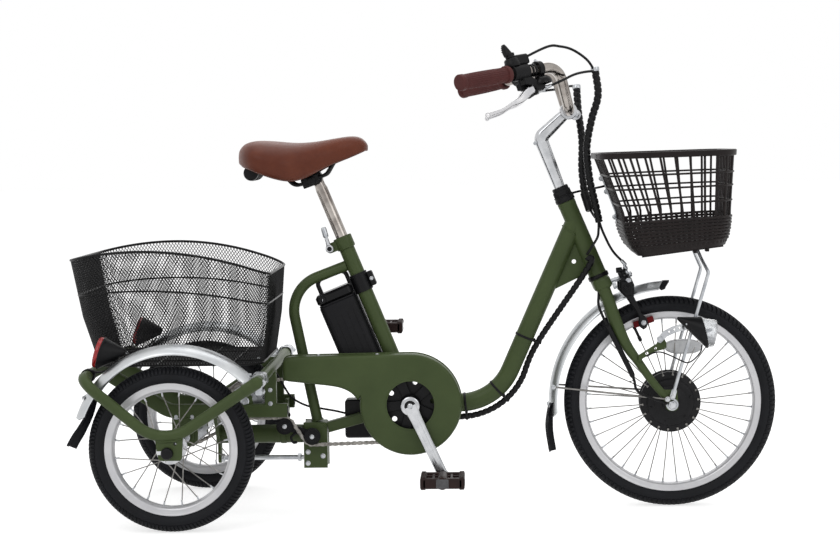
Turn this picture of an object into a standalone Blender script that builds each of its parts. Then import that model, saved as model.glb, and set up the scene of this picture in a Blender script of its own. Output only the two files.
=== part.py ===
"""Electric-assist adult tricycle with a swinging front frame.

Frame: +X forwards, +Y to the rider's left, +Z up, metres. The origin is on the ground
under the middle of the tricycle's length. Three groups carry everything else: the rear
frame on its two small wheels, the front frame that swings on it about a lengthwise shaft,
and the steering assembly that turns in the front frame's head tube.
"""

import math

import bmesh
import bpy
from mathutils import Matrix, Vector

# Fits
GAP = 0.0003
RUN = 0.0005

# Wheels
WHEELBASE = 0.9955
FRONT_AXLE_X = 0.496
TRACK = 0.470
FRONT_TYRE_R = 0.2175
FRONT_RIM_R = 0.186
FRONT_RIM_DEPTH = 0.022
REAR_TYRE_R = 0.164
REAR_RIM_R = 0.133
REAR_RIM_DEPTH = 0.0195
TYRE_WIDTH = 0.040
RIM_WIDTH = 0.026
SPOKE_R = 0.0012
FRONT_SPOKES = 36
REAR_SPOKES = 20
MOTOR_R = 0.066
MOTOR_HALF_WIDTH = 0.037
FRONT_AXLE_R = 0.006
REAR_HUB_R = 0.017
REAR_FLANGE_R = 0.027
REAR_HUB_HALF_WIDTH = 0.030
REAR_AXLE_R = 0.0075
REAR_AXLE_OVERHANG = 0.066
WHEEL_STEPS = 34

# Front frame
BB_X = -0.037
BB_Z = 0.222
BB_SHELL_R = 0.021
BB_SHELL_HALF = 0.034
SEAT_LEAN = math.radians(22.1)
SEAT_TUBE_R = 0.0159
SEAT_TUBE_LENGTH = 0.370
HEAD_LEAN = math.radians(23.0)
FORK_RAKE = 0.0315
FORK_LENGTH = 0.293
HEAD_TUBE_LENGTH = 0.170
HEAD_TUBE_R = 0.0185
STEERER_R = 0.0127
MAIN_TUBE_R = 0.019
MAIN_JOIN_UP = 0.125
MAIN_KNEE = (0.1365, 0.214)
MAIN_BEND_R = 0.20
ARCH_TUBE_R = 0.011
ARCH_JOIN_UP = 0.311
ARCH_KNEE = (-0.289, 0.4595)
ARCH_FOOT_X = -0.2335
ARCH_BEND_R = 0.095
STAY_WIDTH = 0.030
STAY_HEIGHT = 0.022
STAY_DROP = 0.006

# Swing joint between the front frame and the rear frame
SWING_Z = 0.156
SWING_SHAFT_R = 0.012
SWING_HOUSING_R = 0.019
SWING_HOUSING_X = (-0.436, -0.2630)
SWING_BRACKET_X = (-0.2610, -0.2116)
SWING_BRACKET_Z = (0.087, 0.183)
SWING_BRACKET_HALF = 0.026

# Rear frame
HOOP_TUBE_R = 0.0111
HOOP_OUT = 0.050
HOOP_BEND_R = 0.085
HOOP_RISE = 0.0125
HOOP_BACK = 0.010
CROSS_TUBE_X = -0.322
CROSS_TUBE_Z = 0.300
REAR_TUBE_X = -0.666
REAR_TUBE_Z = 0.307
REAR_CORNER_R = 0.040
RAIL_Y = 0.070
RAIL_WIDTH = 0.020
RAIL_HEIGHT = 0.028
RAIL_Z = 0.215
RAIL_FRONT_X = -0.288
FENDER_GAP = 0.0415
FENDER_WIDTH = 0.056
FENDER_DEPTH = 0.016
SHEET = 0.002

# Drive train
CHAINLINE = 0.046
CHAIN_HALF_WIDTH = 0.0035
CHAIN_HALF_HEIGHT = 0.004
CHAIN_STEP = math.radians(20)
PITCH = 0.0127
CHAINRING_TEETH = 38
DRIVER_TEETH = 18
OUTPUT_TEETH = 16
GEAR_HUB_X = -0.375
GEAR_HUB_Z = 0.232
GEAR_HUB_R = 0.026
GEAR_AXLE_R = 0.005
OUTPUT_Y = 0.035
PULLEY_FRONT = (-0.241, 0.1565)
PULLEY_REAR = (-0.297, 0.1785)
PULLEY_R = 0.0135
CRANK_LENGTH = 0.158
CRANK_ANGLE = math.radians(-65.5)
CRANK_INNER_Y = 0.069
CRANK_THICK = 0.014
SPINDLE_R = 0.0085
PEDAL_AXLE_R = 0.006
PEDAL_BOSS = 0.008
PEDAL_LENGTH = 0.090
PEDAL_WIDTH = 0.080
PEDAL_HEIGHT = 0.024
CASE_R = 0.104
CASE_HOLE_R = 0.049
CASE_Y = (0.030, 0.0635)
CASE_TAIL_X = -0.298
CASE_TAIL_Z = (0.2725, 0.3235)

# Seat
CLAMP_BACK = 0.031
CLAMP_UP = SEAT_TUBE_LENGTH - 0.013
POST_R = 0.0127
POST_LOW = 0.150
POST_HIGH = 0.484
SADDLE_BACK_X = -0.385
SADDLE_NOSE_X = -0.119
SADDLE_HALF_WIDTH = 0.108

# Steering assembly
STEM_R = 0.0115
STEM_ELBOW_UP = 0.607
STEM_REACH = 0.078
STEM_RISE = 0.024
BAR_R = 0.0111
BAR_BAND = 0.0049
PERCH_BAND = 0.0054
STEM_BAND = 0.0064
BELL_SEAT = 0.0024
GRIP_R = 0.016
GRIP_LENGTH = 0.128
GRIP_END = (-0.2195, 0.278, 0.0515)
BAR_TOP = (-0.024, 0.105, 0.088)
BAR_FOOT_Y = 0.055
FRONT_FENDER_R = 0.2490
FRONT_FENDER_WIDTH = 0.052
FORK_END_Y = 0.056
FORK_END_THICK = 0.006
FORK_BLADE_R = 0.0125
FORK_TIP_R = 0.0075
CROWN_DROP = 0.024
CROWN_HALF = 0.052
NUT_HEIGHT = 0.033
PERCH_AT = 0.166
LEVER_DROP = BAR_R + 0.0289
LEVER_TIP = (0.040, 0.072)
SHIFT_AT = 0.146
BRAKE_UP = 0.262
BRAKE_FORWARD = 0.048
PAD_ANGLE = 108
HARNESS_R = 0.0065
SLEEVE_R = 0.0075
CABLE_R = 0.0026
LEAD_R = 0.0014

# Battery, from the seat tube
BATTERY_BACK = (0.0202, 0.100)
BATTERY_UP = (0.077, 0.277)
BATTERY_Y = (-0.027, 0.049)
HANDLE_Y = 0.026
HANDLE_RISE = 0.028

# Baskets
BASKET_WALL = 0.004
FRONT_BASKET_LEVELS = (
    (0.425, 0.600, 0.130, 0.040),
    (0.395, 0.609, 0.155, 0.050),
    (0.349, 0.614, 0.175, 0.055))

# Shading
SMOOTH_UNDER = math.radians(40)

Y_AXIS = Vector((0, 1, 0))
X_AXIS = Vector((1, 0, 0))

FRONT_AXLE = Vector((FRONT_AXLE_X, 0, FRONT_TYRE_R))
REAR_AXLE = Vector((FRONT_AXLE_X - WHEELBASE, 0, REAR_TYRE_R))
BB = Vector((BB_X, 0, BB_Z))
HEAD_UP = Vector((-math.sin(HEAD_LEAN), 0, math.cos(HEAD_LEAN)))
HEAD_FORWARD = Vector((math.cos(HEAD_LEAN), 0, math.sin(HEAD_LEAN)))
STEER_FOOT = FRONT_AXLE - FORK_RAKE * HEAD_FORWARD
SEAT_UP = Vector((-math.sin(SEAT_LEAN), 0, math.cos(SEAT_LEAN)))
SEAT_BACK = Vector((-math.cos(SEAT_LEAN), 0, -math.sin(SEAT_LEAN)))
HEAD_TOP = FORK_LENGTH + HEAD_TUBE_LENGTH
HALF_TRACK = TRACK / 2
HOOP_Y = HALF_TRACK + HOOP_OUT


def steer(forward, y, up):
    """A point in the steering assembly, from the foot of the steering axis."""
    return STEER_FOOT + forward * HEAD_FORWARD + y * Y_AXIS + up * HEAD_UP


def seat(back, y, up):
    """A point along the seat tube, from the bottom bracket."""
    return BB + back * SEAT_BACK + y * Y_AXIS + up * SEAT_UP


def pitch_radius(teeth):
    return PITCH / (2 * math.sin(math.pi / teeth))


def clear_scene():
    for obj in list(bpy.data.objects):
        bpy.data.objects.remove(obj, do_unlink=True)


# Shape tools

def to_object(name, bm):
    """A closed bmesh as a named object, with its faces pointing out."""
    bmesh.ops.recalc_face_normals(bm, faces=bm.faces)
    mesh = bpy.data.meshes.new(name)
    bm.to_mesh(mesh)
    bm.free()
    obj = bpy.data.objects.new(name, mesh)
    bpy.context.scene.collection.objects.link(obj)
    return obj


def circle(radius, sides):
    return [(radius * math.cos(2 * math.pi * i / sides), radius * math.sin(2 * math.pi * i / sides))
            for i in range(sides)]


def rectangle(width, height):
    w, h = width / 2, height / 2
    return [(-w, -h), (w, -h), (w, h), (-w, h)]


def bent_path(corners, radii, step=math.radians(18)):
    """A line through the corners, with each inner corner rounded to an arc of its radius."""
    corners = [Vector(c) for c in corners]
    path = [corners[0]]
    for i, radius in enumerate(radii, start=1):
        corner = corners[i]
        back = (corners[i - 1] - corner).normalized()
        ahead = (corners[i + 1] - corner).normalized()
        half = back.angle(ahead) / 2
        centre = corner + (back + ahead).normalized() * (radius / math.sin(half))
        start = corner + back * (radius / math.tan(half)) - centre
        end = corner + ahead * (radius / math.tan(half)) - centre
        turn = math.pi - 2 * half
        axis = start.cross(end).normalized()
        count = max(2, math.ceil(turn / step))
        path += [centre + Matrix.Rotation(turn * k / count, 3, axis) @ start for k in range(count + 1)]
    return path + [corners[-1]]


def smooth_path(points, per_span=4):
    """Points along a smooth curve through the given points."""
    points = [Vector(p) for p in points]
    ends = [2 * points[0] - points[1]] + points + [2 * points[-1] - points[-2]]
    path = []
    for a, b, c, d in zip(ends, ends[1:], ends[2:], ends[3:]):
        for k in range(per_span):
            t = k / per_span
            path.append(0.5 * ((2 * b) + (c - a) * t + (2 * a - 5 * b + 4 * c - d) * t ** 2
                               + (3 * b - a - 3 * c + d) * t ** 3))
    return path + [points[-1]]


def sweep(name, path, outline, scales=None, closed=False, side=Y_AXIS):
    """A solid made by carrying an outline along a path; the outline's first axis starts near `side`."""
    path = [Vector(p) for p in path]
    count = len(path)
    bm = bmesh.new()
    rings = []
    first = None
    for i, point in enumerate(path):
        before = path[(i - 1) % count] if closed or i else point
        after = path[(i + 1) % count] if closed or i < count - 1 else point
        tangent = (after - before).normalized()
        if first is None:
            first = (side - side.dot(tangent) * tangent).normalized()
        else:
            first = (first - first.dot(tangent) * tangent).normalized()
        second = tangent.cross(first)
        scale = scales[i] if scales else 1
        rings.append([bm.verts.new(point + scale * (u * first + v * second)) for u, v in outline])
    sides = len(outline)
    for a, b in zip(rings, rings[1:] + (rings[:1] if closed else [])):
        for k in range(sides):
            bm.faces.new((a[k], a[(k + 1) % sides], b[(k + 1) % sides], b[k]))
    if not closed:
        bm.faces.new(rings[0])
        bm.faces.new(rings[-1][::-1])
    return to_object(name, bm)


def tube(name, path, radius, sides=12, scales=None):
    return sweep(name, path, circle(radius, sides), scales)


def turned(name, profile, centre, axis=Y_AXIS, steps=24):
    """A solid of revolution: (radius, distance along the axis) points, closed or ending on the axis."""
    bm = bmesh.new()
    turn_from_z = Vector((0, 0, 1)).rotation_difference(axis).to_matrix()
    columns = []
    for radius, along in profile:
        if radius == 0:
            columns.append([bm.verts.new(centre + turn_from_z @ Vector((0, 0, along)))])
            continue
        columns.append([bm.verts.new(centre + turn_from_z @ Vector((
            radius * math.cos(2 * math.pi * k / steps), radius * math.sin(2 * math.pi * k / steps), along)))
            for k in range(steps)])
    loop = columns if columns[0][0] in columns[-1] or len(columns[0]) == 1 else columns + columns[:1]
    for a, b in zip(loop, loop[1:]):
        for k in range(steps):
            corners = [a[k % len(a)], a[(k + 1) % len(a)], b[(k + 1) % len(b)], b[k % len(b)]]
            unique = [v for j, v in enumerate(corners) if v not in corners[:j]]
            if len(unique) > 2:
                bm.faces.new(unique)
    return to_object(name, bm)


def rod(name, start, end, radius, sides=12):
    """A plain round bar between two points."""
    start, end = Vector(start), Vector(end)
    along = (end - start).normalized()
    return sweep(name, [start, end], circle(radius, sides), side=Y_AXIS if abs(along.y) < 0.9 else X_AXIS)


def plate(name, outline, y_from, y_to):
    """A plate with an outline in the XZ plane, between two Y values."""
    bm = bmesh.new()
    near = [bm.verts.new((x, y_from, z)) for x, z in outline]
    far = [bm.verts.new((x, y_to, z)) for x, z in outline]
    bm.faces.new(near)
    bm.faces.new(far[::-1])
    for k in range(len(outline)):
        j = (k + 1) % len(outline)
        bm.faces.new((near[k], near[j], far[j], far[k]))
    return to_object(name, bm)


def block(name, low, high, bevel=0.0):
    """A box between two corners, with its edges bevelled if asked."""
    bm = bmesh.new()
    bmesh.ops.create_cube(bm, size=1)
    low, high = Vector(low), Vector(high)
    for vert in bm.verts:
        vert.co = Vector([low[i] + (vert.co[i] + 0.5) * (high[i] - low[i]) for i in range(3)])
    if bevel:
        bmesh.ops.bevel(bm, geom=list(bm.edges), offset=bevel, segments=1, affect="EDGES")
    return to_object(name, bm)


def moved(obj, matrix):
    obj.data.transform(matrix)
    return obj


def lofted(name, rings, closed_rings=False):
    """A solid through rings of equal length, capped at both ends, or joined end to end."""
    bm = bmesh.new()
    made = [[bm.verts.new(p) for p in ring] for ring in rings]
    sides = len(rings[0])
    for a, b in zip(made, made[1:] + (made[:1] if closed_rings else [])):
        for k in range(sides):
            bm.faces.new((a[k], a[(k + 1) % sides], b[(k + 1) % sides], b[k]))
    if not closed_rings:
        bm.faces.new(made[0])
        bm.faces.new(made[-1][::-1])
    return to_object(name, bm)


def boolean(obj, tools, operation):
    for tool in tools:
        modifier = obj.modifiers.new("shape", "BOOLEAN")
        modifier.operation = operation
        modifier.object = tool
        bpy.context.view_layer.update()
        graph = bpy.context.evaluated_depsgraph_get()
        mesh = bpy.data.meshes.new_from_object(obj.evaluated_get(graph))
        obj.modifiers.clear()
        obj.data = mesh
        bpy.data.objects.remove(tool, do_unlink=True)
    return obj


def fuse(obj, *tools):
    return boolean(obj, tools, "UNION")


def cut(obj, *tools):
    return boolean(obj, tools, "DIFFERENCE")


def gathered(name, objects):
    """Several solids that don't touch, as one tool for a boolean."""
    bm = bmesh.new()
    for obj in objects:
        bm.from_mesh(obj.data)
        bpy.data.objects.remove(obj, do_unlink=True)
    return to_object(name, bm)


def material(name, colour, roughness, metallic=0.0):
    made = bpy.data.materials.new(name)
    made.use_nodes = True
    shader = made.node_tree.nodes["Principled BSDF"]
    shader.inputs["Base Color"].default_value = (*colour, 1)
    shader.inputs["Roughness"].default_value = roughness
    shader.inputs["Metallic"].default_value = metallic
    return made


def joint_empty(name, position, parent=None):
    """An empty on a joint's axis, which the joint's pieces are parented to."""
    empty = bpy.data.objects.new(name, None)
    bpy.context.scene.collection.objects.link(empty)
    empty.location = position
    if parent:
        bpy.context.view_layer.update()
        empty.parent = parent
        empty.matrix_parent_inverse = parent.matrix_world.inverted()
    bpy.context.view_layer.update()
    return empty


def finish(obj, finish_material, empty):
    """Gives a piece its material, its shading and the empty that it moves with."""
    obj.data.materials.clear()
    obj.data.materials.append(finish_material)
    obj.data.shade_smooth()
    obj.data.set_sharp_from_angle(angle=SMOOTH_UNDER)
    obj.parent = empty
    obj.matrix_parent_inverse = empty.matrix_world.inverted()
    return obj


# Wheels

def tyre(name, centre, outer, rim):
    half = TYRE_WIDTH / 2
    low = rim + GAP
    tall = outer - low
    side = [(low, 0.012), (low + 0.42 * tall, half), (low + 0.80 * tall, 0.84 * half), (outer, 0.36 * half)]
    profile = [(r, -y) for r, y in side] + side[::-1]
    return turned(name, profile, centre, steps=WHEEL_STEPS)


def rim(name, centre, outer, depth):
    half = RIM_WIDTH / 2
    inner = outer - depth
    profile = [(inner, -0.45 * half), (inner + 0.35 * depth, -half), (outer, -half),
               (outer, half), (inner + 0.35 * depth, half), (inner, 0.45 * half)]
    return turned(name, profile, centre, steps=WHEEL_STEPS)


def spokes(centre, count, inner, outer, flange_y):
    """Straight spokes from alternate flanges to the middle of the rim."""
    made = []
    for k in range(count):
        angle = 2 * math.pi * (k + 0.5) / count
        out = Vector((math.cos(angle), 0, math.sin(angle)))
        foot = centre + inner * out + flange_y * (1 if k % 2 else -1) * Y_AXIS
        tip = centre + outer * out + 0.002 * (1 if k % 2 else -1) * Y_AXIS
        made.append(rod("spoke", foot, tip, SPOKE_R, 3))
    return gathered("spokes", made)


def front_hub(name):
    r, w = MOTOR_R, MOTOR_HALF_WIDTH
    bore = FRONT_AXLE_R + RUN
    profile = [(bore, -w), (0.022, -w), (0.026, -0.82 * w), (0.80 * r, -0.72 * w), (r, -0.55 * w),
               (r, 0.55 * w), (0.80 * r, 0.72 * w), (0.026, 0.82 * w), (0.022, w), (bore, w)]
    hub = turned(name, profile, FRONT_AXLE, steps=24)
    reach = FRONT_RIM_R - FRONT_RIM_DEPTH - 0.0013
    return fuse(hub, spokes(FRONT_AXLE, FRONT_SPOKES, r - 0.006, reach, 0.42 * w))


def rear_hub(name, side, bore):
    centre = REAR_AXLE + side * HALF_TRACK * Y_AXIS
    w = REAR_HUB_HALF_WIDTH
    half = [(bore, w), (0.014, w), (0.014, 0.8 * w), (REAR_FLANGE_R, 0.8 * w), (REAR_FLANGE_R, 0.68 * w),
            (REAR_HUB_R, 0.6 * w)]
    profile = [(r, -y) for r, y in half] + half[::-1]
    hub = turned(name, profile, centre, steps=14)
    reach = REAR_RIM_R - REAR_RIM_DEPTH - 0.0013
    return fuse(hub, spokes(centre, REAR_SPOKES, REAR_FLANGE_R - 0.004, reach, 0.74 * w))


# Sheet pieces bent round the wheels

def gutter(width, depth):
    """The closed outline of a fender's arched sheet, crown outwards."""
    steps = 4
    outside = []
    inside = []
    for k in range(steps + 1):
        u = 2 * k / steps - 1
        drop = depth * abs(u) ** 2.4
        outside.append((u * width / 2, -drop))
        inside.append((u * (width / 2 - SHEET), -drop - SHEET))
    return outside + inside[::-1]


def arc_points(centre, radius, start_deg, end_deg, count, y=0.0):
    points = []
    for k in range(count + 1):
        angle = math.radians(start_deg + (end_deg - start_deg) * k / count)
        points.append(Vector((centre.x + radius * math.cos(angle), y, centre.z + radius * math.sin(angle))))
    return points


def fender_strip(name, centre, radius, start_deg, end_deg, count, y, width, depth):
    """A fender's sheet: the arched outline carried round the wheel."""
    outline = gutter(width, depth)
    rings = []
    for point in arc_points(centre, radius, start_deg, end_deg, count, y):
        out = Vector((point.x - centre.x, 0, point.z - centre.z)).normalized()
        rings.append([point + u * Y_AXIS + v * out for u, v in outline])
    return lofted(name, rings)


def rear_fender(name, side):
    y = side * HALF_TRACK
    radius = REAR_TYRE_R + FENDER_GAP
    body = fender_strip(name, REAR_AXLE, radius, 41, 157, 13, y, FENDER_WIDTH, FENDER_DEPTH)
    root = arc_points(REAR_AXLE, radius - 0.006, 154, 157, 1, y)[0]
    flap = sweep("flap", [root, root + Vector((-0.012, 0, -0.035)), root + Vector((-0.021, 0, -0.080))],
                 rectangle(FENDER_WIDTH - 0.006, 0.003))
    front = arc_points(REAR_AXLE, radius - 0.004, 42, 45, 1, y)[0]
    tab = block("tab", (front.x - 0.006, y - 0.010, CROSS_TUBE_Z - 0.003),
                (CROSS_TUBE_X - HOOP_TUBE_R - GAP, y + 0.010, CROSS_TUBE_Z + 0.003))
    return fuse(body, flap, tab)


def front_fender(name):
    body = fender_strip(name, FRONT_AXLE, FRONT_FENDER_R, 89, 187, 13, 0, FRONT_FENDER_WIDTH, 0.014)
    root = arc_points(FRONT_AXLE, FRONT_FENDER_R - 0.005, 184, 187, 1)[0]
    flap = sweep("flap", [root, root + Vector((-0.002, 0, -0.040)), root + Vector((0.004, 0, -0.084))],
                 rectangle(FRONT_FENDER_WIDTH - 0.006, 0.003))
    wires = []
    for side in (-1, 1):
        low = FRONT_AXLE + Vector((-0.010, side * (FORK_END_Y + FORK_TIP_R + 0.0025 + 2 * GAP), 0.012))
        high = arc_points(FRONT_AXLE, FRONT_FENDER_R - 0.012, 172, 173, 1)[0]
        wires.append(rod("wire", low, high + side * (FRONT_FENDER_WIDTH / 2 - 0.002) * Y_AXIS, 0.0025, 6))
    crown = steer(0, 0, FORK_LENGTH - CROWN_DROP - GAP)
    hanger = rod("hanger", crown, crown - 0.026 * HEAD_UP, 0.007, 8)
    return fuse(body, flap, *wires, hanger)


# Rear frame

def hoop_frame(name):
    """The wheel hoops and the tube behind the basket, bent from one length, with the axle dropouts."""
    cross = Vector((CROSS_TUBE_X, -HOOP_Y, CROSS_TUBE_Z))
    low = REAR_AXLE + Vector((-HOOP_BACK, -HOOP_Y, HOOP_RISE))
    start = cross - (HOOP_TUBE_R + GAP) * (cross - low).normalized()
    half = [start, low, Vector((REAR_TUBE_X, -HOOP_Y, REAR_TUBE_Z))]
    corners = half + [Vector((p.x, -p.y, p.z)) for p in half[::-1]]
    bends = [HOOP_BEND_R, REAR_CORNER_R, REAR_CORNER_R, HOOP_BEND_R]
    frame = tube(name, bent_path(corners, bends), HOOP_TUBE_R, 12)
    top = low.z + 0.020
    for side in (-1, 1):
        y = side * HOOP_Y
        outline = [(REAR_AXLE.x - 0.026, top), (REAR_AXLE.x - 0.016, REAR_AXLE.z - 0.014),
                   (REAR_AXLE.x + 0.016, REAR_AXLE.z - 0.014), (REAR_AXLE.x + 0.026, top)]
        fuse(frame, plate("dropout", outline, y - 0.004, y + 0.004))
        at = REAR_AXLE + y * Y_AXIS
        cut(frame, rod("bore", at - 0.02 * Y_AXIS, at + 0.02 * Y_AXIS, REAR_AXLE_R + RUN, 16))
    return frame


def cross_tube(name):
    end = HOOP_Y + 0.012
    return rod(name, (CROSS_TUBE_X, -end, CROSS_TUBE_Z), (CROSS_TUBE_X, end, CROSS_TUBE_Z), HOOP_TUBE_R, 12)


def centre_frame(name):
    """Both rails with their posts, axle plates and gear hub axle, the swing housing and the tie rod."""
    made = None
    for side in (-1, 1):
        y = side * RAIL_Y
        corners = [(RAIL_FRONT_X, y, RAIL_Z), (-0.53, y, RAIL_Z), (REAR_TUBE_X, y, REAR_TUBE_Z - 0.008)]
        rail = sweep("rail", bent_path(corners, [0.05]), rectangle(RAIL_WIDTH, RAIL_HEIGHT))
        post = block("post", (CROSS_TUBE_X - 0.012, y - RAIL_WIDTH / 2 + 0.001, RAIL_Z),
                     (CROSS_TUBE_X + 0.012, y + RAIL_WIDTH / 2 - 0.001, CROSS_TUBE_Z))
        wide, low = 0.026, REAR_AXLE.z - 0.022
        bearing = block("bearing", (REAR_AXLE.x - wide, y - 0.005, low),
                        (REAR_AXLE.x + wide, y + 0.005, RAIL_Z))
        tab = block("tab", (GEAR_HUB_X - 0.012, y - 0.004, RAIL_Z),
                    (GEAR_HUB_X + 0.012, y + 0.004, GEAR_HUB_Z + 0.013))
        fuse(rail, post, bearing, tab)
        if made is None:
            made = rail
            made.name = name
        else:
            fuse(made, rail)
    rear_x, front_x = SWING_HOUSING_X
    low = SWING_Z - SWING_HOUSING_R
    web_rear = block("web", (rear_x - 0.006, -RAIL_Y, low), (rear_x + 0.002, 0.018, RAIL_Z + 0.010))
    web_front = block("web", (front_x - 0.042, 0.0, SWING_Z - 0.008),
                      (front_x - 0.034, RAIL_Y - 0.002, RAIL_Z + 0.009))
    housing = rod("housing", (rear_x, 0, SWING_Z), (front_x, 0, SWING_Z), SWING_HOUSING_R, 16)
    gear_at = Vector((GEAR_HUB_X, 0, GEAR_HUB_Z))
    gear_axle = rod("axle", gear_at - RAIL_Y * Y_AXIS, gear_at + RAIL_Y * Y_AXIS, GEAR_AXLE_R, 12)
    drop = block("drop", (rear_x - 0.005, -0.012, SWING_Z - 0.058), (rear_x + 0.001, 0.012, SWING_Z - 0.005))
    tie = rod("tie", (rear_x, 0, SWING_Z - 0.050), (front_x, 0, SWING_Z - 0.050), 0.005, 8)
    fuse(made, web_rear, housing, web_front, gear_axle, drop, tie)
    bore = SWING_SHAFT_R + RUN
    cut(made, rod("bore", (rear_x + 0.012, 0, SWING_Z), (front_x + 0.01, 0, SWING_Z), bore, 16))
    for x, z in ((CROSS_TUBE_X, CROSS_TUBE_Z), (REAR_TUBE_X, REAR_TUBE_Z)):
        cut(made, rod("seat", (x, -0.2, z), (x, 0.2, z), over_flats(HOOP_TUBE_R + GAP, 12), 12))
    cut(made, rod("bore", REAR_AXLE - 0.1 * Y_AXIS, REAR_AXLE + 0.1 * Y_AXIS, REAR_AXLE_R + RUN, 16))
    return made


def reflector(name, side):
    """A round red reflector on its black cone, with the foot that bolts to the rear tube."""
    x, z, y = -0.640, 0.368, side * 0.212
    tilt = Vector((-math.cos(0.2), 0, -math.sin(0.2)))
    cone = turned(name, [(0, -0.040), (0.009, -0.040), (0.030, 0.0), (0.030, 0.008), (0, 0.010)],
                  Vector((x, y, z)), tilt, 16)
    foot_low = Vector((REAR_TUBE_X, y, REAR_TUBE_Z + HOOP_TUBE_R + GAP))
    foot = block("foot", (foot_low.x - 0.007, y - 0.008, foot_low.z),
                 (foot_low.x + 0.007, y + 0.008, z - 0.012))
    arm = block("arm", (foot_low.x - 0.007, y - 0.008, z - 0.016), (x + 0.004, y + 0.008, z - 0.010))
    return fuse(cone, foot, arm)


def rounded_ring(x_low, x_high, half_width, radius, z_at, bulge=0.0, per_corner=3):
    """A rounded rectangle in plan, its height given by a function of x."""
    points = []
    corners = [(x_high - radius, half_width - radius, 0), (x_low + radius, half_width - radius, 90),
               (x_low + radius, -half_width + radius, 180), (x_high - radius, -half_width + radius, 270)]
    for cx, cy, start in corners:
        for k in range(per_corner + 1):
            angle = math.radians(start + 90 * k / per_corner)
            points.append((cx + radius * math.cos(angle), cy + radius * math.sin(angle)))
        if start in (0, 180):
            y = math.copysign(half_width + bulge, cy)
            for part in (0.3, 0.5, 0.7):
                reach = x_high - radius - part * (x_high - x_low - 2 * radius)
                if start == 180:
                    reach = x_low + radius + part * (x_high - x_low - 2 * radius)
                points.append((reach, y if part == 0.5 else math.copysign(half_width + 0.84 * bulge, cy)))
    return [Vector((x, y, z_at(x))) for x, y in points]


def basket(name, levels):
    """An open-topped shell: rings up the outside, over the rim and down the inside to the floor."""
    rings = [rounded_ring(*level) for level in levels]
    middle = sum((p for p in rings[0]), Vector()) / len(rings[0])
    inner = []
    for level, ring in zip(levels[::-1], rings[::-1]):
        inside = []
        for p in ring:
            at = p + Vector((middle.x - p.x, middle.y - p.y, 0)).normalized() * BASKET_WALL * 1.2
            inside.append(Vector((at.x, at.y, level[4](at.x))))
        inner.append(inside)
    inner[-1] = [p + Vector((0, 0, BASKET_WALL)) for p in inner[-1]]
    return lofted(name, rings + inner)


def rear_rim_height(x):
    back, front, crown = 0.5327, 0.5010, 0.034
    t = (x + 0.7115) / (0.7115 - 0.309)
    return back + (front - back) * t + crown * 4 * t * (1 - t) * 0.97


def rear_basket(name):
    floor = REAR_TUBE_Z + HOOP_TUBE_R - 0.0006
    levels = [(-0.662, -0.330, 0.158, 0.045, lambda x: floor),
              (-0.690, -0.318, 0.180, 0.055, lambda x: floor + 0.45 * (rear_rim_height(x) - floor), 0.006),
              (-0.7132, -0.309, 0.190, 0.060, rear_rim_height, 0.018)]
    return basket(name, levels)


# Front frame

def main_tube(name):
    """Head tube, gusset, bent main tube and bottom bracket shell, welded in one."""
    low, high = steer(0, 0, FORK_LENGTH), steer(0, 0, HEAD_TOP)
    made = rod(name, low, high, HEAD_TUBE_R, 20)
    knee = Vector((MAIN_KNEE[0], 0, MAIN_KNEE[1]))
    join = steer(0, 0, FORK_LENGTH + MAIN_JOIN_UP)
    path = bent_path([join, knee, BB], [MAIN_BEND_R], math.radians(10))
    down = tube("down", path, MAIN_TUBE_R, 12)
    shell = rod("shell", BB - BB_SHELL_HALF * Y_AXIS, BB + BB_SHELL_HALF * Y_AXIS, BB_SHELL_R, 20)
    along = (knee - join).normalized()
    a = join + along * 0.165
    b = steer(0, 0, FORK_LENGTH + 0.018)
    c = join + along * 0.02
    gusset = plate("gusset", [(a.x, a.z), (b.x, b.z), (c.x, c.z)], -0.004, 0.004)
    hole_at = 0.24 * a + 0.40 * b + 0.36 * c
    cut(gusset, rod("hole", hole_at - 0.02 * Y_AXIS, hole_at + 0.02 * Y_AXIS, 0.0046, 10))
    fuse(made, down, gusset, shell)
    bore = STEERER_R + 0.0013
    cut(made, rod("bore", steer(0, 0, FORK_LENGTH - 0.01), steer(0, 0, HEAD_TOP + 0.01), bore, 20))
    cut(made, rod("bore", BB - 0.06 * Y_AXIS, BB + 0.06 * Y_AXIS, SPINDLE_R + RUN, 16))
    return made


def seat_tube(name):
    """Seat tube with the split collar at its top and the ears of the clamp."""
    made = rod(name, seat(0, 0, BB_SHELL_R + GAP), seat(0, 0, SEAT_TUBE_LENGTH), SEAT_TUBE_R, 16)
    top = seat(0, 0, SEAT_TUBE_LENGTH)
    collar = rod("collar", top - 0.026 * SEAT_UP, top, SEAT_TUBE_R + 0.0035, 16)
    ears = block("ears", (-0.038, -0.011, -0.010), (-0.008, 0.011, 0.010))
    turn = Matrix.Rotation(-SEAT_LEAN, 4, "Y")
    moved(ears, Matrix.Translation(seat(0, 0, CLAMP_UP)) @ turn)
    bolt_at = seat(CLAMP_BACK, 0, CLAMP_UP)
    bolt = rod("bolt", bolt_at - 0.034 * Y_AXIS, bolt_at + 0.016 * Y_AXIS, 0.003, 8)
    fuse(made, collar, ears, bolt)
    return cut(made, rod("bore", seat(0, 0, 0.062), seat(0, 0, SEAT_TUBE_LENGTH + 0.02), POST_R + GAP, 16))


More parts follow.
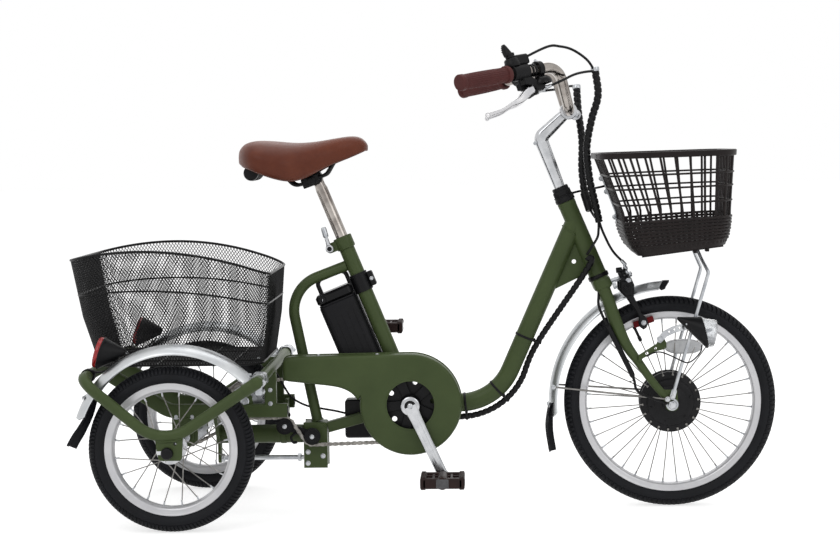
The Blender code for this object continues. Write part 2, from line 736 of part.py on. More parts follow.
def clamp_lever(name):
    """The hand lever on the clamp bolt, pointing up along the post."""
    pivot = seat(CLAMP_BACK, -0.0225, CLAMP_UP)
    boss = rod(name, pivot - 0.006 * Y_AXIS, pivot + 0.006 * Y_AXIS, 0.008, 12)
    blade = sweep("blade", [pivot, pivot + 0.030 * SEAT_UP + 0.002 * SEAT_BACK, pivot + 0.055 * SEAT_UP],
                  rectangle(0.009, 0.006))
    fuse(boss, blade)
    return cut(boss, rod("bore", pivot - 0.02 * Y_AXIS, pivot + 0.02 * Y_AXIS, 0.003 + RUN, 8))


def rear_arch(name):
    join = seat(0, 0, ARCH_JOIN_UP)
    knee = Vector((ARCH_KNEE[0], 0, ARCH_KNEE[1]))
    foot = Vector((ARCH_FOOT_X, 0, SWING_BRACKET_Z[1] + GAP))
    past = foot + (foot - knee).normalized() * 0.02
    made = tube(name, bent_path([join, knee, past], [ARCH_BEND_R]), ARCH_TUBE_R, 12)
    cut(made, rod("seat", seat(0, 0, 0.2), seat(0, 0, SEAT_TUBE_LENGTH), SEAT_TUBE_R + GAP, 16))
    return cut(made, block("flat", (foot.x - 0.05, -0.05, foot.z - 0.05), (foot.x + 0.05, 0.05, foot.z)))


def chain_stay(name):
    end_x = SWING_BRACKET_X[1]
    end = Vector((end_x - 0.01, 0, SWING_BRACKET_Z[1] - 0.016))
    made = sweep(name, [BB - STAY_DROP * Vector((0, 0, 1)), end], rectangle(STAY_WIDTH, STAY_HEIGHT))
    cut(made, rod("seat", BB - 0.1 * Y_AXIS, BB + 0.1 * Y_AXIS, BB_SHELL_R + GAP, 20))
    return cut(made, block("flat", (end_x - 0.1, -0.1, 0.05), (end_x + GAP, 0.1, 0.3)))


def swing_bracket(name):
    """The block at the rear end of the front frame, with the shaft that it swings on."""
    x0, x1 = SWING_BRACKET_X
    z0, z1 = SWING_BRACKET_Z
    half = SWING_BRACKET_HALF
    made = block(name, (x0, -half, z0), (x1, half, z1), 0.003)
    end_x = SWING_HOUSING_X[0] + 0.020
    return fuse(made, rod("shaft", (x0 + 0.01, 0, SWING_Z), (end_x, 0, SWING_Z), SWING_SHAFT_R, 16))


def case_outline():
    """The chain case's side view: a disc round the chainring with a tail to the rear."""
    top, bottom = CASE_TAIL_Z[1], CASE_TAIL_Z[0]
    points = []
    for k in range(22):
        angle = math.radians(92 - k * 13.4)
        points.append((BB_X + CASE_R * math.cos(angle), BB_Z + CASE_R * math.sin(angle)))
    points += [(BB_X - 0.121, BB_Z + 0.022), (BB_X - 0.140, BB_Z + 0.034), (BB_X - 0.170, BB_Z + 0.040)]
    points += [(CASE_TAIL_X + 0.01, bottom), (CASE_TAIL_X, bottom + 0.008), (CASE_TAIL_X, top - 0.014),
               (CASE_TAIL_X + 0.012, top - 0.002), (CASE_TAIL_X + 0.03, top)]
    return points


def shrunk(outline, distance):
    """An outline moved inwards by a distance (its points run clockwise in side view)."""
    count = len(outline)
    made = []
    for k in range(count):
        a, b, c = (Vector((*outline[(k + j) % count], 0)) for j in (-1, 0, 1))
        along = ((b - a).normalized() + (c - b).normalized()).normalized()
        inward = Vector((along.y, -along.x, 0))
        made.append((b.x + inward.x * distance, b.y + inward.y * distance))
    return made


def chain_case(name):
    """A pressed cover, open at the back, with the crank hole through its face."""
    outline = case_outline()
    inner = shrunk(outline, SHEET * 1.2)
    made = plate(name, outline, -CASE_Y[1], -CASE_Y[0])
    cut(made, plate("inside", inner, -CASE_Y[1] + SHEET, -CASE_Y[0] + 0.01))
    cut(made, rod("hole", BB - 0.1 * Y_AXIS, BB, CASE_HOLE_R, 28))
    cut(made, drive_chain("channel", 0.0035))
    arm = block("arm", (-0.075, -CASE_Y[0] - 0.0045, 0.282),
                (-0.057, -CASE_Y[0] - 0.0005, CASE_TAIL_Z[1] + 0.001))
    lug = block("lug", (-0.073, -CASE_Y[0] - 0.002, 0.284), (-0.059, -SEAT_TUBE_R - GAP, 0.298))
    return fuse(made, arm, lug)


# Drive train

def belt(circles, step=CHAIN_STEP):
    """A closed path round circles (x, z, radius, sense); sense +1 runs anticlockwise in side view."""
    count = len(circles)
    lines = []
    for i in range(count):
        (x0, z0, r0, d0), (x1, z1, r1, d1) = circles[i], circles[(i + 1) % count]
        length = math.hypot(x1 - x0, z1 - z0)
        theta = math.atan2(z1 - z0, x1 - x0) - math.asin((d1 * r1 - d0 * r0) / length)
        lines.append(theta)
    path = []
    for i in range(count):
        x, z, r, d = circles[i]
        start = lines[i - 1] - d * math.pi / 2
        turn = ((lines[i] - lines[i - 1]) * d) % (2 * math.pi)
        parts = max(2, math.ceil(turn / step))
        for k in range(parts + 1):
            angle = start + d * turn * k / parts
            path.append((x + r * math.cos(angle), z + r * math.sin(angle)))
    return path


def chain_loop(name, circles, y, margin=0.0):
    path = [(x, y, z) for x, z in belt(circles)]
    section = rectangle(2 * (CHAIN_HALF_WIDTH + margin), 2 * (CHAIN_HALF_HEIGHT + margin))
    return sweep(name, path, section, closed=True)


def drive_chain(name, margin=0.0):
    roller = (PULLEY_R + GAP) / math.cos(CHAIN_STEP / 2) + CHAIN_HALF_HEIGHT
    circles = [(BB_X, BB_Z, pitch_radius(CHAINRING_TEETH), -1), (*PULLEY_FRONT, roller, -1),
               (*PULLEY_REAR, roller, 1), (GEAR_HUB_X, GEAR_HUB_Z, pitch_radius(DRIVER_TEETH), -1)]
    return chain_loop(name, circles, -CHAINLINE, margin)


def axle_chain(name):
    r = pitch_radius(OUTPUT_TEETH)
    return chain_loop(name, [(REAR_AXLE.x, REAR_AXLE.z, r, -1), (GEAR_HUB_X, GEAR_HUB_Z, r, -1)], OUTPUT_Y)


def sprocket_radius(teeth):
    return (pitch_radius(teeth) - CHAIN_HALF_HEIGHT) * math.cos(CHAIN_STEP / 2) - 2 * GAP


def tensioner(name):
    """Two guide pulleys on an arm that is bolted to the swing bracket."""
    fx, fz = PULLEY_FRONT
    rx, rz = PULLEY_REAR
    along = Vector((rx - fx, 0, rz - fz)).normalized()
    inner_y = -CHAINLINE + CHAIN_HALF_WIDTH + 0.002
    front = Vector((fx, inner_y + 0.003, fz))
    rear = Vector((rx, inner_y + 0.003, rz))
    made = sweep(name, [front - 0.012 * along, rear + 0.012 * along], rectangle(0.004, 0.016))
    foot = rod("foot", front, (fx, -SWING_BRACKET_HALF - GAP, fz), 0.007, 10)
    fuse(made, foot)
    for x, z in (PULLEY_FRONT, PULLEY_REAR):
        profile = [(0, -0.0065), (0.017, -0.0065), (0.017, -0.0045), (PULLEY_R, -0.0040), (PULLEY_R, 0.0040),
                   (0.017, 0.0045), (0.017, 0.0065), (0.005, 0.0065), (0.005, 0.0090), (0, 0.0090)]
        fuse(made, turned("pulley", profile, Vector((x, -CHAINLINE, z)), Y_AXIS, 10))
    return made


def crank_tip(side):
    turn = CRANK_ANGLE if side < 0 else CRANK_ANGLE + math.pi
    return BB + CRANK_LENGTH * Vector((math.cos(turn), 0, math.sin(turn)))


def crank(name, side):
    """A tapered arm with its boss and the fixed pedal axle; the right one carries the spindle."""
    mid = side * (CRANK_INNER_Y + CRANK_THICK / 2)
    root = BB + mid * Y_AXIS
    tip = crank_tip(side) + mid * Y_AXIS
    made = sweep(name, [root, tip], rectangle(CRANK_THICK, 0.026), [1.0, 0.82])
    boss = rod("boss", root - CRANK_THICK / 2 * Y_AXIS, root + CRANK_THICK / 2 * Y_AXIS, 0.019, 16)
    eye = rod("eye", tip - 0.41 * CRANK_THICK * Y_AXIS, tip + 0.41 * CRANK_THICK * Y_AXIS, 0.0125, 14)
    outer = side * (CRANK_INNER_Y + CRANK_THICK)
    reach = outer - mid + side * (PEDAL_BOSS + PEDAL_WIDTH + 0.003)
    axle = rod("axle", tip, tip + reach * Y_AXIS, PEDAL_AXLE_R, 10)
    fuse(made, boss, eye, axle)
    if side < 0:
        fuse(made, rod("spindle", root, BB + (CRANK_INNER_Y - GAP) * Y_AXIS, SPINDLE_R, 14))
    return made


def pedal(name, side):
    """A platform pedal on its bored barrel."""
    near = side * (CRANK_INNER_Y + CRANK_THICK + PEDAL_BOSS)
    far = near + side * PEDAL_WIDTH
    at = crank_tip(side)
    half = PEDAL_LENGTH / 2
    low, high = min(near, far), max(near, far)
    tall = PEDAL_HEIGHT / 2
    made = block(name, (at.x - half, low, at.z - tall), (at.x + half, high, at.z + tall), 0.004)
    for x0, x1 in ((-half + 0.014, -0.012), (0.012, half - 0.014)):
        cut(made, block("window", (at.x + x0, low + 0.010, at.z - 0.03),
                        (at.x + x1, high - 0.010, at.z + 0.03)))
    bore = PEDAL_AXLE_R + RUN
    return cut(made, rod("bore", at + (low - 0.01) * Y_AXIS, at + (high + 0.01) * Y_AXIS, bore, 10))


def chainring(name):
    """Ring, five-arm spider and the boss beside the right crank."""
    outer = sprocket_radius(CHAINRING_TEETH)
    thin = 0.0015
    centre = BB - CHAINLINE * Y_AXIS
    bore = SPINDLE_R + GAP
    inner = outer - 0.014
    made = turned(name, [(inner, -thin), (outer, -thin), (outer, thin), (inner, thin)], centre, steps=24)
    face = CHAINLINE - CRANK_INNER_Y + GAP
    boss = turned("boss", [(bore, face), (0.018, face), (0.020, 0.003), (bore, 0.003)], centre, steps=14)
    fuse(made, boss)
    for k in range(5):
        angle = CRANK_ANGLE + 2 * math.pi * (k + 0.5) / 5
        out = Vector((math.cos(angle), 0, math.sin(angle)))
        ends = [centre + 0.015 * out, centre + (outer - 0.008) * out]
        fuse(made, sweep("arm", ends, rectangle(0.004, 0.016)))
    return made


def gear_driver(name):
    r = sprocket_radius(DRIVER_TEETH)
    bore = GEAR_AXLE_R + RUN
    profile = [(bore, -0.010), (0.012, -0.010), (0.012, -0.0015), (r, -0.0015), (r, 0.0015), (bore, 0.0015)]
    return turned(name, profile, Vector((GEAR_HUB_X, -CHAINLINE, GEAR_HUB_Z)), Y_AXIS, 16)


def gear_shell(name):
    bore = GEAR_AXLE_R + RUN
    r = sprocket_radius(OUTPUT_TEETH)
    low, high = -0.042, 0.052
    y, thin = OUTPUT_Y, 0.0015
    profile = [(bore, low), (0.016, low), (GEAR_HUB_R, low + 0.006), (GEAR_HUB_R, y - 0.012),
               (0.014, y - 0.010), (0.014, y - thin), (r, y - thin), (r, y + thin),
               (0.012, y + thin), (0.012, high), (bore, high)]
    return turned(name, profile, Vector((GEAR_HUB_X, 0, GEAR_HUB_Z)), Y_AXIS, 12)


def rear_axle(name):
    r = sprocket_radius(OUTPUT_TEETH)
    end = HALF_TRACK + REAR_AXLE_OVERHANG
    y, thin = OUTPUT_Y, 0.0015
    profile = [(0, -end), (REAR_AXLE_R, -end), (REAR_AXLE_R, y - 0.010), (0.014, y - 0.010),
               (0.014, y - thin), (r, y - thin), (r, y + thin), (0.014, y + thin),
               (0.014, y + 0.010), (REAR_AXLE_R, y + 0.010), (REAR_AXLE_R, end), (0, end)]
    return turned(name, profile, REAR_AXLE, Y_AXIS, 14)


# Battery, its rail and the electrics on the front frame

def seat_block(name, back, y, up, bevel=0.0):
    """A box square to the seat tube, between pairs of back, y and up values."""
    made = block(name, (-back[1], y[0], up[0]), (-back[0], y[1], up[1]), bevel)
    return moved(made, Matrix.Translation(BB) @ Matrix.Rotation(-SEAT_LEAN, 4, "Y"))


def battery(name):
    """The battery's case with its carry handle, offset to the left of the arch tube."""
    top = BATTERY_UP[1]
    made = seat_block(name, BATTERY_BACK, BATTERY_Y, BATTERY_UP, 0.006)
    near, far = BATTERY_BACK[0] + 0.004, BATTERY_BACK[1] - 0.012
    corners = [seat(near, HANDLE_Y, top - 0.01), seat(near, HANDLE_Y, top + HANDLE_RISE),
               seat(far, HANDLE_Y, top + HANDLE_RISE), seat(far, HANDLE_Y, top - 0.01)]
    return fuse(made, sweep("handle", bent_path(corners, [0.010, 0.010]), rectangle(0.012, 0.009)))


def battery_rail(name):
    """Back strip, base shelf and lock collar that hold the battery on the seat tube."""
    back = SEAT_TUBE_R + GAP
    low = BATTERY_UP[0] - 0.027
    made = seat_block(name, (back + 0.0012, BATTERY_BACK[0] - GAP), (-0.015, 0.015), (low + 0.006, 0.285))
    shelf = seat_block("shelf", (back, BATTERY_BACK[1]), (-0.030, 0.030), (low, BATTERY_UP[0] - GAP), 0.003)
    outer = back + 0.003
    ring = turned("ring", [(back, 0.248), (outer, 0.248), (outer, 0.288), (back, 0.288)], BB, SEAT_UP, 16)
    lock = seat_block("lock", (-0.030, -SEAT_TUBE_R - 0.001), (-0.013, 0.013), (0.252, 0.284), 0.003)
    return fuse(made, shelf, ring, lock)


def controller_box(name):
    side = STAY_WIDTH / 2 + GAP
    return block(name, (-0.178, side, 0.142), (-0.092, side + 0.042, 0.224), 0.005)


def main_path():
    knee = Vector((MAIN_KNEE[0], 0, MAIN_KNEE[1]))
    return bent_path([steer(0, 0, FORK_LENGTH + MAIN_JOIN_UP), knee, BB], [MAIN_BEND_R], math.radians(10))


def frame_harness(name):
    """The wrapped cables clipped under the main tube, from the head tube to the chain case."""
    path = main_path()
    off = MAIN_TUBE_R + HARNESS_R + 0.004
    below = []
    for a, b, c in zip(path, path[1:], path[2:]):
        along = (c - a).normalized()
        below.append(b + off * Vector((-along.z, 0, along.x)))
    lead = below[0] + 0.075 * (path[0] - path[1]).normalized()
    top = [steer(-0.006, -HEAD_TUBE_R - HARNESS_R - 0.001, FORK_LENGTH + 0.050),
           steer(-0.012, -HEAD_TUBE_R - HARNESS_R - 0.001, FORK_LENGTH + 0.030)]
    kept = [p for p in below if p.x > BB_X + 0.060]
    made = tube(name, smooth_path(top + [lead] + kept, 2), HARNESS_R, 6)
    for at in (lead, kept[-2]):
        nearest = min(path, key=lambda p: (p - at).length)
        out = (at - nearest).normalized()
        if at is lead:
            along = (path[1] - path[0]).normalized()
            nearest = path[0] + along * (at - path[0]).dot(along)
            out = (at - nearest).normalized()
        fuse(made, rod("clip", at, nearest + out * (MAIN_TUBE_R + GAP), 0.004, 8))
    return made


# Seat

def saddle_shape(x):
    """Half width, top height and skirt height of the saddle at a distance along it."""
    t = (x - SADDLE_BACK_X) / (SADDLE_NOSE_X - SADDLE_BACK_X)

    def ease(low, high):
        k = min(max((t - low) / (high - low), 0), 1)
        return k * k * (3 - 2 * k)

    nose = 0.036
    width = nose + (SADDLE_HALF_WIDTH - nose) * (1 - ease(0.30, 0.80))
    rear_round = math.sqrt(max(1 - (1 - min(t / 0.20, 1)) ** 2, 0.04))
    nose_round = math.sqrt(max(1 - max((t - 0.90) / 0.10, 0) ** 2, 0.06))
    top = 0.7685 - 0.008 * math.sin(math.pi * min(max((t - 0.22) / 0.70, 0), 1))
    top -= 0.022 * (1 - min(t / 0.14, 1)) ** 2 + 0.012 * max((t - 0.92) / 0.08, 0) ** 2
    skirt = 0.681 + 0.042 * ease(0.42, 0.98) + 0.040 * (1 - ease(0.0, 0.20))
    return width * rear_round * nose_round, top, skirt


def saddle_underside(x):
    width, top, skirt = saddle_shape(x)
    return skirt + 0.55 * (top - skirt) - 0.012


def saddle(name):
    """A crowned seat with drawn-in sides and a hollow underside between its skirts."""
    rings = []
    stations = 13
    for k in range(stations):
        share = k / (stations - 1)
        share -= 0.035 * math.sin(4 * math.pi * share)
        x = SADDLE_BACK_X + (SADDLE_NOSE_X - SADDLE_BACK_X) * share
        w, top, skirt = saddle_shape(x)
        under = saddle_underside(x)
        tall = top - skirt
        half = [(0.0, top), (0.34 * w, top - 0.02 * tall), (0.66 * w, top - 0.10 * tall),
                (0.88 * w, top - 0.28 * tall), (w, top - 0.55 * tall), (0.96 * w, skirt + 0.10 * tall),
                (0.88 * w, skirt), (0.78 * w, skirt + 0.04 * tall), (0.66 * w, under - 0.006),
                (0.30 * w, under)]
        ring = [(y, z) for y, z in half] + [(0.0, under)] + [(-y, z) for y, z in half[:0:-1]]
        rings.append([Vector((x, y, z)) for y, z in ring])
    return lofted(name, rings)


def seat_post(name):
    """The post with its clamp block and the two rails that the saddle rests on."""
    made = rod(name, seat(0, 0, POST_LOW), seat(0, 0, POST_HIGH), POST_R, 16)
    top = seat(0, 0, POST_HIGH)
    clamp = block("clamp", (top.x - 0.022, -0.030, top.z - 0.014),
                  (top.x + 0.022, 0.030, top.z + 0.022), 0.004)
    fuse(made, clamp)
    r = 0.0035
    for side in (-1, 1):
        rear_x, nose_x = top.x - 0.105, top.x + 0.066
        rear = Vector((rear_x, side * 0.028, saddle_underside(rear_x) - 0.0028))
        nose = Vector((nose_x, side * 0.008, saddle_underside(nose_x) - 0.0028))
        low = top.z + 0.010
        corners = [rear, (rear_x + 0.020, side * 0.026, low), (nose_x - 0.040, side * 0.020, low), nose]
        path = bent_path(corners, [0.012, 0.012], math.radians(25))
        fuse(made, tube("rail", path, r, 6))
    return made


# Steering assembly

BAR_CENTRE = steer(STEM_REACH, 0, STEM_ELBOW_UP + STEM_RISE)


def bar_point(offset, side):
    return BAR_CENTRE + Vector((offset[0], side * offset[1], offset[2]))


def grip_line(side):
    """The end of a grip and the direction from it along the bar, towards the middle."""
    end = bar_point(GRIP_END, side)
    return end, (bar_point(BAR_TOP, side) - end).normalized()


def on_bar(side, distance):
    end, along = grip_line(side)
    return end + distance * along


def under_bar(side):
    """The direction from the bar towards its brake lever: down, and a little forward."""
    along = grip_line(side)[1]
    rough = Vector((0.38, 0, -0.92))
    return (rough - rough.dot(along) * along).normalized()


def fork(name):
    """Steerer, crown, curved blades, fork ends and the fixed front axle with its nuts."""
    made = rod(name, steer(0, 0, FORK_LENGTH - CROWN_DROP), steer(0, 0, HEAD_TOP + NUT_HEIGHT), STEERER_R, 20)
    crown = block("crown", (-0.019, -CROWN_HALF, -CROWN_DROP), (0.019, CROWN_HALF, -GAP), 0.005)
    turn = Matrix.Translation(steer(0, 0, FORK_LENGTH)) @ Matrix.Rotation(-HEAD_LEAN, 4, "Y")
    fuse(made, moved(crown, turn))
    for side in (-1, 1):
        route = [(0, 0.0385, FORK_LENGTH - 0.010), (-0.0030, 0.0395, 0.82 * FORK_LENGTH),
                 (-0.0066, 0.0415, 0.665 * FORK_LENGTH), (-0.0054, 0.0445, 0.51 * FORK_LENGTH),
                 (0.0036, 0.0480, 0.357 * FORK_LENGTH), (0.0140, 0.0525, 0.19 * FORK_LENGTH),
                 (FORK_RAKE, FORK_END_Y, 0.0)]
        path = smooth_path([steer(f, side * y, up) for f, y, up in route], 2)
        taper = 1 - FORK_TIP_R / FORK_BLADE_R
        scales = [1 - taper * k / (len(path) - 1) for k in range(len(path))]
        fuse(made, tube("blade", path, FORK_BLADE_R, 8, scales))
        y = side * FORK_END_Y
        half = FORK_END_THICK / 2
        ax, az = FRONT_AXLE.x, FRONT_AXLE.z
        outline = [(ax - 0.013, az - 0.010), (ax, az - 0.014), (ax + 0.013, az - 0.010),
                   (ax + 0.009, az + 0.030), (ax - 0.024, az + 0.030)]
        tip = plate("tip", outline, y - half, y + half)
        nut = rod("nut", FRONT_AXLE + y * Y_AXIS, FRONT_AXLE + (y + side * 0.011) * Y_AXIS, 0.0095, 6)
        fuse(made, tip, nut)
    reach = FORK_END_Y + 0.016
    return fuse(made, rod("axle", FRONT_AXLE - reach * Y_AXIS, FRONT_AXLE + reach * Y_AXIS, FRONT_AXLE_R, 16))


def headset_nut(name):
    """The stacked nuts on top of the head tube, with the wire that steadies the basket."""
    bore = STEERER_R + GAP
    low, high = HEAD_TOP + GAP, HEAD_TOP + NUT_HEIGHT
    profile = [(bore, low), (0.0205, low), (0.0205, low + 0.012), (0.0180, low + 0.014),
               (0.0180, high), (bore, high)]
    made = turned(name, profile, STEER_FOOT, HEAD_UP, 16)
    tip = Vector((basket_back_x(0.668) - 0.0016, 0.052, 0.668))
    return fuse(made, rod("wire", steer(0.012, 0.012, HEAD_TOP + 0.007), tip, 0.003, 8))


def stem(name):
    foot = steer(0, 0, HEAD_TOP + NUT_HEIGHT + GAP)
    elbow = steer(0, 0, STEM_ELBOW_UP)
    made = tube(name, bent_path([foot, elbow, BAR_CENTRE], [0.028]), STEM_R, 12)
    fuse(made, rod("clamp", BAR_CENTRE - 0.022 * Y_AXIS, BAR_CENTRE + 0.022 * Y_AXIS, BAR_R + STEM_BAND, 16))
    return cut(made, rod("bore", BAR_CENTRE - 0.05 * Y_AXIS, BAR_CENTRE + 0.05 * Y_AXIS,
                         over_flats(BAR_R + GAP, 16), 16))


def handlebar(name):
    half = [bar_point(GRIP_END, -1) + 0.008 * grip_line(-1)[1], bar_point(BAR_TOP, -1),
            BAR_CENTRE - BAR_FOOT_Y * Y_AXIS]
    corners = half + [Vector((p.x, -p.y, p.z)) for p in half[::-1]]
    return tube(name, bent_path(corners, [0.050, 0.035, 0.035, 0.050]), BAR_R, 10)


def over_flats(radius, sides):
    """The corner radius of a bore whose flats clear a given radius."""
    return radius / math.cos(math.pi / sides)


def grip(name, side):
    end, along = grip_line(side)
    bore = over_flats(BAR_R + GAP, 14)
    profile = [(0, 0), (GRIP_R, 0), (GRIP_R + 0.001, 0.5 * GRIP_LENGTH), (GRIP_R, GRIP_LENGTH),
               (bore, GRIP_LENGTH), (bore, 0.0075), (0, 0.0075)]
    return turned(name, profile, end, along, 14)


def lever_frame(side):
    """The pivot, the axis and the tip of a brake lever; turning about the axis pulls it to the grip."""
    under = under_bar(side)
    pivot = on_bar(side, PERCH_AT) + LEVER_DROP * under
    tip = on_bar(side, LEVER_TIP[0]) + LEVER_TIP[1] * under
    grip_mid = on_bar(side, 0.6 * GRIP_LENGTH)
    axis = (tip - pivot).cross(grip_mid - pivot).normalized()
    return pivot, axis, tip


def ring_on_bar(name, side, low, high, radius):
    end, along = grip_line(side)
    bore = over_flats(BAR_R + GAP, 14)
    return turned(name, [(bore, low), (radius, low), (radius, high), (bore, high)], end, along, 14)


def shift_frame():
    """The pivot and the axis of the thumb lever on top of the right side of the bar."""
    up = -under_bar(-1)
    return on_bar(-1, SHIFT_AT) + (BAR_R + 0.0249) * up, up


def brake_perch(name, side):
    """The clamp, cheek and pin of a brake lever; the right one carries the shifter's body too."""
    pivot, axis, tip = lever_frame(side)
    under = under_bar(side)
    along = grip_line(side)[1]
    clamp_low = SHIFT_AT - 0.010 if side < 0 else PERCH_AT - 0.010
    made = ring_on_bar(name, side, clamp_low, PERCH_AT + 0.010, BAR_R + PERCH_BAND)
    cheek_from = on_bar(side, PERCH_AT) + (BAR_R + BELL_SEAT) * under + 0.0085 * axis
    cheek_to = pivot + 0.0085 * axis + 0.007 * under
    cheek = sweep("cheek", [cheek_from, cheek_to], rectangle(0.004, 0.018), side=axis)
    pin = rod("pin", pivot + 0.0085 * axis, pivot - 0.0065 * axis, 0.0025, 8)
    fuse(made, cheek, pin)
    if side < 0:
        up = -under
        house_low = on_bar(side, SHIFT_AT) + (BAR_R + 0.0034) * up
        profile = [(0, 0), (0.012, 0), (0.014, 0.006), (0.012, 0.0145), (0.003, 0.0145), (0.003, 0.026),
                   (0, 0.026)]
        fuse(made, turned("house", profile, house_low, up, 12))
    else:
        pad_at = on_bar(side, PERCH_AT) - (BAR_R + 0.0099) * under
        pad = block("pad", (-0.016, -0.022, -0.007), (0.016, 0.022, 0.007), 0.003)
        across = under.cross(along)
        frame = Matrix((across, along, -under)).transposed().to_4x4()
        fuse(made, moved(pad, Matrix.Translation(pad_at) @ frame))
    return made


def brake_lever(name, side):
    pivot, axis, tip = lever_frame(side)
    under = under_bar(side)
    made = rod(name, pivot - 0.0055 * axis, pivot + 0.0055 * axis, 0.0080, 12)
    span = tip - pivot
    route = [pivot, pivot + 0.35 * span + 0.004 * under, pivot + 0.7 * span + 0.003 * under, tip]
    fuse(made, sweep("blade", smooth_path(route, 3), rectangle(0.010, 0.006), side=axis))
    return cut(made, rod("bore", pivot - 0.02 * axis, pivot + 0.02 * axis, 0.0025 + RUN, 8))


def shift_lever(name):
    pivot, axis = shift_frame()
    along = grip_line(-1)[1]
    made = rod(name, pivot - 0.006 * axis, pivot + 0.004 * axis, 0.0095, 12)
    path = [pivot, pivot - 0.016 * along + 0.001 * axis, pivot - 0.034 * along + 0.006 * axis]
    blade = sweep("blade", path, rectangle(0.012, 0.006), [1, 0.95, 0.6], side=along.cross(axis))
    fuse(made, blade)
    return cut(made, rod("bore", pivot - 0.02 * axis, pivot + 0.02 * axis, 0.003 + RUN, 8))


def bell(name):
    at = 0.208
    under = under_bar(-1)
    made = ring_on_bar(name, -1, at - 0.006, at + 0.006, BAR_R + BAR_BAND)
    profile = [(0, 0), (0.010, 0.001), (0.018, 0.006), (0.021, 0.014), (0.021, 0.017), (0, 0.017)]
    return fuse(made, turned("dome", profile, on_bar(-1, at) + (BAR_R + BELL_SEAT) * under, under, 14))


def front_brake(name):
    """A rim brake bolted to the front of the crown, with an arm and a pad on each side of the rim."""
    centre = steer(BRAKE_FORWARD, 0, BRAKE_UP + 0.010)
    nose = centre + 0.008 * HEAD_FORWARD + 0.008 * HEAD_UP
    made = rod(name, steer(0.0194, 0, BRAKE_UP + 0.018), nose, 0.0075, 10)
    pad = arc_points(FRONT_AXLE, FRONT_RIM_R - 0.012, PAD_ANGLE, PAD_ANGLE + 1, 1)[0]
    half = [(pad, 0.0240, 0.0005), (pad, 0.0345, 0.0075), (centre, 0.0365, -0.020), (centre, 0.026, 0.004)]
    route = [at - y * Y_AXIS + up * HEAD_UP for at, y, up in half] + [centre + 0.008 * HEAD_UP]
    route += [at + y * Y_AXIS + up * HEAD_UP for at, y, up in half[::-1]]
    fuse(made, sweep("arms", smooth_path(route, 2), rectangle(0.010, 0.009), side=HEAD_FORWARD))
    spin = Matrix.Rotation(math.radians(90 - PAD_ANGLE), 4, "Y")
    shoes = []
    for side in (-1, 1):
        low, high = sorted((side * 0.0150, side * 0.0305))
        shoe = block("shoe", (-0.026, low, -0.0062), (0.026, high, 0.0058))
        shoes.append(moved(shoe, Matrix.Translation(pad) @ spin))
    return fuse(made, gathered("shoes", shoes))


def front_floor_height(x):
    return 0.5235 + (x - 0.425) * 0.124


def front_mid_height(x):
    return 0.605 + (x - 0.395) * 0.05


def front_rim_height(x):
    return 0.7265 + (x - 0.349) * 0.020


def basket_back_x(z):
    """The outside of the front basket's back wall at a height."""
    (low_x, *_), (mid_x, *_), (top_x, *_) = FRONT_BASKET_LEVELS
    mid_z, top_z = front_mid_height(mid_x), front_rim_height(top_x)
    return mid_x + (top_x - mid_x) * (z - mid_z) / (top_z - mid_z)


def front_basket(name):
    low, mid, top = FRONT_BASKET_LEVELS
    return basket(name, [(*low, front_floor_height), (*mid, front_mid_height, 0.004),
                         (*top, front_rim_height, 0.008)])


def basket_stay(name):
    """One bent wire: up from the right fork end, across under the basket and down to the left."""
    r = 0.003
    y = FORK_END_Y + FORK_TIP_R + r + GAP
    low = FRONT_AXLE + Vector((0.001, 0, 0.0215))
    top_x = 0.548
    top = Vector((top_x, 0, front_floor_height(top_x) - r - 2 * GAP))
    half = [Vector((low.x, -y, low.z)), Vector((0.5695, -y, 0.487)), Vector((0.557, -0.052, 0.513)),
            Vector((top.x, -0.040, top.z))]
    corners = half + [Vector((p.x, -p.y, p.z)) for p in half[::-1]]
    return tube(name, bent_path(corners, [0.012, 0.015, 0.006, 0.006, 0.015, 0.012], math.radians(25)), r, 6)


def headlamp(name):
    """A lamp on the right of the fork: cone, lens, the bracket from the fork blade and the lead back to it."""
    at = Vector((0.547, -0.101, 0.366))
    ahead = Vector((math.cos(0.12), 0, -math.sin(0.12)))
    profile = [(0, -0.046), (0.010, -0.046), (0.031, -0.004), (0.032, 0.010), (0.026, 0.030), (0, 0.034)]
    made = turned(name, profile, at, ahead, 18)
    blade_at = steer(-0.0035, -0.0455, 0.47 * FORK_LENGTH)
    path = [blade_at - 0.0121 * Y_AXIS, Vector((blade_at.x + 0.03, -0.0715, blade_at.z + 0.012)),
            Vector((at.x - 0.040, at.y + 0.004, at.z + 0.002))]
    lead = [(0.5520, -0.1010, 0.3440), (0.5490, -0.0990, 0.3290), (0.5350, -0.0910, 0.3116),
            (0.5227, -0.0850, 0.3060), (0.5083, -0.0790, 0.3114), (0.4899, -0.0730, 0.3200),
            (0.4725, -0.0680, 0.3258), (0.4584, -0.0640, 0.3240), (0.4440, -0.0615, 0.3165)]
    bracket = sweep("bracket", path, rectangle(0.004, 0.020))
    return fuse(made, bracket, tube("lead", smooth_path(lead, 1), LEAD_R, 6))


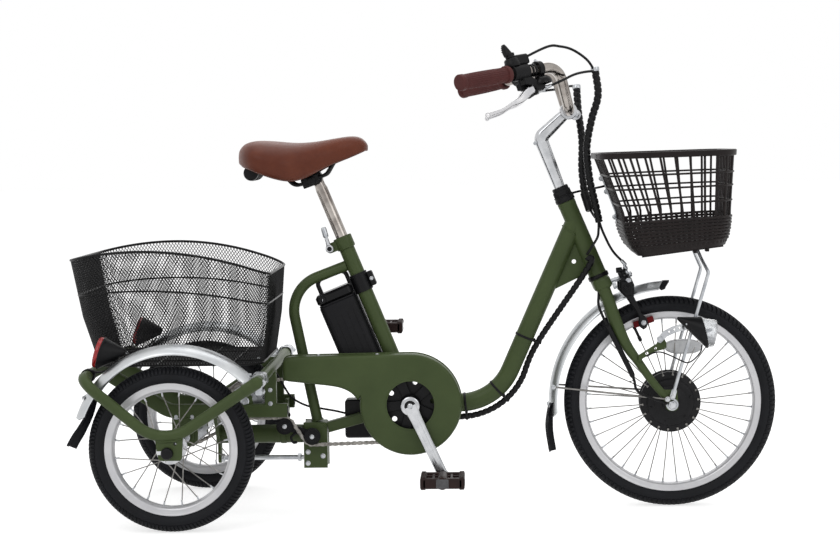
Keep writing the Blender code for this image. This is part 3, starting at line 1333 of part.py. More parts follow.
def cable_sleeves(name):
    """The wrapped cables before the head tube, the ones from the shifter and both levers, and the brake's."""
    gather = Vector((0.3529, -0.020, 0.590))
    right = [(0.3451, -0.045, 0.8994), (0.3508, -0.045, 0.8471), (0.3383, -0.045, 0.801),
             (0.3290, -0.045, 0.757), (0.3277, -0.042, 0.7265), (0.3333, -0.036, 0.6758),
             (0.3440, -0.028, 0.630), gather]
    made = tube(name, smooth_path(right, 2), SLEEVE_R, 6)
    left = [(0.3125, 0.050, 0.866), (0.3150, 0.034, 0.8145), (0.3212, 0.022, 0.757), (0.3205, 0.018, 0.6952),
            (0.3262, 0.008, 0.6437), (0.3345, -0.002, 0.6160)]
    tail = [left[-1], (0.3430, -0.0105, 0.6015), gather]
    fuse(made, tube("left", smooth_path(left, 2), SLEEVE_R, 6), tube("tail", smooth_path(tail, 1), CABLE_R, 6))
    shifter = on_bar(-1, SHIFT_AT + 0.0144)
    up = -under_bar(-1)
    arc = [shifter + 0.0225 * up, (0.2454, -0.125, 0.9445), (0.2725, -0.105, 0.9448),
           (0.2992, -0.083, 0.9364), (0.3276, -0.062, 0.9180), (0.3442, -0.0475, 0.8960)]
    fuse(made, tube("gear", smooth_path(arc, 2), CABLE_R, 6))
    lever_ends = {-1: [(0.2772, -0.118, 0.8759), (0.2981, -0.098, 0.8861), (0.3165, -0.078, 0.8916),
                       (0.3359, -0.058, 0.8945), (0.3452, -0.046, 0.8930)],
                  1: [(0.2790, 0.113, 0.8650), (0.2960, 0.089, 0.8690), (0.3060, 0.067, 0.8690),
                      (0.3124, 0.050, 0.8640)]}
    for side, end in lever_ends.items():
        under, axis = under_bar(side), lever_frame(side)[1]
        cheek = on_bar(side, PERCH_AT + 0.0100 + GAP) + 0.0377 * under + 0.0085 * axis
        barrel = on_bar(side, PERCH_AT + 0.055) + 0.0377 * under
        fuse(made, tube("lever cable", smooth_path([cheek, barrel] + end, 2), CABLE_R, 6))
    brake_top = steer(BRAKE_FORWARD, 0, BRAKE_UP + 0.0248 + CABLE_R)
    drop = [gather, (0.3620, -0.018, 0.5650), (0.3800, -0.012, 0.5300), brake_top]
    return fuse(made, tube("brake", smooth_path(drop, 1), CABLE_R, 6))


def steering_link(name):
    """The cables from the sleeves to the harness, which bend when the bar is turned."""
    route = [(0.3490, -0.0285, 0.5790), (0.3480, -0.033, 0.5580), (0.3360, -0.031, 0.5380),
             steer(-0.0045, -HEAD_TUBE_R - HARNESS_R - 0.001, FORK_LENGTH + 0.0545)]
    return tube(name, smooth_path(route, 3), CABLE_R, 8)


# Assembly

def build():
    clear_scene()
    green = material("olive_paint", (0.061, 0.085, 0.034), 0.55)
    alloy = material("satin_alloy", (0.72, 0.72, 0.72), 0.32, 1.0)
    chrome = material("chrome", (0.80, 0.80, 0.80), 0.12, 1.0)
    steel = material("plain_steel", (0.45, 0.45, 0.45), 0.40, 1.0)
    rubber = material("black_rubber", (0.012, 0.012, 0.012), 0.85)
    plastic = material("black_plastic", (0.016, 0.016, 0.017), 0.50)
    wire = material("black_wire", (0.020, 0.020, 0.020), 0.60)
    brown = material("brown_resin", (0.050, 0.030, 0.020), 0.60)
    leather = material("brown_leather", (0.160, 0.075, 0.045), 0.60)
    maroon = material("maroon_rubber", (0.060, 0.022, 0.018), 0.70)
    red = material("red_lens", (0.50, 0.01, 0.01), 0.20)

    rear = joint_empty("rear_frame", (0, 0, 0))
    front = joint_empty("front_frame", (SWING_BRACKET_X[0], 0, SWING_Z), rear)
    steering = joint_empty("steering", steer(0, 0, FORK_LENGTH), front)
    front_wheel = joint_empty("front_wheel", FRONT_AXLE, steering)
    crank_set = joint_empty("crank_set", BB, front)
    seat_group = joint_empty("seat", seat(0, 0, SEAT_TUBE_LENGTH), front)
    lever_group = joint_empty("seat_lever", seat(CLAMP_BACK, -0.0225, CLAMP_UP), front)
    battery_group = joint_empty("battery_pack", seat(0.06, 0, 0.18), front)
    driver_group = joint_empty("gear_driver_axis", (GEAR_HUB_X, -CHAINLINE, GEAR_HUB_Z), rear)
    shell_group = joint_empty("gear_shell_axis", (GEAR_HUB_X, 0, GEAR_HUB_Z), rear)
    shift_group = joint_empty("shift_axis", shift_frame()[0], steering)

    finish(hoop_frame("rear_hoop_frame"), green, rear)
    finish(cross_tube("front_cross_tube"), green, rear)
    finish(centre_frame("centre_frame"), green, rear)
    finish(rear_basket("rear_basket"), wire, rear)
    finish(axle_chain("axle_chain"), steel, rear)
    finish(gear_driver("gear_driver_sprocket"), steel, driver_group)
    finish(gear_shell("gear_hub_shell"), alloy, shell_group)

    for side, word in ((-1, "right"), (1, "left")):
        wheel = joint_empty(word + "_rear_wheel", REAR_AXLE + side * HALF_TRACK * Y_AXIS, rear)
        centre = wheel.matrix_world.translation
        finish(tyre(word + "_rear_tyre", centre, REAR_TYRE_R, REAR_RIM_R), rubber, wheel)
        finish(rim(word + "_rear_rim", centre, REAR_RIM_R, REAR_RIM_DEPTH), alloy, wheel)
        bore = REAR_AXLE_R + (GAP if side < 0 else RUN)
        finish(rear_hub(word + "_rear_hub", side, bore), chrome, wheel)
        if side < 0:
            finish(rear_axle("rear_axle"), steel, wheel)
        finish(rear_fender(word + "_rear_fender", side), alloy, rear)
        finish(reflector(word + "_reflector", side), red, rear)

        arm = joint_empty(word + "_pedal_axis", crank_tip(side), crank_set)
        finish(crank(word + "_crank", side), alloy, crank_set)
        finish(pedal(word + "_pedal", side), maroon, arm)

        finish(grip(word + "_grip", side), maroon, steering)
        finish(brake_perch(word + "_brake_perch", side), plastic, steering)
        lever = joint_empty(word + "_lever_axis", lever_frame(side)[0], steering)
        finish(brake_lever(word + "_brake_lever", side), alloy, lever)

    finish(main_tube("main_tube"), green, front)
    finish(seat_tube("seat_tube"), green, front)
    finish(rear_arch("rear_arch"), green, front)
    finish(chain_stay("chain_stay"), green, front)
    finish(swing_bracket("swing_bracket"), green, front)
    finish(chain_case("chain_case"), green, front)
    finish(drive_chain("drive_chain"), steel, front)
    finish(tensioner("chain_tensioner"), plastic, front)
    finish(battery_rail("battery_rail"), plastic, front)
    finish(controller_box("controller_box"), plastic, front)
    finish(frame_harness("frame_harness"), plastic, front)
    finish(steering_link("steering_cables"), plastic, front)
    finish(battery("battery"), plastic, battery_group)
    finish(chainring("chainring"), steel, crank_set)
    finish(seat_post("seat_post"), chrome, seat_group)
    finish(saddle("saddle"), leather, seat_group)
    finish(clamp_lever("seat_clamp_lever"), steel, lever_group)

    finish(fork("fork"), green, steering)
    finish(headset_nut("headset_nut"), plastic, steering)
    finish(stem("handlebar_stem"), chrome, steering)
    finish(handlebar("handlebar"), chrome, steering)
    finish(shift_lever("shift_lever"), plastic, shift_group)
    finish(bell("bell"), plastic, steering)
    finish(front_fender("front_fender"), alloy, steering)
    finish(front_brake("front_brake"), plastic, steering)
    finish(front_basket("front_basket"), brown, steering)
    finish(basket_stay("basket_stay"), chrome, steering)
    finish(headlamp("headlamp"), plastic, steering)
    finish(cable_sleeves("cable_sleeves"), plastic, steering)
    finish(tyre("front_tyre", FRONT_AXLE, FRONT_TYRE_R, FRONT_RIM_R), rubber, front_wheel)
    finish(rim("front_rim", FRONT_AXLE, FRONT_RIM_R, FRONT_RIM_DEPTH), alloy, front_wheel)
    finish(front_hub("front_hub_motor"), plastic, front_wheel)


build()
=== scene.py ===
import math

import bmesh
import bpy
from mathutils import Matrix, Vector, geometry


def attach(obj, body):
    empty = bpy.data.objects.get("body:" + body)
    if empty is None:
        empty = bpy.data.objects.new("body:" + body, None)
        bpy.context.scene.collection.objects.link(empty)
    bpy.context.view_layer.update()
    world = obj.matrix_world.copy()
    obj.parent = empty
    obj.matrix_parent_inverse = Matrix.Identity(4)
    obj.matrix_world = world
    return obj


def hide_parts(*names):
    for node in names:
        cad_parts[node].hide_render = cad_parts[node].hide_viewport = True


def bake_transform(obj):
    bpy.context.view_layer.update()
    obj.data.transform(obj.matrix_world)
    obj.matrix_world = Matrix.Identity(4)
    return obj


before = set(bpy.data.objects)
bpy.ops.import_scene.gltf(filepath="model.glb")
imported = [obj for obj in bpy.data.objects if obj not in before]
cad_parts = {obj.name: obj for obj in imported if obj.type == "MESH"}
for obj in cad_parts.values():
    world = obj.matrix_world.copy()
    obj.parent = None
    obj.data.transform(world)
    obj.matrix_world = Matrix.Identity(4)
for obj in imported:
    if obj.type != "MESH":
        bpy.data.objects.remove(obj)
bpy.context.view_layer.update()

# Rear hoops
# One 22 mm steel tube bent round both rear wheels and behind the basket, painted matte olive.
# A slotted dropout plate is welded under each low bend and holds one end of the axle.

REAR_R = 0.164
REAR_AXLE = Vector((-0.4995, 0, REAR_R))
HOOP_Y = 0.285
HOOP_R = 0.0111


def bent(corners, radii, step=6):
    """A path through corners, each rounded by an arc of its own radius."""
    path = [Vector(corners[0])]
    for a, b, c, radius in zip(corners, corners[1:], corners[2:], radii):
        a, b, c = Vector(a), Vector(b), Vector(c)
        u, v = (a - b).normalized(), (c - b).normalized()
        turn = math.pi - u.angle(v)
        radius = min(radius, 0.49 * min((a - b).length, (c - b).length) / math.tan(turn / 2))
        start = b + u * radius * math.tan(turn / 2)
        hub = b + (u + v).normalized() * radius / math.cos(turn / 2)
        axis = (b - a).cross(c - b).normalized()
        n = max(2, round(math.degrees(turn) / step))
        path += [hub + Matrix.Rotation(turn * k / n, 3, axis) @ (start - hub) for k in range(n + 1)]
    return path + [Vector(corners[-1])]


def there_and_back(half):
    """A path of points and its mirror image, from the last point back to the first."""
    return half + [Vector((p.x, -p.y, p.z)) for p in half[::-1]]


def walled(rows, closed=False):
    """Rings of points joined into a wall, with a flat cap at each end unless it closes on itself."""
    verts = [p for row in rows for p in row]
    n, m = len(rows), len(rows[0])
    faces = []
    for i in range(n if closed else n - 1):
        j = (i + 1) % n
        for k in range(m):
            l = (k + 1) % m
            faces.append((i * m + k, i * m + l, j * m + l, j * m + k))
    if not closed:
        faces += [tuple(range(m))[::-1], tuple(range((n - 1) * m, n * m))]
    return verts, faces


def swept(path, outline, scales=None, closed=False, side=None):
    """An outline of (across, upright) points carried along a path without twisting."""
    path = [Vector(p) for p in path]
    n = len(path)
    rows, last, right = [], None, None
    for i, p in enumerate(path):
        if closed:
            way = path[(i + 1) % n] - path[i - 1]
        else:
            way = path[min(i + 1, n - 1)] - path[max(i - 1, 0)]
        way.normalize()
        if right is None:
            guess = Vector(side) if side else Vector((0, 1, 0))
            if abs(guess.dot(way)) > 0.9 and not side:
                guess = Vector((1, 0, 0))
            right = guess - guess.dot(way) * way
        else:
            right = last.rotation_difference(way) @ right
            right -= right.dot(way) * way
        right.normalize()
        last = way
        up = way.cross(right)
        s = scales[i] if scales else 1.0
        rows.append([p + right * (u * s) + up * (v * s) for u, v in outline])
    return walled(rows, closed=closed)


def turns(n):
    """The angles of n equal steps round a circle."""
    return [2 * math.pi * k / n for k in range(n)]


def disc(radius, n, u=0.0, v=0.0):
    """A round outline about (u, v)."""
    return [(u + radius * math.cos(a), v + radius * math.sin(a)) for a in turns(n)]


def moved(loop, u, v):
    """An outline shifted by (u, v)."""
    return [(u + a, v + b) for a, b in loop]


def tube(path, radius, n=20, scales=None, closed=False):
    """A round bar along a path."""
    return swept(path, disc(radius, n), scales, closed)


def offset(loop, depth):
    """A loop of (u, v) points moved inwards by a depth."""
    n = len(loop)
    area = sum(loop[k - 1][0] * loop[k][1] - loop[k][0] * loop[k - 1][1] for k in range(n))
    sign = 1 if area > 0 else -1
    out = []
    for k in range(n):
        a, b, c = Vector(loop[k - 1]), Vector(loop[k]), Vector(loop[(k + 1) % n])
        u, v = (b - a).normalized(), (c - b).normalized()
        nu, nv = Vector((-u.y, u.x)) * sign, Vector((-v.y, v.x)) * sign
        mid = nu + nv
        out.append(tuple(b + mid * (depth / max(0.35, 1 + nu.dot(nv)))))
    return out


def slab(outline, low, high, place, edge=0.0008, holes=()):
    """A plate with eased edges and round-edged holes, put in space by place(u, v, level)."""
    verts, faces, firsts, lasts, flat = [], [], [], [], []
    for n, loop in enumerate([outline, *holes]):
        small = offset(loop, edge if n == 0 else -edge)
        rows = [(small, low), (loop, low + edge), (loop, high - edge), (small, high)]
        base, m = len(verts), len(loop)
        for pts, level in rows:
            verts += [Vector(place(u, v, level)) for u, v in pts]
        for i in range(3):
            for k in range(m):
                l = (k + 1) % m
                faces.append((
                    base + i * m + k, base + i * m + l, base + (i + 1) * m + l, base + (i + 1) * m + k))
        firsts += range(base, base + m)
        lasts += range(base + 3 * m, base + 4 * m)
        flat.append([Vector((u, v, 0)) for u, v in small])
    for tri in geometry.tessellate_polygon(flat):
        faces.append(tuple(firsts[k] for k in tri))
        faces.append(tuple(lasts[k] for k in tri)[::-1])
    return verts, faces


def on_side(u, v, level):
    """Plates that stand fore and aft: u forwards, v up, level to the left."""
    return u, level, v


def joined(*shapes):
    """Several shapes as one."""
    verts, faces = [], []
    for v, f in shapes:
        base = len(verts)
        verts += v
        faces += [tuple(i + base for i in face) for face in f]
    return verts, faces


def mirrored(shape):
    """The same shape on the other side."""
    verts, faces = shape
    return [Vector((p[0], -p[1], p[2])) for p in verts], [f[::-1] for f in faces]


def both(shape):
    """A shape and its mirror image."""
    return joined(shape, mirrored(shape))


def shown(name, layers, body, *nodes, slot=None, sharp=38):
    """One visible piece of (finish, shape) layers that rides on a body and stands for CAD nodes."""
    mesh = bpy.data.meshes.new(name)
    verts, faces, index, order = [], [], [], []
    for finish, (v, f) in layers:
        if finish not in order:
            order.append(finish)
            mesh.materials.append(finish)
        base = len(verts)
        verts += [tuple(p) for p in v]
        faces += [tuple(i + base for i in face) for face in f]
        index += [order.index(finish)] * len(f)
    mesh.from_pydata(verts, [], faces)
    mesh.polygons.foreach_set("material_index", index)
    work = bmesh.new()
    work.from_mesh(mesh)
    bmesh.ops.remove_doubles(work, verts=work.verts, dist=2e-6)
    bmesh.ops.recalc_face_normals(work, faces=work.faces)
    work.to_mesh(mesh)
    work.free()
    mesh.shade_smooth()
    mesh.set_sharp_from_angle(angle=math.radians(sharp))
    piece = bpy.data.objects.new(name, mesh)
    bpy.context.scene.collection.objects.link(piece)
    if body:
        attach(piece, body)
    if nodes:
        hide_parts(*nodes)
    return piece


def srgb(r, g, b):
    """A colour read as 0-255 screen values, in the renderer's own scale."""
    return tuple(
        (c / 255 / 12.92 if c < 10.3 else ((c / 255 + 0.055) / 1.055) ** 2.4) for c in (r, g, b)) + (1.0,)


def filled(node, **values):
    """A shader node with its inputs set; an underscore in a name stands for a space."""
    for name, value in values.items():
        node.inputs[name.replace("_", " ")].default_value = value
    return node


def new_node(tree, kind, **values):
    """A new shader node of a kind, with its inputs set."""
    return filled(tree.nodes.new("ShaderNode" + kind), **values)


def surface(
        name, light, dark, roughness, metallic=0.0, patch=14.0, grain=700.0, relief=0.15, depth=0.0004,
        spread=0.07, coat=0.0, stretch=(1, 1, 1)):
    """A finish with drifting colour, uneven gloss and a fine relief."""
    made = bpy.data.materials.new(name)
    made.use_nodes = True
    tree = made.node_tree
    shader = filled(
        tree.nodes["Principled BSDF"], Metallic=metallic, Coat_Weight=coat, Specular_IOR_Level=0.17)
    place = new_node(tree, "TexCoord")
    scale = new_node(tree, "Mapping", Scale=stretch)
    tree.links.new(place.outputs["Object"], scale.inputs["Vector"])

    def cloud(size, detail):
        """The grey value of a noise of some size."""
        noise = new_node(tree, "TexNoise", Scale=size, Detail=detail, Roughness=0.6)
        tree.links.new(scale.outputs["Vector"], noise.inputs["Vector"])
        return noise.outputs["Fac"]

    shade = new_node(tree, "ValToRGB")
    for stop, position, colour in zip(shade.color_ramp.elements, (0.32, 0.68), (dark, light)):
        stop.position = position
        stop.color = colour
    tree.links.new(cloud(patch, 6), shade.inputs["Fac"])
    tree.links.new(shade.outputs["Color"], shader.inputs["Base Color"])
    gloss = new_node(
        tree, "MapRange",
        To_Min=max(0.02, roughness - spread),
        To_Max=min(1.0, roughness + spread))
    tree.links.new(cloud(patch * 5, 5), gloss.inputs["Value"])
    tree.links.new(gloss.outputs["Result"], shader.inputs["Roughness"])
    bump = new_node(tree, "Bump", Strength=relief, Distance=depth)
    tree.links.new(cloud(grain, 3), bump.inputs["Height"])
    tree.links.new(bump.outputs["Normal"], shader.inputs["Normal"])
    return made


olive = surface(
    "olive_paint", srgb(76, 90, 54), srgb(67, 80, 47), 0.46, patch=9, grain=950, relief=0.1, depth=0.0003,
    spread=0.05, coat=0.05)

hoop_low = REAR_AXLE + Vector((-0.01, -HOOP_Y, 0.0125))
hoop_front = Vector((-0.322, -HOOP_Y, 0.3))
arm = (hoop_front - hoop_low).normalized()
hoop_start = hoop_front - 0.0114 * arm
hoop_half = [hoop_start, hoop_low, Vector((-0.666, -HOOP_Y, 0.307))]
hoop_line = bent(there_and_back(hoop_half), [0.085, 0.04, 0.04, 0.085], 4)
dropout = [
    (-0.024, 0.036), (-0.021, 0.004), (-0.0075, 0.004), (-0.0045, 0.0062), (0.0, 0.0078), (0.005, 0.0062),
    (0.0078, 0.0), (0.005, -0.0062), (0.0, -0.0078), (-0.0045, -0.0062), (-0.0075, -0.004),
    (-0.0195, -0.004), (-0.017, -0.0125), (-0.012, -0.015), (0.024, -0.015), (0.028, -0.011),
    (0.031, 0.038), (0.016, 0.03), (-0.008, 0.03)]
dropouts = both(slab(
    moved(dropout, REAR_AXLE.x, REAR_AXLE.z), -0.2885, -0.2825, on_side, 0.0007,
    holes=[disc(0.0032, 16, REAR_AXLE.x + 0.015, REAR_AXLE.z + 0.018)]))
lugs = [hoop_start + arm * 0.01 - arm * 0.03 * k for k in (0, 1)]
ferrules = both(tube([lugs[1], lugs[0]], HOOP_R + 0.0012, 28))
welds = both(joined(*(
    tube([
        (REAR_AXLE.x - 0.022, y, 0.1882), (REAR_AXLE.x - 0.008, y, 0.1866),
        (REAR_AXLE.x + 0.014, y, 0.1876), (REAR_AXLE.x + 0.027, y, 0.192)], 0.0022, 10)
    for y in (-0.2895, -0.2815))))
shown(
    "rear_hoops",
    [(olive, joined(tube(hoop_line, HOOP_R, 28), dropouts, welds)), (olive, ferrules)], "rear_frame",
    "rear_hoop_frame", slot="olive_paint")

# Cross tube
# A straight 22 mm steel tube across the front of the rear frame, olive like the hoops.
# Each end carries the hoop on a silver clamp with a cross bolt, and is closed by a domed cap.

CROSS = Vector((-0.322, 0, 0.3))


def turned(profile, centre, axis, steps=48, ring=False):
    """A lathe shape: (radius, along) points turned about an axis."""
    axis = Vector(axis).normalized()
    across = axis.orthogonal().normalized()
    up = axis.cross(across)
    centre = Vector(centre)
    rows = []
    for r, along in profile:
        r = max(r, 1e-5)
        rows.append([
            centre + axis * along + (across * math.cos(a) + up * math.sin(a)) * r
            for a in (2 * math.pi * (k + 0.5) / steps for k in range(steps))])
    return walled(rows, closed=ring)


def lipped(inner, edge, outer, half, flat):
    """The lathe profile of a ring or bar with eased rims, the same on both sides."""
    return [(inner, -half), (edge, -half), (outer, -flat), (outer, flat), (edge, half), (inner, half)]


def oblong(width, height, corner, n=4, u=0.0, v=0.0):
    """A rectangle with round corners, about (u, v)."""
    out = []
    for q, (cx, cy) in enumerate(((1, 1), (-1, 1), (-1, -1), (1, -1))):
        for k in range(n + 1):
            a = math.pi / 2 * (q + k / n)
            out.append((
                u + cx * (width / 2 - corner) + corner * math.cos(a),
                v + cy * (height / 2 - corner) + corner * math.sin(a)))
    return out


def hexagon_bolt(at, way, across=0.01, tall=0.006, washer=0.0068):
    """A hexagon head on a flat washer."""
    return joined(
        turned([
            (0, 0), (washer, 0), (washer, 0.0009), (washer - 0.0004, 0.0012), (0, 0.0012)], at, way, 24),
        turned([
            (0, 0.001), (across * 0.577, 0.001), (across * 0.577, tall * 0.82), (across * 0.47, tall),
            (0, tall)], at, way, 6),
        turned([
            (0, tall - 0.0002), (across * 0.26, tall - 0.0002), (across * 0.24, tall + 0.001),
            (0, tall + 0.0012)], at, way, 16))


steel = surface(
    "bare_steel", srgb(196, 198, 200), srgb(160, 163, 168), 0.3, metallic=1.0, patch=60, grain=1500,
    relief=0.08, depth=0.0002)
cross_tube = tube([CROSS + Vector((0, y, 0)) for y in (-0.2955, -0.15, 0, 0.15, 0.2955)], HOOP_R, 28)
cross_plug = both(turned([
    (0, -0.004), (HOOP_R, -0.004), (HOOP_R, 0.0), (HOOP_R - 0.0012, 0.0016), (HOOP_R * 0.6, 0.0038),
    (0, 0.0046)], (CROSS.x, -0.2952, CROSS.z), (0, -1, 0), 28))
cross_clamp = both(joined(
    turned(
        lipped(0.0113, 0.0138, 0.0142, 0.009, 0.008), (CROSS.x, -0.262, CROSS.z), (0, 1, 0), 36,
        ring=True),
    slab(
        oblong(0.013, 0.017, 0.002, u=CROSS.x - 0.001, v=CROSS.z - 0.0195), -0.268, -0.256, on_side,
        0.0008),
    hexagon_bolt((CROSS.x + 0.0055, -0.262, CROSS.z - 0.021), (1, 0, 0), 0.008, 0.005, 0.0055),
    hexagon_bolt((CROSS.x + 0.0108, -0.2855, CROSS.z), (1, 0, 0), 0.009, 0.0045, 0.0062)))
shown(
    "cross_tube",
    [(olive, joined(cross_tube, cross_plug)), (steel, cross_clamp)], "rear_frame", "front_cross_tube",
    slot="olive_paint")

# Centre frame
# Two square rails with posts, axle plates and a long bearing housing between them, welded in
# steel and painted olive. A bright tie rod with lock nuts runs below the housing.

RAIL_Y, SWING_Z, TIE_Z = 0.07, 0.156, 0.106
GEAR = Vector((-0.375, 0, 0.232))
RAIL = oblong(0.02, 0.028, 0.0045)


def rod(radius, low, high):
    """The lathe profile of a plain round bar."""
    return [(0, low), (radius, low), (radius, high), (0, high)]


def block(low, high, corner=0.003, edge=0.0012):
    """A box with round upright corners and eased rims."""
    mid = [(a + b) / 2 for a, b in zip(low, high)]
    return slab(
        oblong(high[0] - low[0], high[2] - low[2], corner, u=mid[0], v=mid[2]), low[1], high[1], on_side,
        edge)


black = surface(
    "black_plastic", srgb(20, 20, 22), srgb(12, 12, 14), 0.42, patch=30, grain=1300, relief=0.22,
    depth=0.0003)
rail = swept(
    bent([(-0.288, -RAIL_Y, 0.215), (-0.53, -RAIL_Y, 0.215), (-0.658, -RAIL_Y, 0.295)], [0.05]), RAIL)
rail_plug = turned(
    [(0, 0), (0.0085, 0), (0.0085, 0.0016), (0, 0.0022)], (-0.2885, -RAIL_Y, 0.215), (1, 0, 0), 24)
posts = both(block((-0.334, -0.0795, 0.2155), (-0.31, -0.0605, 0.2985), 0.004, 0.002))
plates = both(slab([
    (-0.5255, 0.224), (-0.5255, 0.15), (-0.5175, 0.1425), (-0.4815, 0.1425), (-0.4735, 0.15),
    (-0.4735, 0.224)], -0.075, -0.065, on_side, 0.001))
bearings = both(turned(
    lipped(0.0085, 0.0175, 0.019, 0.0085, 0.007), (REAR_AXLE.x, -RAIL_Y, REAR_AXLE.z), (0, 1, 0), 40,
    ring=True))
gear_tabs = both(slab([
    (-0.392, 0.22), (-0.358, 0.22), (-0.36, 0.243), (-0.367, 0.2495), (-0.383, 0.2495),
    (-0.39, 0.243)], -0.0735, -0.0665, on_side, 0.001))
housing = turned([
    (0.0125, 0), (0.0175, 0), (0.019, 0.0015), (0.019, 0.036), (0.0205, 0.037), (0.0205, 0.047),
    (0.019, 0.048), (0.019, 0.126), (0.0205, 0.127), (0.0205, 0.137), (0.019, 0.138), (0.019, 0.1715),
    (0.0175, 0.173), (0.0125, 0.173)], (-0.436, 0, SWING_Z), (1, 0, 0), 48, ring=True)


def on_face(u, v, level):
    """Plates that stand across: u to the left, v up, level forwards."""
    return level, u, v


webs = joined(
    slab([
        (-0.07, 0.2245), (-0.07, 0.203), (-0.0195, 0.1385), (0.0175, 0.1385), (0.0175, 0.176),
        (-0.01, 0.2245)], -0.4415, -0.4345, on_face, 0.0008),
    slab([
        (0.004, 0.1485), (0.018, 0.1485), (0.0675, 0.203), (0.0675, 0.2235), (0.03, 0.2235),
        (0.004, 0.178)], -0.3045, -0.2975, on_face, 0.0008),
    slab(oblong(0.024, 0.058, 0.008, v=0.125), -0.4412, -0.4352, on_face, 0.0008))
gear_axle = joined(
    turned(rod(0.005, 0, 0.14), (GEAR.x, -RAIL_Y, GEAR.z), (0, 1, 0), 20),
    *(
        turned([
            (0.005, 0), (0.0085, 0), (0.0085, 0.004), (0.0075, 0.005),
            (0.005, 0.005)], (GEAR.x, y, GEAR.z), (0, 1, 0), 6, ring=True) for y in (-0.066, 0.061)))
tie_rod = joined(
    turned(rod(0.005, 0, 0.171), (-0.435, 0, TIE_Z), (1, 0, 0), 20),
    *(
        turned([
            (0.0046, 0), (0.0088, 0), (0.0088, 0.0055), (0.0078, 0.0068),
            (0.0046, 0.0068)], (x, 0, TIE_Z), (1, 0, 0), 6, ring=True) for x in (-0.435, -0.275)))
centre_nuts = both(joined(
    hexagon_bolt((-0.375, -0.0737, 0.2345), (0, -1, 0), 0.013, 0.008, 0.009),
    hexagon_bolt((-0.322, -0.0797, 0.23), (0, -1, 0), 0.0065, 0.004, 0.0046),
    hexagon_bolt((-0.322, -0.0797, 0.258), (0, -1, 0), 0.0065, 0.004, 0.0046),
    hexagon_bolt((-0.516, -0.0752, 0.205), (0, -1, 0), 0.008, 0.005),
    hexagon_bolt((-0.483, -0.0752, 0.205), (0, -1, 0), 0.008, 0.005)))
shown(
    "centre_carriage",
    [
        (olive, joined(rail, mirrored(rail), posts, plates, bearings, gear_tabs, housing, webs)),
        (steel, joined(tie_rod, gear_axle, centre_nuts)), (black, both(rail_plug))], "rear_frame",
    "centre_frame", slot="olive_paint")

# Tyres
# Moulded black rubber with a smooth sidewall, ribbed shoulders and a zigzag middle rib.
# They grip the rims by their beads; the two rear ones are alike, the front one is larger.

FRONT_R = 0.2175
FRONT_AXLE = Vector((0.496, 0, FRONT_R))
LEFT = Vector((0, 1, 0))
rubber = surface(
    "tyre_rubber", srgb(25, 26, 30), srgb(17, 18, 21), 0.55, patch=26, grain=900, relief=0.25,
    depth=0.0004, spread=0.1)
RIB_STEPS, MIDDLE_RIB = 6, 0.0052
# height from the bead, half width, groove depth inwards and sideways, lean of the groove
TYRE_SIDE = [
    (0.0, 0.0116, 0, 0, 0), (0.05, 0.0124, 0, 0, 0), (0.09, 0.0142, 0, 0, 0), (0.12, 0.0146, 0, 0, 0),
    (0.2, 0.0172, 0, 0, 0), (0.31, 0.0192, 0, 0, 0), (0.44, 0.0199, 0, 0, 0), (0.53, 0.0195, 0, 0, 0),
    (0.575, 0.0186, 0, 0, 0), (0.585, 0.02, 0, 0.0015, 0), (0.66, 0.0199, 0.0006, 0.0022, 0.02),
    (0.75, 0.0184, 0.0018, 0.0022, 0.06), (0.85, 0.0153, 0.0024, 0.0016, 0.3),
    (0.93, 0.0112, 0.0022, 0.0006, 0.9), (0.96, 0.0078, 0.0012, 0, 1.6), (0.91, 0.007, 0, 0, 1.7),
    (0.91, 0.006, 0, 0, 1.8), (0.98, MIDDLE_RIB, 0, 0, 1.8)]


def tyre(name, centre, outer, bead, ribs, body, node):
    """A tyre whose shoulder ribs are staggered from side to side."""
    rows = []
    steps = ribs * RIB_STEPS
    for j in range(steps):
        row = []
        for side, points in ((-1, TYRE_SIDE), (0, [(1.0, 0.0, 0, 0, 1.8)]), (1, TYRE_SIDE[::-1])):
            phase = (j + (RIB_STEPS // 2 if side > 0 else 0)) % RIB_STEPS
            for high, half, down, inward, lean in points:
                grooved = phase in (0, 1)
                radius = bead + high * (outer - bead) - (down if grooved else 0)
                half -= inward if grooved else 0
                if half == MIDDLE_RIB:
                    half += 0.0009 * (1 if phase in (0, 1, 2) else -1)
                angle = 2 * math.pi * (j + 2.2 * lean) / steps
                row.append(centre + Vector((
                    radius * math.cos(angle), side * half, radius * math.sin(angle))))
        rows.append(row)
    shown(name, [(rubber, walled(rows, closed=True))], body, node, slot="tyre_rubber", sharp=32)


HALF_TRACK = 0.235
RIGHT_AXLE, LEFT_AXLE = REAR_AXLE - HALF_TRACK * LEFT, REAR_AXLE + HALF_TRACK * LEFT
REAR_WHEELS = (("right", RIGHT_AXLE), ("left", LEFT_AXLE))
for word, centre in REAR_WHEELS:
    tyre(word + "_rear_tread", centre, REAR_R, 0.13, 126, word + "_rear_wheel", word + "_rear_tyre")
tyre("front_tread", FRONT_AXLE, FRONT_R, 0.1853, 132, "front_wheel", "front_tyre")

# Rims
# Box-section aluminium, turned bright on the flat sides and satin within.
# Bright nipples sit in its inner wall, and a black rubber valve stands between two of them.

REAR_SPOKES, FRONT_SPOKES, NIPPLE_Y = 20, 36, 0.003


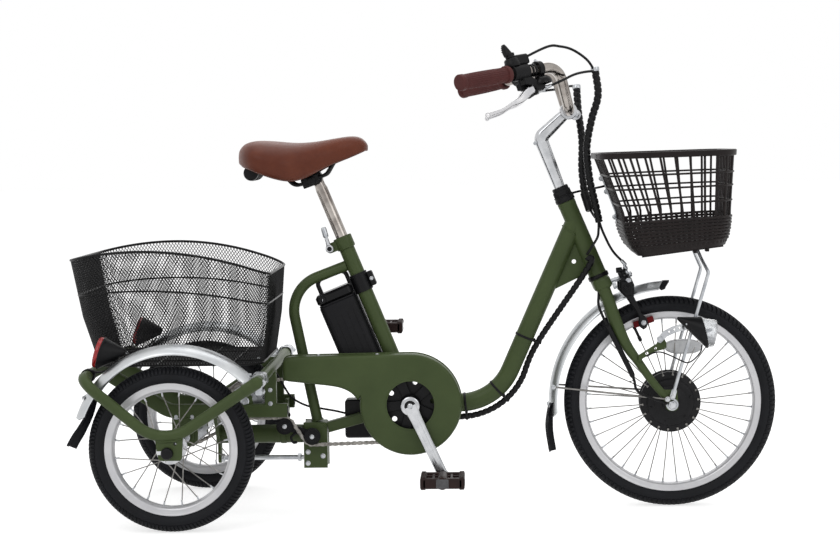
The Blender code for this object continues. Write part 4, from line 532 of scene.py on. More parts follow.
def machined(name, centre):
    """Aluminium with fine turning lines round an axle."""
    made = surface(
        name, srgb(214, 214, 216), srgb(203, 203, 206), 0.3, metallic=0.45, patch=25, grain=1600,
        relief=0.03, spread=0.03)
    tree = made.node_tree
    place, bump = tree.nodes["Texture Coordinate"], tree.nodes["Bump"]
    shift = new_node(tree, "Mapping", Location=-Vector(centre))
    rings = new_node(tree, "TexWave", Scale=260, Distortion=0.4)
    rings.wave_type, rings.rings_direction = "RINGS", "Y"
    tree.links.new(place.outputs["Object"], shift.inputs["Vector"])
    tree.links.new(shift.outputs["Vector"], rings.inputs["Vector"])
    tree.links.new(rings.outputs["Fac"], bump.inputs["Height"])
    return made


def at_angle(centre, angle, radius, y):
    """A point on a wheel: an angle from straight ahead, a radius and a place across."""
    return centre + Vector((radius * math.cos(angle), y, radius * math.sin(angle)))


def rim(name, centre, bead, depth, finish, spokes, valve, body, node):
    """A rim with its nipples and valve."""
    half = [
        (bead + 0.0014, 0.0124), (bead + 0.0016, 0.0134), (bead + 0.0008, 0.014), (bead - 0.0012, 0.0137),
        (bead - 0.002, 0.0131), (bead - 0.6 * depth, 0.013), (bead - 0.6 * depth - 0.001, 0.0126),
        (bead - 0.82 * depth, 0.0108), (bead - depth + 0.001, 0.0062), (bead - depth, 0.0042)]
    well = [(bead - 0.006, 0.003), (bead - 0.004, 0.01)]
    profile = [(r, -y) for r, y in half] + [(r, y) for r, y in half[::-1]]
    profile += [(r, y) for r, y in well[::-1]] + [(r, -y) for r, y in well]
    band = turned(profile, centre, LEFT, 144, ring=True)
    inner = bead - depth
    nipples = []
    for k in range(spokes):
        side = NIPPLE_Y if k % 2 else -NIPPLE_Y
        at = at_angle(centre, 2 * math.pi * (k + 0.5) / spokes, inner + 0.0004, side)
        nipples.append(turned([
            (0, 0), (0.0026, 0), (0.0026, 0.0008), (0.0019, 0.0012), (0.0017, 0.0085), (0.0012, 0.0095),
            (0, 0.0095)], at, centre + Vector((0, at.y - centre.y, 0)) - at, 8))
    foot = at_angle(centre, math.radians(valve), inner + 0.001, 0)
    stem = turned([
        (0, 0), (0.0042, 0), (0.0038, 0.004), (0.003, 0.006), (0.003, 0.024), (0.0038, 0.0245),
        (0.0038, 0.032), (0.003, 0.034), (0, 0.034)], foot, centre - foot, 14)
    shown(name, [(finish, band), (steel, joined(*nipples)), (black, stem)], body, node, slot="satin_alloy")


for word, centre in REAR_WHEELS:
    rim(
        word + "_rear_hoop", centre, 0.1297, 0.0168,
        machined(word + "_rim_alloy", centre), REAR_SPOKES, 45, word + "_rear_wheel", word + "_rear_rim")
rim(
    "front_hoop", FRONT_AXLE, 0.185, 0.015,
    machined("front_rim_alloy", FRONT_AXLE), FRONT_SPOKES, 115, "front_wheel", "front_rim")

# Rear hubs and spokes
# Turned aluminium hubs with drilled flanges and thin steel spokes, laced half tangential.
# The right hub is pinned to the axle and drives; the left one runs free on it.

alloy = surface(
    "polished_alloy", srgb(200, 201, 203), srgb(170, 172, 175), 0.2, metallic=1.0, patch=40, grain=1200,
    relief=0.05, depth=0.0002, spread=0.06)
spoke_steel = surface(
    "spoke_steel", srgb(140, 138, 135), srgb(106, 104, 102), 0.3, metallic=1.0, patch=80, grain=2000,
    relief=0.05, depth=0.0002)


def lacing(centre, count, hub_r, hub_y, rim_r, swing, head):
    """Spokes from the two flanges to the rim, each with its bent head."""
    wires = []
    for k in range(count):
        y = hub_y if k % 2 else -hub_y
        angle = 2 * math.pi * (k + 0.5) / count
        lean = swing if (k // 2) % 2 else -swing
        low = at_angle(centre, angle + lean, hub_r, y)
        high = at_angle(centre, angle, rim_r, NIPPLE_Y if k % 2 else -NIPPLE_Y)
        start = low + (high - low).normalized() * 0.002
        wires.append(tube([low, start, low.lerp(high, 0.5), high], 0.0012, 6))
        out = LEFT if k % 2 else -LEFT
        wires.append(turned([
            (0, -0.0005), (head, -0.0005), (head, 0.0008), (head * 0.6, 0.0017),
            (0, 0.002)], low + out * 0.0008, out, 10))
    return joined(*wires)


for word, centre in REAR_WHEELS:
    body_shape = turned([
        (0.0079, -0.03), (0.0125, -0.03), (0.0135, -0.029), (0.014, -0.0255), (0.0262, -0.0242),
        (0.027, -0.0236), (0.027, -0.0208), (0.0262, -0.0202), (0.0185, -0.019), (0.017, -0.0165),
        (0.0163, 0.0), (0.017, 0.0165), (0.0185, 0.019), (0.0262, 0.0202), (0.027, 0.0208),
        (0.027, 0.0236), (0.0262, 0.0242), (0.014, 0.0255), (0.0135, 0.029), (0.0125, 0.03),
        (0.0079, 0.03)], centre, LEFT, 56, ring=True)
    seals = joined(*(
        turned([
            (0.008, 0), (0.0118, 0), (0.0118, 0.0006),
            (0.008, 0.001)], centre + LEFT * s * 0.03, LEFT * s, 32, ring=True) for s in (-1, 1)))
    pin = hexagon_bolt(centre + Vector((0.0155, -0.008, 0)), (1, 0, 0), 0.007, 0.004, 0.0045)
    shown(
        word + "_rear_lacing",
        [
            (alloy, joined(body_shape, pin)), (black, seals),
            (spoke_steel, lacing(centre, REAR_SPOKES, 0.023, 0.0222, 0.1085, math.radians(48), 0.0018))],
        word + "_rear_wheel", word + "_rear_hub", slot="polished_alloy")

# Rear axle
# A 15 mm bright steel shaft right across the rear frame, with a 16-tooth sprocket keyed to it.
# Black end caps cover it at the dropouts.

PITCH = 0.0127


def toothed(teeth, low, high, at, bore):
    """A flat chain wheel of so many teeth."""
    pitch_r = PITCH / (2 * math.sin(math.pi / teeth))
    loop = []
    for k in range(teeth):
        for turn, reach in (
                (-0.5, -0.004), (-0.36, -0.0034), (-0.24, -0.0012), (-0.09, 0.0026), (0.09, 0.0026),
                (0.24, -0.0012), (0.36, -0.0034)):
            a = 2 * math.pi * (k + turn) / teeth
            loop.append((at[0] + (pitch_r + reach) * math.cos(a), at[1] + (pitch_r + reach) * math.sin(a)))
    return slab(loop, low, high, on_side, 0.0005, holes=[disc(bore, 28, *at)])


axle_bar = turned(lipped(0, 0.0062, 0.0073, 0.3, 0.299), REAR_AXLE, LEFT, 32)
axle_wheel = joined(
    toothed(16, 0.0338, 0.0362, (REAR_AXLE.x, REAR_AXLE.z), 0.0078),
    turned([
        (0.0074, 0.024), (0.015, 0.024), (0.016, 0.025), (0.016, 0.0336), (0.02, 0.0338), (0.02, 0.0364),
        (0.015, 0.0366), (0.014, 0.044), (0.0074, 0.044)], REAR_AXLE, LEFT, 36, ring=True),
    hexagon_bolt(REAR_AXLE + Vector((0.0155, 0.029, 0)), (1, 0, 0), 0.006, 0.004, 0.004))
axle_rings = joined(*(
    turned(lipped(0.0074, 0.012, 0.0128, 0.004, 0.003), REAR_AXLE + LEFT * y, LEFT, 28, ring=True)
    for y in (-0.088, 0.088, -0.196, 0.196)))
axle_caps = both(turned([
    (0, -0.0125), (0.0112, -0.0125), (0.0118, -0.0115), (0.0118, -0.005), (0.0108, -0.0025),
    (0.008, -0.0008), (0.004, -0.0002), (0, 0)], REAR_AXLE - LEFT * 0.3013, -LEFT, 32))
shown(
    "axle_shaft",
    [(steel, joined(axle_bar, axle_wheel, axle_rings)), (black, axle_caps)], "right_rear_wheel",
    "rear_axle", slot="bare_steel")

# Gear hub
# A three-speed hub turned from aluminium, held on its own axle between the two rails.
# A driver sprocket turns on its right end and an output sprocket is part of the shell.

gear_shell = joined(
    turned([
        (0.0056, -0.0415), (0.018, -0.0415), (0.0195, -0.04), (0.0195, -0.033), (0.025, -0.031),
        (0.026, -0.0295), (0.026, -0.0245), (0.0235, -0.0225), (0.0215, -0.015), (0.0212, 0.004),
        (0.0225, 0.014), (0.026, 0.018), (0.026, 0.023), (0.0235, 0.025), (0.02, 0.029), (0.02, 0.04),
        (0.017, 0.044), (0.015, 0.051), (0.0056, 0.0515)], GEAR, LEFT, 56, ring=True),
    toothed(16, 0.0338, 0.0362, (GEAR.x, GEAR.z), 0.019))
shown("gear_hub_body", [(alloy, gear_shell)], "gear_shell", "gear_hub_shell", slot="polished_alloy")
driver = joined(
    toothed(18, -0.0472, -0.0448, (GEAR.x, GEAR.z), 0.015),
    turned([
        (0.0058, -0.053), (0.014, -0.053), (0.016, -0.0515), (0.016, -0.0478), (0.0215, -0.0474),
        (0.0215, -0.0446), (0.016, -0.044), (0.015, -0.0422),
        (0.0058, -0.0422)], GEAR, LEFT, 40, ring=True))
shown("gear_driver_wheel", [(steel, driver)], "gear_driver", "gear_driver_sprocket", slot="bare_steel")

# Chains
# Half-inch roller chain: the long one from the chainring over two jockey pulleys to the gear hub,
# and a short one from the gear hub to the axle. Pressed steel plates on pins and rollers.

chain_steel = surface(
    "chain_steel", srgb(150, 147, 142), srgb(104, 101, 97), 0.34, metallic=1.0, patch=150, grain=1800,
    relief=0.08, depth=0.0002)
CRANK_X, CRANK_Z = -0.037, 0.222
FRONT_PULLEY, REAR_PULLEY = (-0.241, 0.1565), (-0.297, 0.1785)
PULLEY_R, CHAIN_Y = 0.0175, -0.046


def belt(wheels):
    """A closed line round wheels given as (x, z, radius, sense), sense +1 counter-clockwise."""
    n = len(wheels)
    leave, reach = [None] * n, [None] * n
    for i in range(n):
        x1, z1, r1, s1 = wheels[i]
        x2, z2, r2, s2 = wheels[(i + 1) % n]
        gap = Vector((x2 - x1, z2 - z1))
        a, b = r1 * s1, r2 * s2
        base = math.atan2(gap.y, gap.x)
        tilt = math.acos(max(-1, min(1, (a - b) / gap.length)))
        angle = base - tilt
        out = Vector((math.cos(angle), math.sin(angle)))
        leave[i] = Vector((x1, z1)) + out * a
        reach[(i + 1) % n] = Vector((x2, z2)) + out * b
    line = []
    for i in range(n):
        x, z, r, s = wheels[i]
        start = math.atan2(reach[i].y - z, reach[i].x - x)
        stop = math.atan2(leave[i].y - z, leave[i].x - x)
        sweep = (stop - start) * s % (2 * math.pi) * s
        k = max(2, int(abs(sweep) / 0.05))
        line += [
            Vector((x + r * math.cos(start + sweep * j / k), z + r * math.sin(start + sweep * j / k)))
            for j in range(k + 1)]
    return line


def paced(line, pitch):
    """Points a whole number of pitches apart round a closed line."""
    lengths = [0.0]
    loop = line + [line[0]]
    for a, b in zip(loop, loop[1:]):
        lengths.append(lengths[-1] + (b - a).length)
    count = 2 * round(lengths[-1] / pitch / 2)
    out, i = [], 0
    for k in range(count):
        want = lengths[-1] * k / count
        while lengths[i + 1] < want:
            i += 1
        t = (want - lengths[i]) / max(1e-9, lengths[i + 1] - lengths[i])
        out.append(loop[i].lerp(loop[i + 1], t))
    return out


def roller_chain(wheels, y):
    """Inner and outer plates in turn, with a roller and a pin at each joint."""
    pins = paced(belt(wheels), PITCH)
    parts = []
    for k, a in enumerate(pins):
        b = pins[(k + 1) % len(pins)]
        mid, way = (a + b) / 2, (b - a).normalized()
        up = Vector((-way.y, way.x))
        half = (b - a).length / 2
        outline = []
        for u, v in (
                (-half - 0.0036, 0), (-half - 0.0022, -0.0033), (-half + 0.0012, -0.0038), (0, -0.0027),
                (half - 0.0012, -0.0038), (half + 0.0022, -0.0033), (half + 0.0036, 0),
                (half + 0.0022, 0.0033), (half - 0.0012, 0.0038), (0, 0.0027), (-half + 0.0012, 0.0038),
                (-half - 0.0022, 0.0033)):
            outline.append(tuple(mid + way * u + up * v))
        near = 0.0015 if k % 2 else 0.0025
        for s in (-1, 1):
            low, high = sorted((y + s * near, y + s * (near + 0.001)))
            parts.append(slab(outline, low, high, on_side, 0.0002))
        at = Vector((a.x, y, a.y))
        parts.append(turned(rod(0.0036, -0.0014, 0.0014), at, LEFT, 10))
        parts.append(turned(rod(0.0017, -0.0039, 0.0039), at, LEFT, 8))
    return joined(*parts)


drive = shown(
    "drive_chain_links",
    [(
        chain_steel,
        roller_chain([
            (CRANK_X, CRANK_Z, 0.0769, -1), (*FRONT_PULLEY, PULLEY_R, -1), (*REAR_PULLEY, PULLEY_R, 1),
            (GEAR.x, GEAR.z, 0.0366, -1)], CHAIN_Y))], None, "drive_chain", slot="bare_steel", sharp=50)
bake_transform(drive)
shown(
    "axle_chain_links",
    [(
        chain_steel,
        roller_chain([(GEAR.x, GEAR.z, 0.03255, -1), (REAR_AXLE.x, REAR_AXLE.z, 0.03255, -1)], 0.035))],
    "rear_frame", "axle_chain", slot="bare_steel", sharp=50)

# Rear fenders
# Rolled aluminium sheet with turned-down edges, riveted to a tab on the cross tube.
# A creased black mud flap is screwed to the lower rear end of each.

satin = surface(
    "satin_alloy", srgb(203, 205, 206), srgb(183, 186, 189), 0.34, metallic=1.0, patch=18, grain=1400,
    relief=0.1, depth=0.0002, spread=0.06, stretch=(1, 0.25, 1))


def arched(centre, radius, first, last, wide, depth, thick, steps, ends=0.3, rake=0.0, fade=6):
    """A fender: a domed strip rolled round a wheel, corners cut round, edges turned in, front raked."""
    rows = []
    across = [-1.0, -0.985, -0.93, -0.8, -0.6, -0.3, 0, 0.3, 0.6, 0.8, 0.93, 0.985, 1.0]
    for k in range(steps + 1):
        t = k / steps
        angle = math.radians(first + (last - first) * t)
        gap = min(t, 1 - t) * math.radians(abs(last - first)) * radius
        trim = 1 - ends * max(0.0, 1 - gap / 0.012) ** 2
        row = []
        for skin in (0, 1):
            for u in (across if skin == 0 else across[::-1]):
                drop = depth * abs(u * trim) ** 2.4
                lip = 0.0016 if abs(u) > 0.99 else (0.0006 if abs(u) > 0.98 else 0)
                r = radius - drop - lip * (1 if skin else 0.3) - (thick if skin else 0)
                turn = math.radians(rake) * abs(u * trim) ** 2 * (1 - t) ** fade
                row.append(at_angle(
                    centre, angle + turn, r,
                    u * trim * wide / 2 - (0.001 * u if skin and abs(u) > 0.9 else 0)))
        rows.append(row)
    return walled(rows)


def smooth(points, per_span=8):
    """A path that runs smoothly through points."""
    p = [Vector(q) for q in points]
    p = [2 * p[0] - p[1], *p, 2 * p[-1] - p[-2]]
    out = []
    for a, b, c, d in zip(p, p[1:], p[2:], p[3:]):
        for k in range(per_span):
            t = k / per_span
            flow = 2 * b + (c - a) * t + (2 * a - 5 * b + 4 * c - d) * t * t
            out.append(0.5 * (flow + (3 * b - a - 3 * c + d) * t ** 3))
    return out + [p[-2]]


def flap(path, wide, narrow, thick, crease):
    """A mud flap that hangs along a path, a little narrower below, with lengthwise creases."""
    path = smooth(path, 6)
    rows = []
    for i, p in enumerate(path):
        t = i / (len(path) - 1)
        half = (wide + (narrow - wide) * t) / 2 * (1 if t < 0.94 else 1 - 0.22 * ((t - 0.94) / 0.06) ** 2)
        way = (path[min(i + 1, len(path) - 1)] - path[max(i - 1, 0)]).normalized()
        out = way.cross(LEFT).normalized()
        row = []
        for skin in (0, 1):
            for k in (range(13) if skin == 0 else range(12, -1, -1)):
                u = -1 + k / 6
                fold = crease * (math.cos(u * math.pi * 2.0) * 0.5 - abs(u) ** 2 * 1.6) * min(1, 0.4 + t)
                row.append(p + LEFT * (u * half) + out * (fold + (thick / 2 if skin else -thick / 2)))
        rows.append(row)
    return walled(rows)


FLAP_SCREW, TAB_RIVET = (0.006, 0.003, 0.0042), (0.007, 0.003, 0.005)
for word, centre in REAR_WHEELS:
    arch = centre + Vector((0.009, 0, 0.001))
    sheet = arched(arch, 0.2055, 41, 162, 0.056, 0.016, 0.0014, 76)
    tip = at_angle(arch, math.radians(41), 0.205, 0)
    tab = swept(
        smooth([
            at_angle(arch, math.radians(46), 0.2035, 0),
            at_angle(arch, math.radians(41.5), 0.203, 0), tip + Vector((0.008, 0, -0.012)),
            (CROSS.x - 0.013, centre.y, CROSS.z - 0.002)], 5), oblong(0.022, 0.0022, 0.0009), side=LEFT)
    flap_line = [(-0.647, 0.26), (-0.6568, 0.2324), (-0.6725, 0.2029), (-0.685, 0.183), (-0.6932, 0.1684)]
    rubber_flap = flap([Vector((x, centre.y, z)) for x, z in flap_line], 0.05, 0.04, 0.0022, 0.01)
    screws = joined(*(
        hexagon_bolt(
            at_angle(arch, math.radians(turn), 0.2052, y),
            at_angle(Vector(), math.radians(turn), 1.0, 0), *sizes)
        for turn, y, sizes in ((150, -0.011, FLAP_SCREW), (150, 0.011, FLAP_SCREW), (44, 0.0, TAB_RIVET))))
    strap = swept(
        bent([
            (CROSS.x - 0.014, centre.y, CROSS.z + 0.004), (CROSS.x - 0.012, centre.y, CROSS.z + 0.0128),
            (CROSS.x + 0.012, centre.y, CROSS.z + 0.0128),
            (CROSS.x + 0.014, centre.y, CROSS.z - 0.006)], [0.008, 0.011]), oblong(0.022, 0.0018, 0.0008),
        side=LEFT)
    shown(
        word + "_rear_mudguard",
        [(satin, joined(sheet, tab)), (steel, joined(screws, strap)), (rubber, rubber_flap)], "rear_frame",
        word + "_rear_fender", slot="satin_alloy")

# Rear reflectors
# A red prismatic disc in a black moulded cone, one on each side under the basket's rear edge.
# Its foot is bolted to the hoop's rear tube.


def lens(name, tint, deep, transmission, cells):
    """Moulded plastic with small prisms behind a smooth face."""
    made = surface(name, tint, deep, 0.12, patch=60, grain=400, relief=0.0, spread=0.03, coat=0.6)
    tree = made.node_tree
    filled(tree.nodes["Principled BSDF"], Transmission_Weight=transmission, IOR=1.49)
    bump = filled(tree.nodes["Bump"], Strength=0.5, Distance=0.0012)
    prisms = new_node(tree, "TexVoronoi", Scale=cells, Randomness=0.0)
    tree.links.new(tree.nodes["Texture Coordinate"].outputs["Object"], prisms.inputs["Vector"])
    tree.links.new(prisms.outputs["Distance"], bump.inputs["Height"])
    return made


red_lens = lens("red_lens", srgb(196, 24, 28), srgb(150, 12, 16), 0.1, 320)
REFLECTOR_LEAN = math.radians(16.8)
face_up = Vector((math.sin(REFLECTOR_LEAN), 0, math.cos(REFLECTOR_LEAN)))
face_way = Vector((-math.cos(REFLECTOR_LEAN), 0, math.sin(REFLECTOR_LEAN)))


def ring_at(centre, up, radius):
    """A circle whose plane holds the sideways direction and a given upward one."""
    return [centre + (up * math.cos(a) + LEFT * math.sin(a)) * radius for a in turns(56)]


SIDES = (("right", -1), ("left", 1))
for word, s in SIDES:
    at = Vector((-0.636, s * 0.212, 0.351))
    apex = Vector((-0.5925, s * 0.212, 0.3515))
    cup_rows = [
        ring_at(apex - face_way * 0.001, face_up, 0.0006),
        ring_at(apex - face_way * 0.001, face_up, 0.0066)]
    cup_rows += [ring_at(apex.lerp(at, k / 6), face_up, 0.0078 + (0.031 - 0.0078) * k / 6) for k in range(7)]
    cup_rows += [
        ring_at(at + face_way * f, face_up, r)
        for f, r in ((0.0012, 0.0322), (0.0032, 0.0324), (0.004, 0.0316), (0.004, 0.0006))]
    cup = walled(cup_rows)
    face = walled([
        ring_at(at + face_way * f, face_up, r)
        for f, r in (
            (0.0036, 0.0006), (0.0036, 0.031), (0.005, 0.0314), (0.0104, 0.031), (0.0122, 0.0296),
            (0.013, 0.016), (0.0132, 0.0006))])
    arm_line = smooth([
        (-0.6585, at.y, 0.3175), (-0.648, at.y, 0.314), (-0.63, at.y, 0.3165), (-0.612, at.y, 0.329),
        (-0.604, at.y, 0.3375)], 5)
    foot = joined(
        swept(arm_line, oblong(0.015, 0.003, 0.0012), side=LEFT),
        turned(lipped(0.0113, 0.0136, 0.014, 0.008, 0.007), (-0.666, at.y, 0.307), LEFT, 32, ring=True))
    screw = hexagon_bolt((-0.6798, at.y, 0.307), (-1, 0, 0), 0.007, 0.004, 0.005)
    shown(
        word + "_tail_reflector",
        [(black, joined(cup, foot)), (red_lens, face), (steel, screw)], "rear_frame", word + "_reflector",
        slot="red_lens")

# Rear basket
# Expanded steel mesh in diamonds, black coated, spot-welded to a round rim wire, a ring wire
# two thirds of the way up and a frame under the floor. It sits on the rails, held by bolted straps.

coated = surface(
    "black_wire", srgb(18, 18, 20), srgb(12, 12, 13), 0.36, patch=40, grain=1500, relief=0.12,
    depth=0.0003)
BASKET = [
    (0.0, (-0.662, -0.33, 0.158, 0.045, 0.0)), (0.45, (-0.69, -0.318, 0.18, 0.055, 0.006)),
    (1.0, (-0.7112, -0.311, 0.188, 0.058, 0.018))]
BASKET_FLOOR = 0.3185
REAR_SHARES = (0.063, 0.191)
RIM_REAR, RIM_FRONT = (-0.7115, 0.5307), (-0.309, 0.499)
RIM_RISE = 0.136


def basket_rim(x):
    """Height of the rear basket's rim, which rises in a bow between its rear and front ends."""
    t = (x - RIM_REAR[0]) / (RIM_FRONT[0] - RIM_REAR[0])
    return RIM_REAR[1] + (RIM_FRONT[1] - RIM_REAR[1]) * t + RIM_RISE * t * (1 - t) * 0.97


def round_plan(plan, s, arc, long):
    """A point round a rounded rectangle, s from 0 to 1 by its corners' and long sides' shares."""
    x_low, x_high, half, corner, bulge = plan
    spans = [arc, long, arc, 0.5 - 2 * arc - long] * 2
    k = 0
    s = s % 1.0
    while s > spans[k] and k < 7:
        s -= spans[k]
        k += 1
    t = min(1.0, s / spans[k])
    hubs = [
        (x_high - corner, half - corner), (x_low + corner, half - corner),
        (x_low + corner, -half + corner), (x_high - corner, -half + corner)]
    if k % 2 == 0:
        a = math.pi / 2 * (k // 2 + t)
        cx, cy = hubs[k // 2]
        return cx + corner * math.cos(a), cy + corner * math.sin(a)
    a = math.pi / 2 * (k // 2 + 1)
    (x0, y0), (x1, y1) = hubs[k // 2], hubs[(k // 2 + 1) % 4]
    swell = bulge * (1 - (2 * t - 1) ** 2) if k in (1, 5) else 0
    return (x0 + (x1 - x0) * t + corner * math.cos(a), y0 + (y1 - y0) * t + (corner + swell) * math.sin(a))


def rear_wall(s, v):
    """A point on the rear basket's wall, v from the floor to the rim."""
    for (v0, p0), (v1, p1) in zip(BASKET, BASKET[1:]):
        if v <= v1 or v1 == 1.0:
            t = (v - v0) / (v1 - v0)
            x0, y0 = round_plan(p0, s, *REAR_SHARES)
            x1, y1 = round_plan(p1, s, *REAR_SHARES)
            x, y = x0 + (x1 - x0) * t, y0 + (y1 - y0) * t
            break
    return Vector((x, y, BASKET_FLOOR + v * (basket_rim(x) - BASKET_FLOOR)))


STRAND_ROWS, STRAND_COUNT = 46, 220
strands = []
for family in (-1, 1):
    for k in range(STRAND_COUNT):
        line = [
            rear_wall((k + 0.5 * family * j) / STRAND_COUNT, j / STRAND_ROWS)
            for j in range(STRAND_ROWS + 1)]
        strands.append(swept(line, [(0.00074, 0), (0, 0.0007), (-0.00074, 0), (0, -0.0007)]))
floor_x, floor_y = (-0.66, -0.332), 0.156
FLOOR_PITCH, FLOOR_CORNER = 0.0074, 0.043
for family in (-1, 1):
    for k in range(-40, 90):
        a = Vector((floor_x[0] + k * FLOOR_PITCH, -family * floor_y, BASKET_FLOOR + 0.0006))
        b = a + Vector((2 * floor_y * 0.86, family * 2 * floor_y, 0))
        cut = []
        for i in range(41):
            p = a.lerp(b, i / 40)
            inset = max(0.0, abs(p.y) - (floor_y - FLOOR_CORNER))
            reach = FLOOR_CORNER - math.sqrt(max(0.0, FLOOR_CORNER ** 2 - inset ** 2))
            if floor_x[0] + reach <= p.x <= floor_x[1] - reach:
                cut.append(p)
        if len(cut) > 1:
            strands.append(swept([cut[0], cut[-1]], [(0.0009, 0), (0, 0.0007), (-0.0009, 0), (0, -0.0007)]))


def basket_ring(v, out, radius):
    """A wire right round the basket."""
    return tube([rear_wall(k / 160, v) + Vector((0, 0, out)) for k in range(160)], radius, 12, closed=True)


wires = joined(
    basket_ring(1.0, 0.0, 0.0026), basket_ring(0.66, 0.0, 0.0019), basket_ring(0.0, 0.0012, 0.0024),
    *(
        tube([(x, y, BASKET_FLOOR + 0.0022) for y in (-0.158, 0, 0.158)], 0.002, 10)
        for x in (-0.6, -0.54, -0.45, -0.39)),
    *(
        tube([(x, y, BASKET_FLOOR + 0.0022) for x in (-0.661, -0.5, -0.331)], 0.002, 10)
        for y in (-0.085, 0.085)))
straps = joined(*(
    block((x - 0.01, s * RAIL_Y - 0.012, 0.3162), (x + 0.01, s * RAIL_Y + 0.012, 0.319), 0.002, 0.0006)
    for x in (-0.645, -0.345) for s in (-1, 1)))
strap_bolts = joined(*(
    hexagon_bolt((x, s * RAIL_Y, 0.319), (0, 0, 1), 0.008, 0.005, 0.007) for x in (-0.645, -0.345)
    for s in (-1, 1)))
shown(
    "rear_mesh_basket",
    [(coated, joined(*strands)), (coated, wires), (coated, straps), (steel, strap_bolts)], "rear_frame",
    "rear_basket", slot="black_wire", sharp=60)

# Main tube
# The low step-through tube, bent from the head tube down to the crank shell and welded to both,
# with a drilled gusset plate behind the head tube. Steel, painted olive.

HEAD_UP, HEAD_AHEAD = Vector((-0.39073, 0, 0.9205)), Vector((0.9205, 0, 0.39073))
STEER_FOOT = FRONT_AXLE - 0.0315 * HEAD_AHEAD
CRANK = Vector((CRANK_X, 0, CRANK_Z))


def steer(ahead, y, up):
    """A point given along the steering axis: ahead of it, to the left, and up from the fork's foot."""
    return STEER_FOOT + ahead * HEAD_AHEAD + y * LEFT + up * HEAD_UP


def bead(path, radius):
    """A weld: a slightly lumpy round bead along a path."""
    path = [Vector(p) for p in path]
    return tube(
        path, radius, 8,
        scales=[1 + 0.14 * math.sin(2.3 * k) for k in range(len(path))], closed=True)


main_join, main_knee = steer(0, 0, 0.418), Vector((0.1365, 0, 0.214))
main_line = bent([main_join, main_knee, CRANK + Vector((0.014, 0, 0))], [0.2], 4)
head_tube = turned([
    (0.0142, 0.293), (0.018, 0.293), (0.019, 0.2945), (0.019, 0.302), (0.0185, 0.304), (0.0185, 0.452),
    (0.019, 0.454), (0.019, 0.4615), (0.018, 0.463), (0.0142, 0.463)], STEER_FOOT, HEAD_UP, 48, ring=True)
main_way = (main_knee - main_join).normalized()
gusset_ends = [main_join + main_way * 0.165, steer(0, 0, 0.311), main_join + main_way * 0.02]
hole_at = 0.24 * gusset_ends[0] + 0.4 * gusset_ends[1] + 0.36 * gusset_ends[2]
gusset = slab(
    [(p.x, p.z) for p in gusset_ends], -0.004, 0.004, on_side, 0.0012,
    holes=[disc(0.0046, 24, hole_at.x, hole_at.z)])
crank_shell = turned(lipped(0.009, 0.02, 0.021, 0.034, 0.033), CRANK, LEFT, 48, ring=True)
shell_cups = both(turned([
    (0.009, 0), (0.0185, 0), (0.0185, 0.0016), (0.0165, 0.0026),
    (0.009, 0.0026)], CRANK - LEFT * 0.0338, -LEFT, 36, ring=True))
around_head = []
for a in turns(40):
    spot = main_join + main_way * (0.0215 + 0.004 * math.cos(a))
    side_way = main_way.cross(LEFT)
    around_head.append(spot + LEFT * 0.0194 * math.sin(a) + side_way * 0.0194 * math.cos(a))
shown(
    "step_through_tube",
    [
        (olive, joined(tube(main_line, 0.019, 40), head_tube, gusset, crank_shell)),
        (olive, bead(around_head, 0.0016)), (steel, shell_cups)], "front_frame", "main_tube",
    slot="olive_paint")

# Seat tube and its clamp
# A straight steel tube with a split collar; two ears behind it are drawn together by a quick lever.
# The tube is olive, the lever and its bolt are bright.

SEAT_UP, SEAT_BACK = Vector((-0.37622, 0, 0.92653)), Vector((-0.92653, 0, -0.37622))


def seat(back, y, up):
    """A point given along the seat tube: behind it, to the left, and up from the crank."""
    return CRANK + back * SEAT_BACK + y * LEFT + up * SEAT_UP


def on_seat(u, v, level):
    """Plates square to the seat tube: u backwards, v up, level to the left."""
    return seat(u, level, v)


seat_pipe = turned([
    (0.0132, 0.022), (0.0159, 0.022), (0.0159, 0.3435), (0.0185, 0.3445), (0.0195, 0.346), (0.0195, 0.368),
    (0.0188, 0.37), (0.0132, 0.37)], CRANK, SEAT_UP, 44, ring=True)
ears = both(slab(oblong(0.03, 0.02, 0.008, u=0.0245, v=0.357), -0.011, -0.002, on_seat, 0.0012))
clamp_bolt = joined(
    turned(rod(0.003, 0, 0.03), seat(0.031, -0.0155, 0.357), LEFT, 16),
    hexagon_bolt(seat(0.031, 0.011, 0.357), (0, 1, 0), 0.009, 0.005, 0.0065))
shown(
    "seat_pipe",
    [(olive, joined(seat_pipe, ears)), (steel, clamp_bolt)], "front_frame", "seat_tube",
    slot="olive_paint")
pivot = seat(0.031, -0.0225, 0.357)
lever_eye = turned(lipped(0.0034, 0.007, 0.008, 0.006, 0.005), pivot, LEFT, 32, ring=True)
lever_pin = turned([
    (0, -0.0075), (0.0046, -0.0075), (0.005, -0.0065), (0.0032, -0.006), (0.0032, 0.006),
    (0, 0.006)], pivot, LEFT, 20)
lever_up = Vector((-0.27, 0, 0.963))
lever_blade = swept(
    smooth([
        pivot + lever_up * 0.004, pivot + 0.013 * lever_up - 0.002 * LEFT,
        pivot + 0.024 * lever_up - 0.003 * LEFT, pivot + 0.03 * lever_up - 0.002 * LEFT], 6),
    oblong(0.0066, 0.008, 0.003, 4),
    scales=[1.25 - 0.35 * math.sin(math.pi * k / 36) for k in range(19)], side=LEFT)
lever_knob = turned([
    (0, 0.025), (0.0046, 0.025), (0.0056, 0.0263), (0.006, 0.029), (0.0057, 0.043), (0.0048, 0.0462),
    (0, 0.0472)], pivot - 0.002 * LEFT, lever_up, 24)
shown(
    "quick_lever",
    [(alloy, joined(lever_eye, lever_blade)), (black, lever_pin), (steel, lever_knob)], "seat_lever",
    "seat_clamp_lever", slot="polished_alloy")

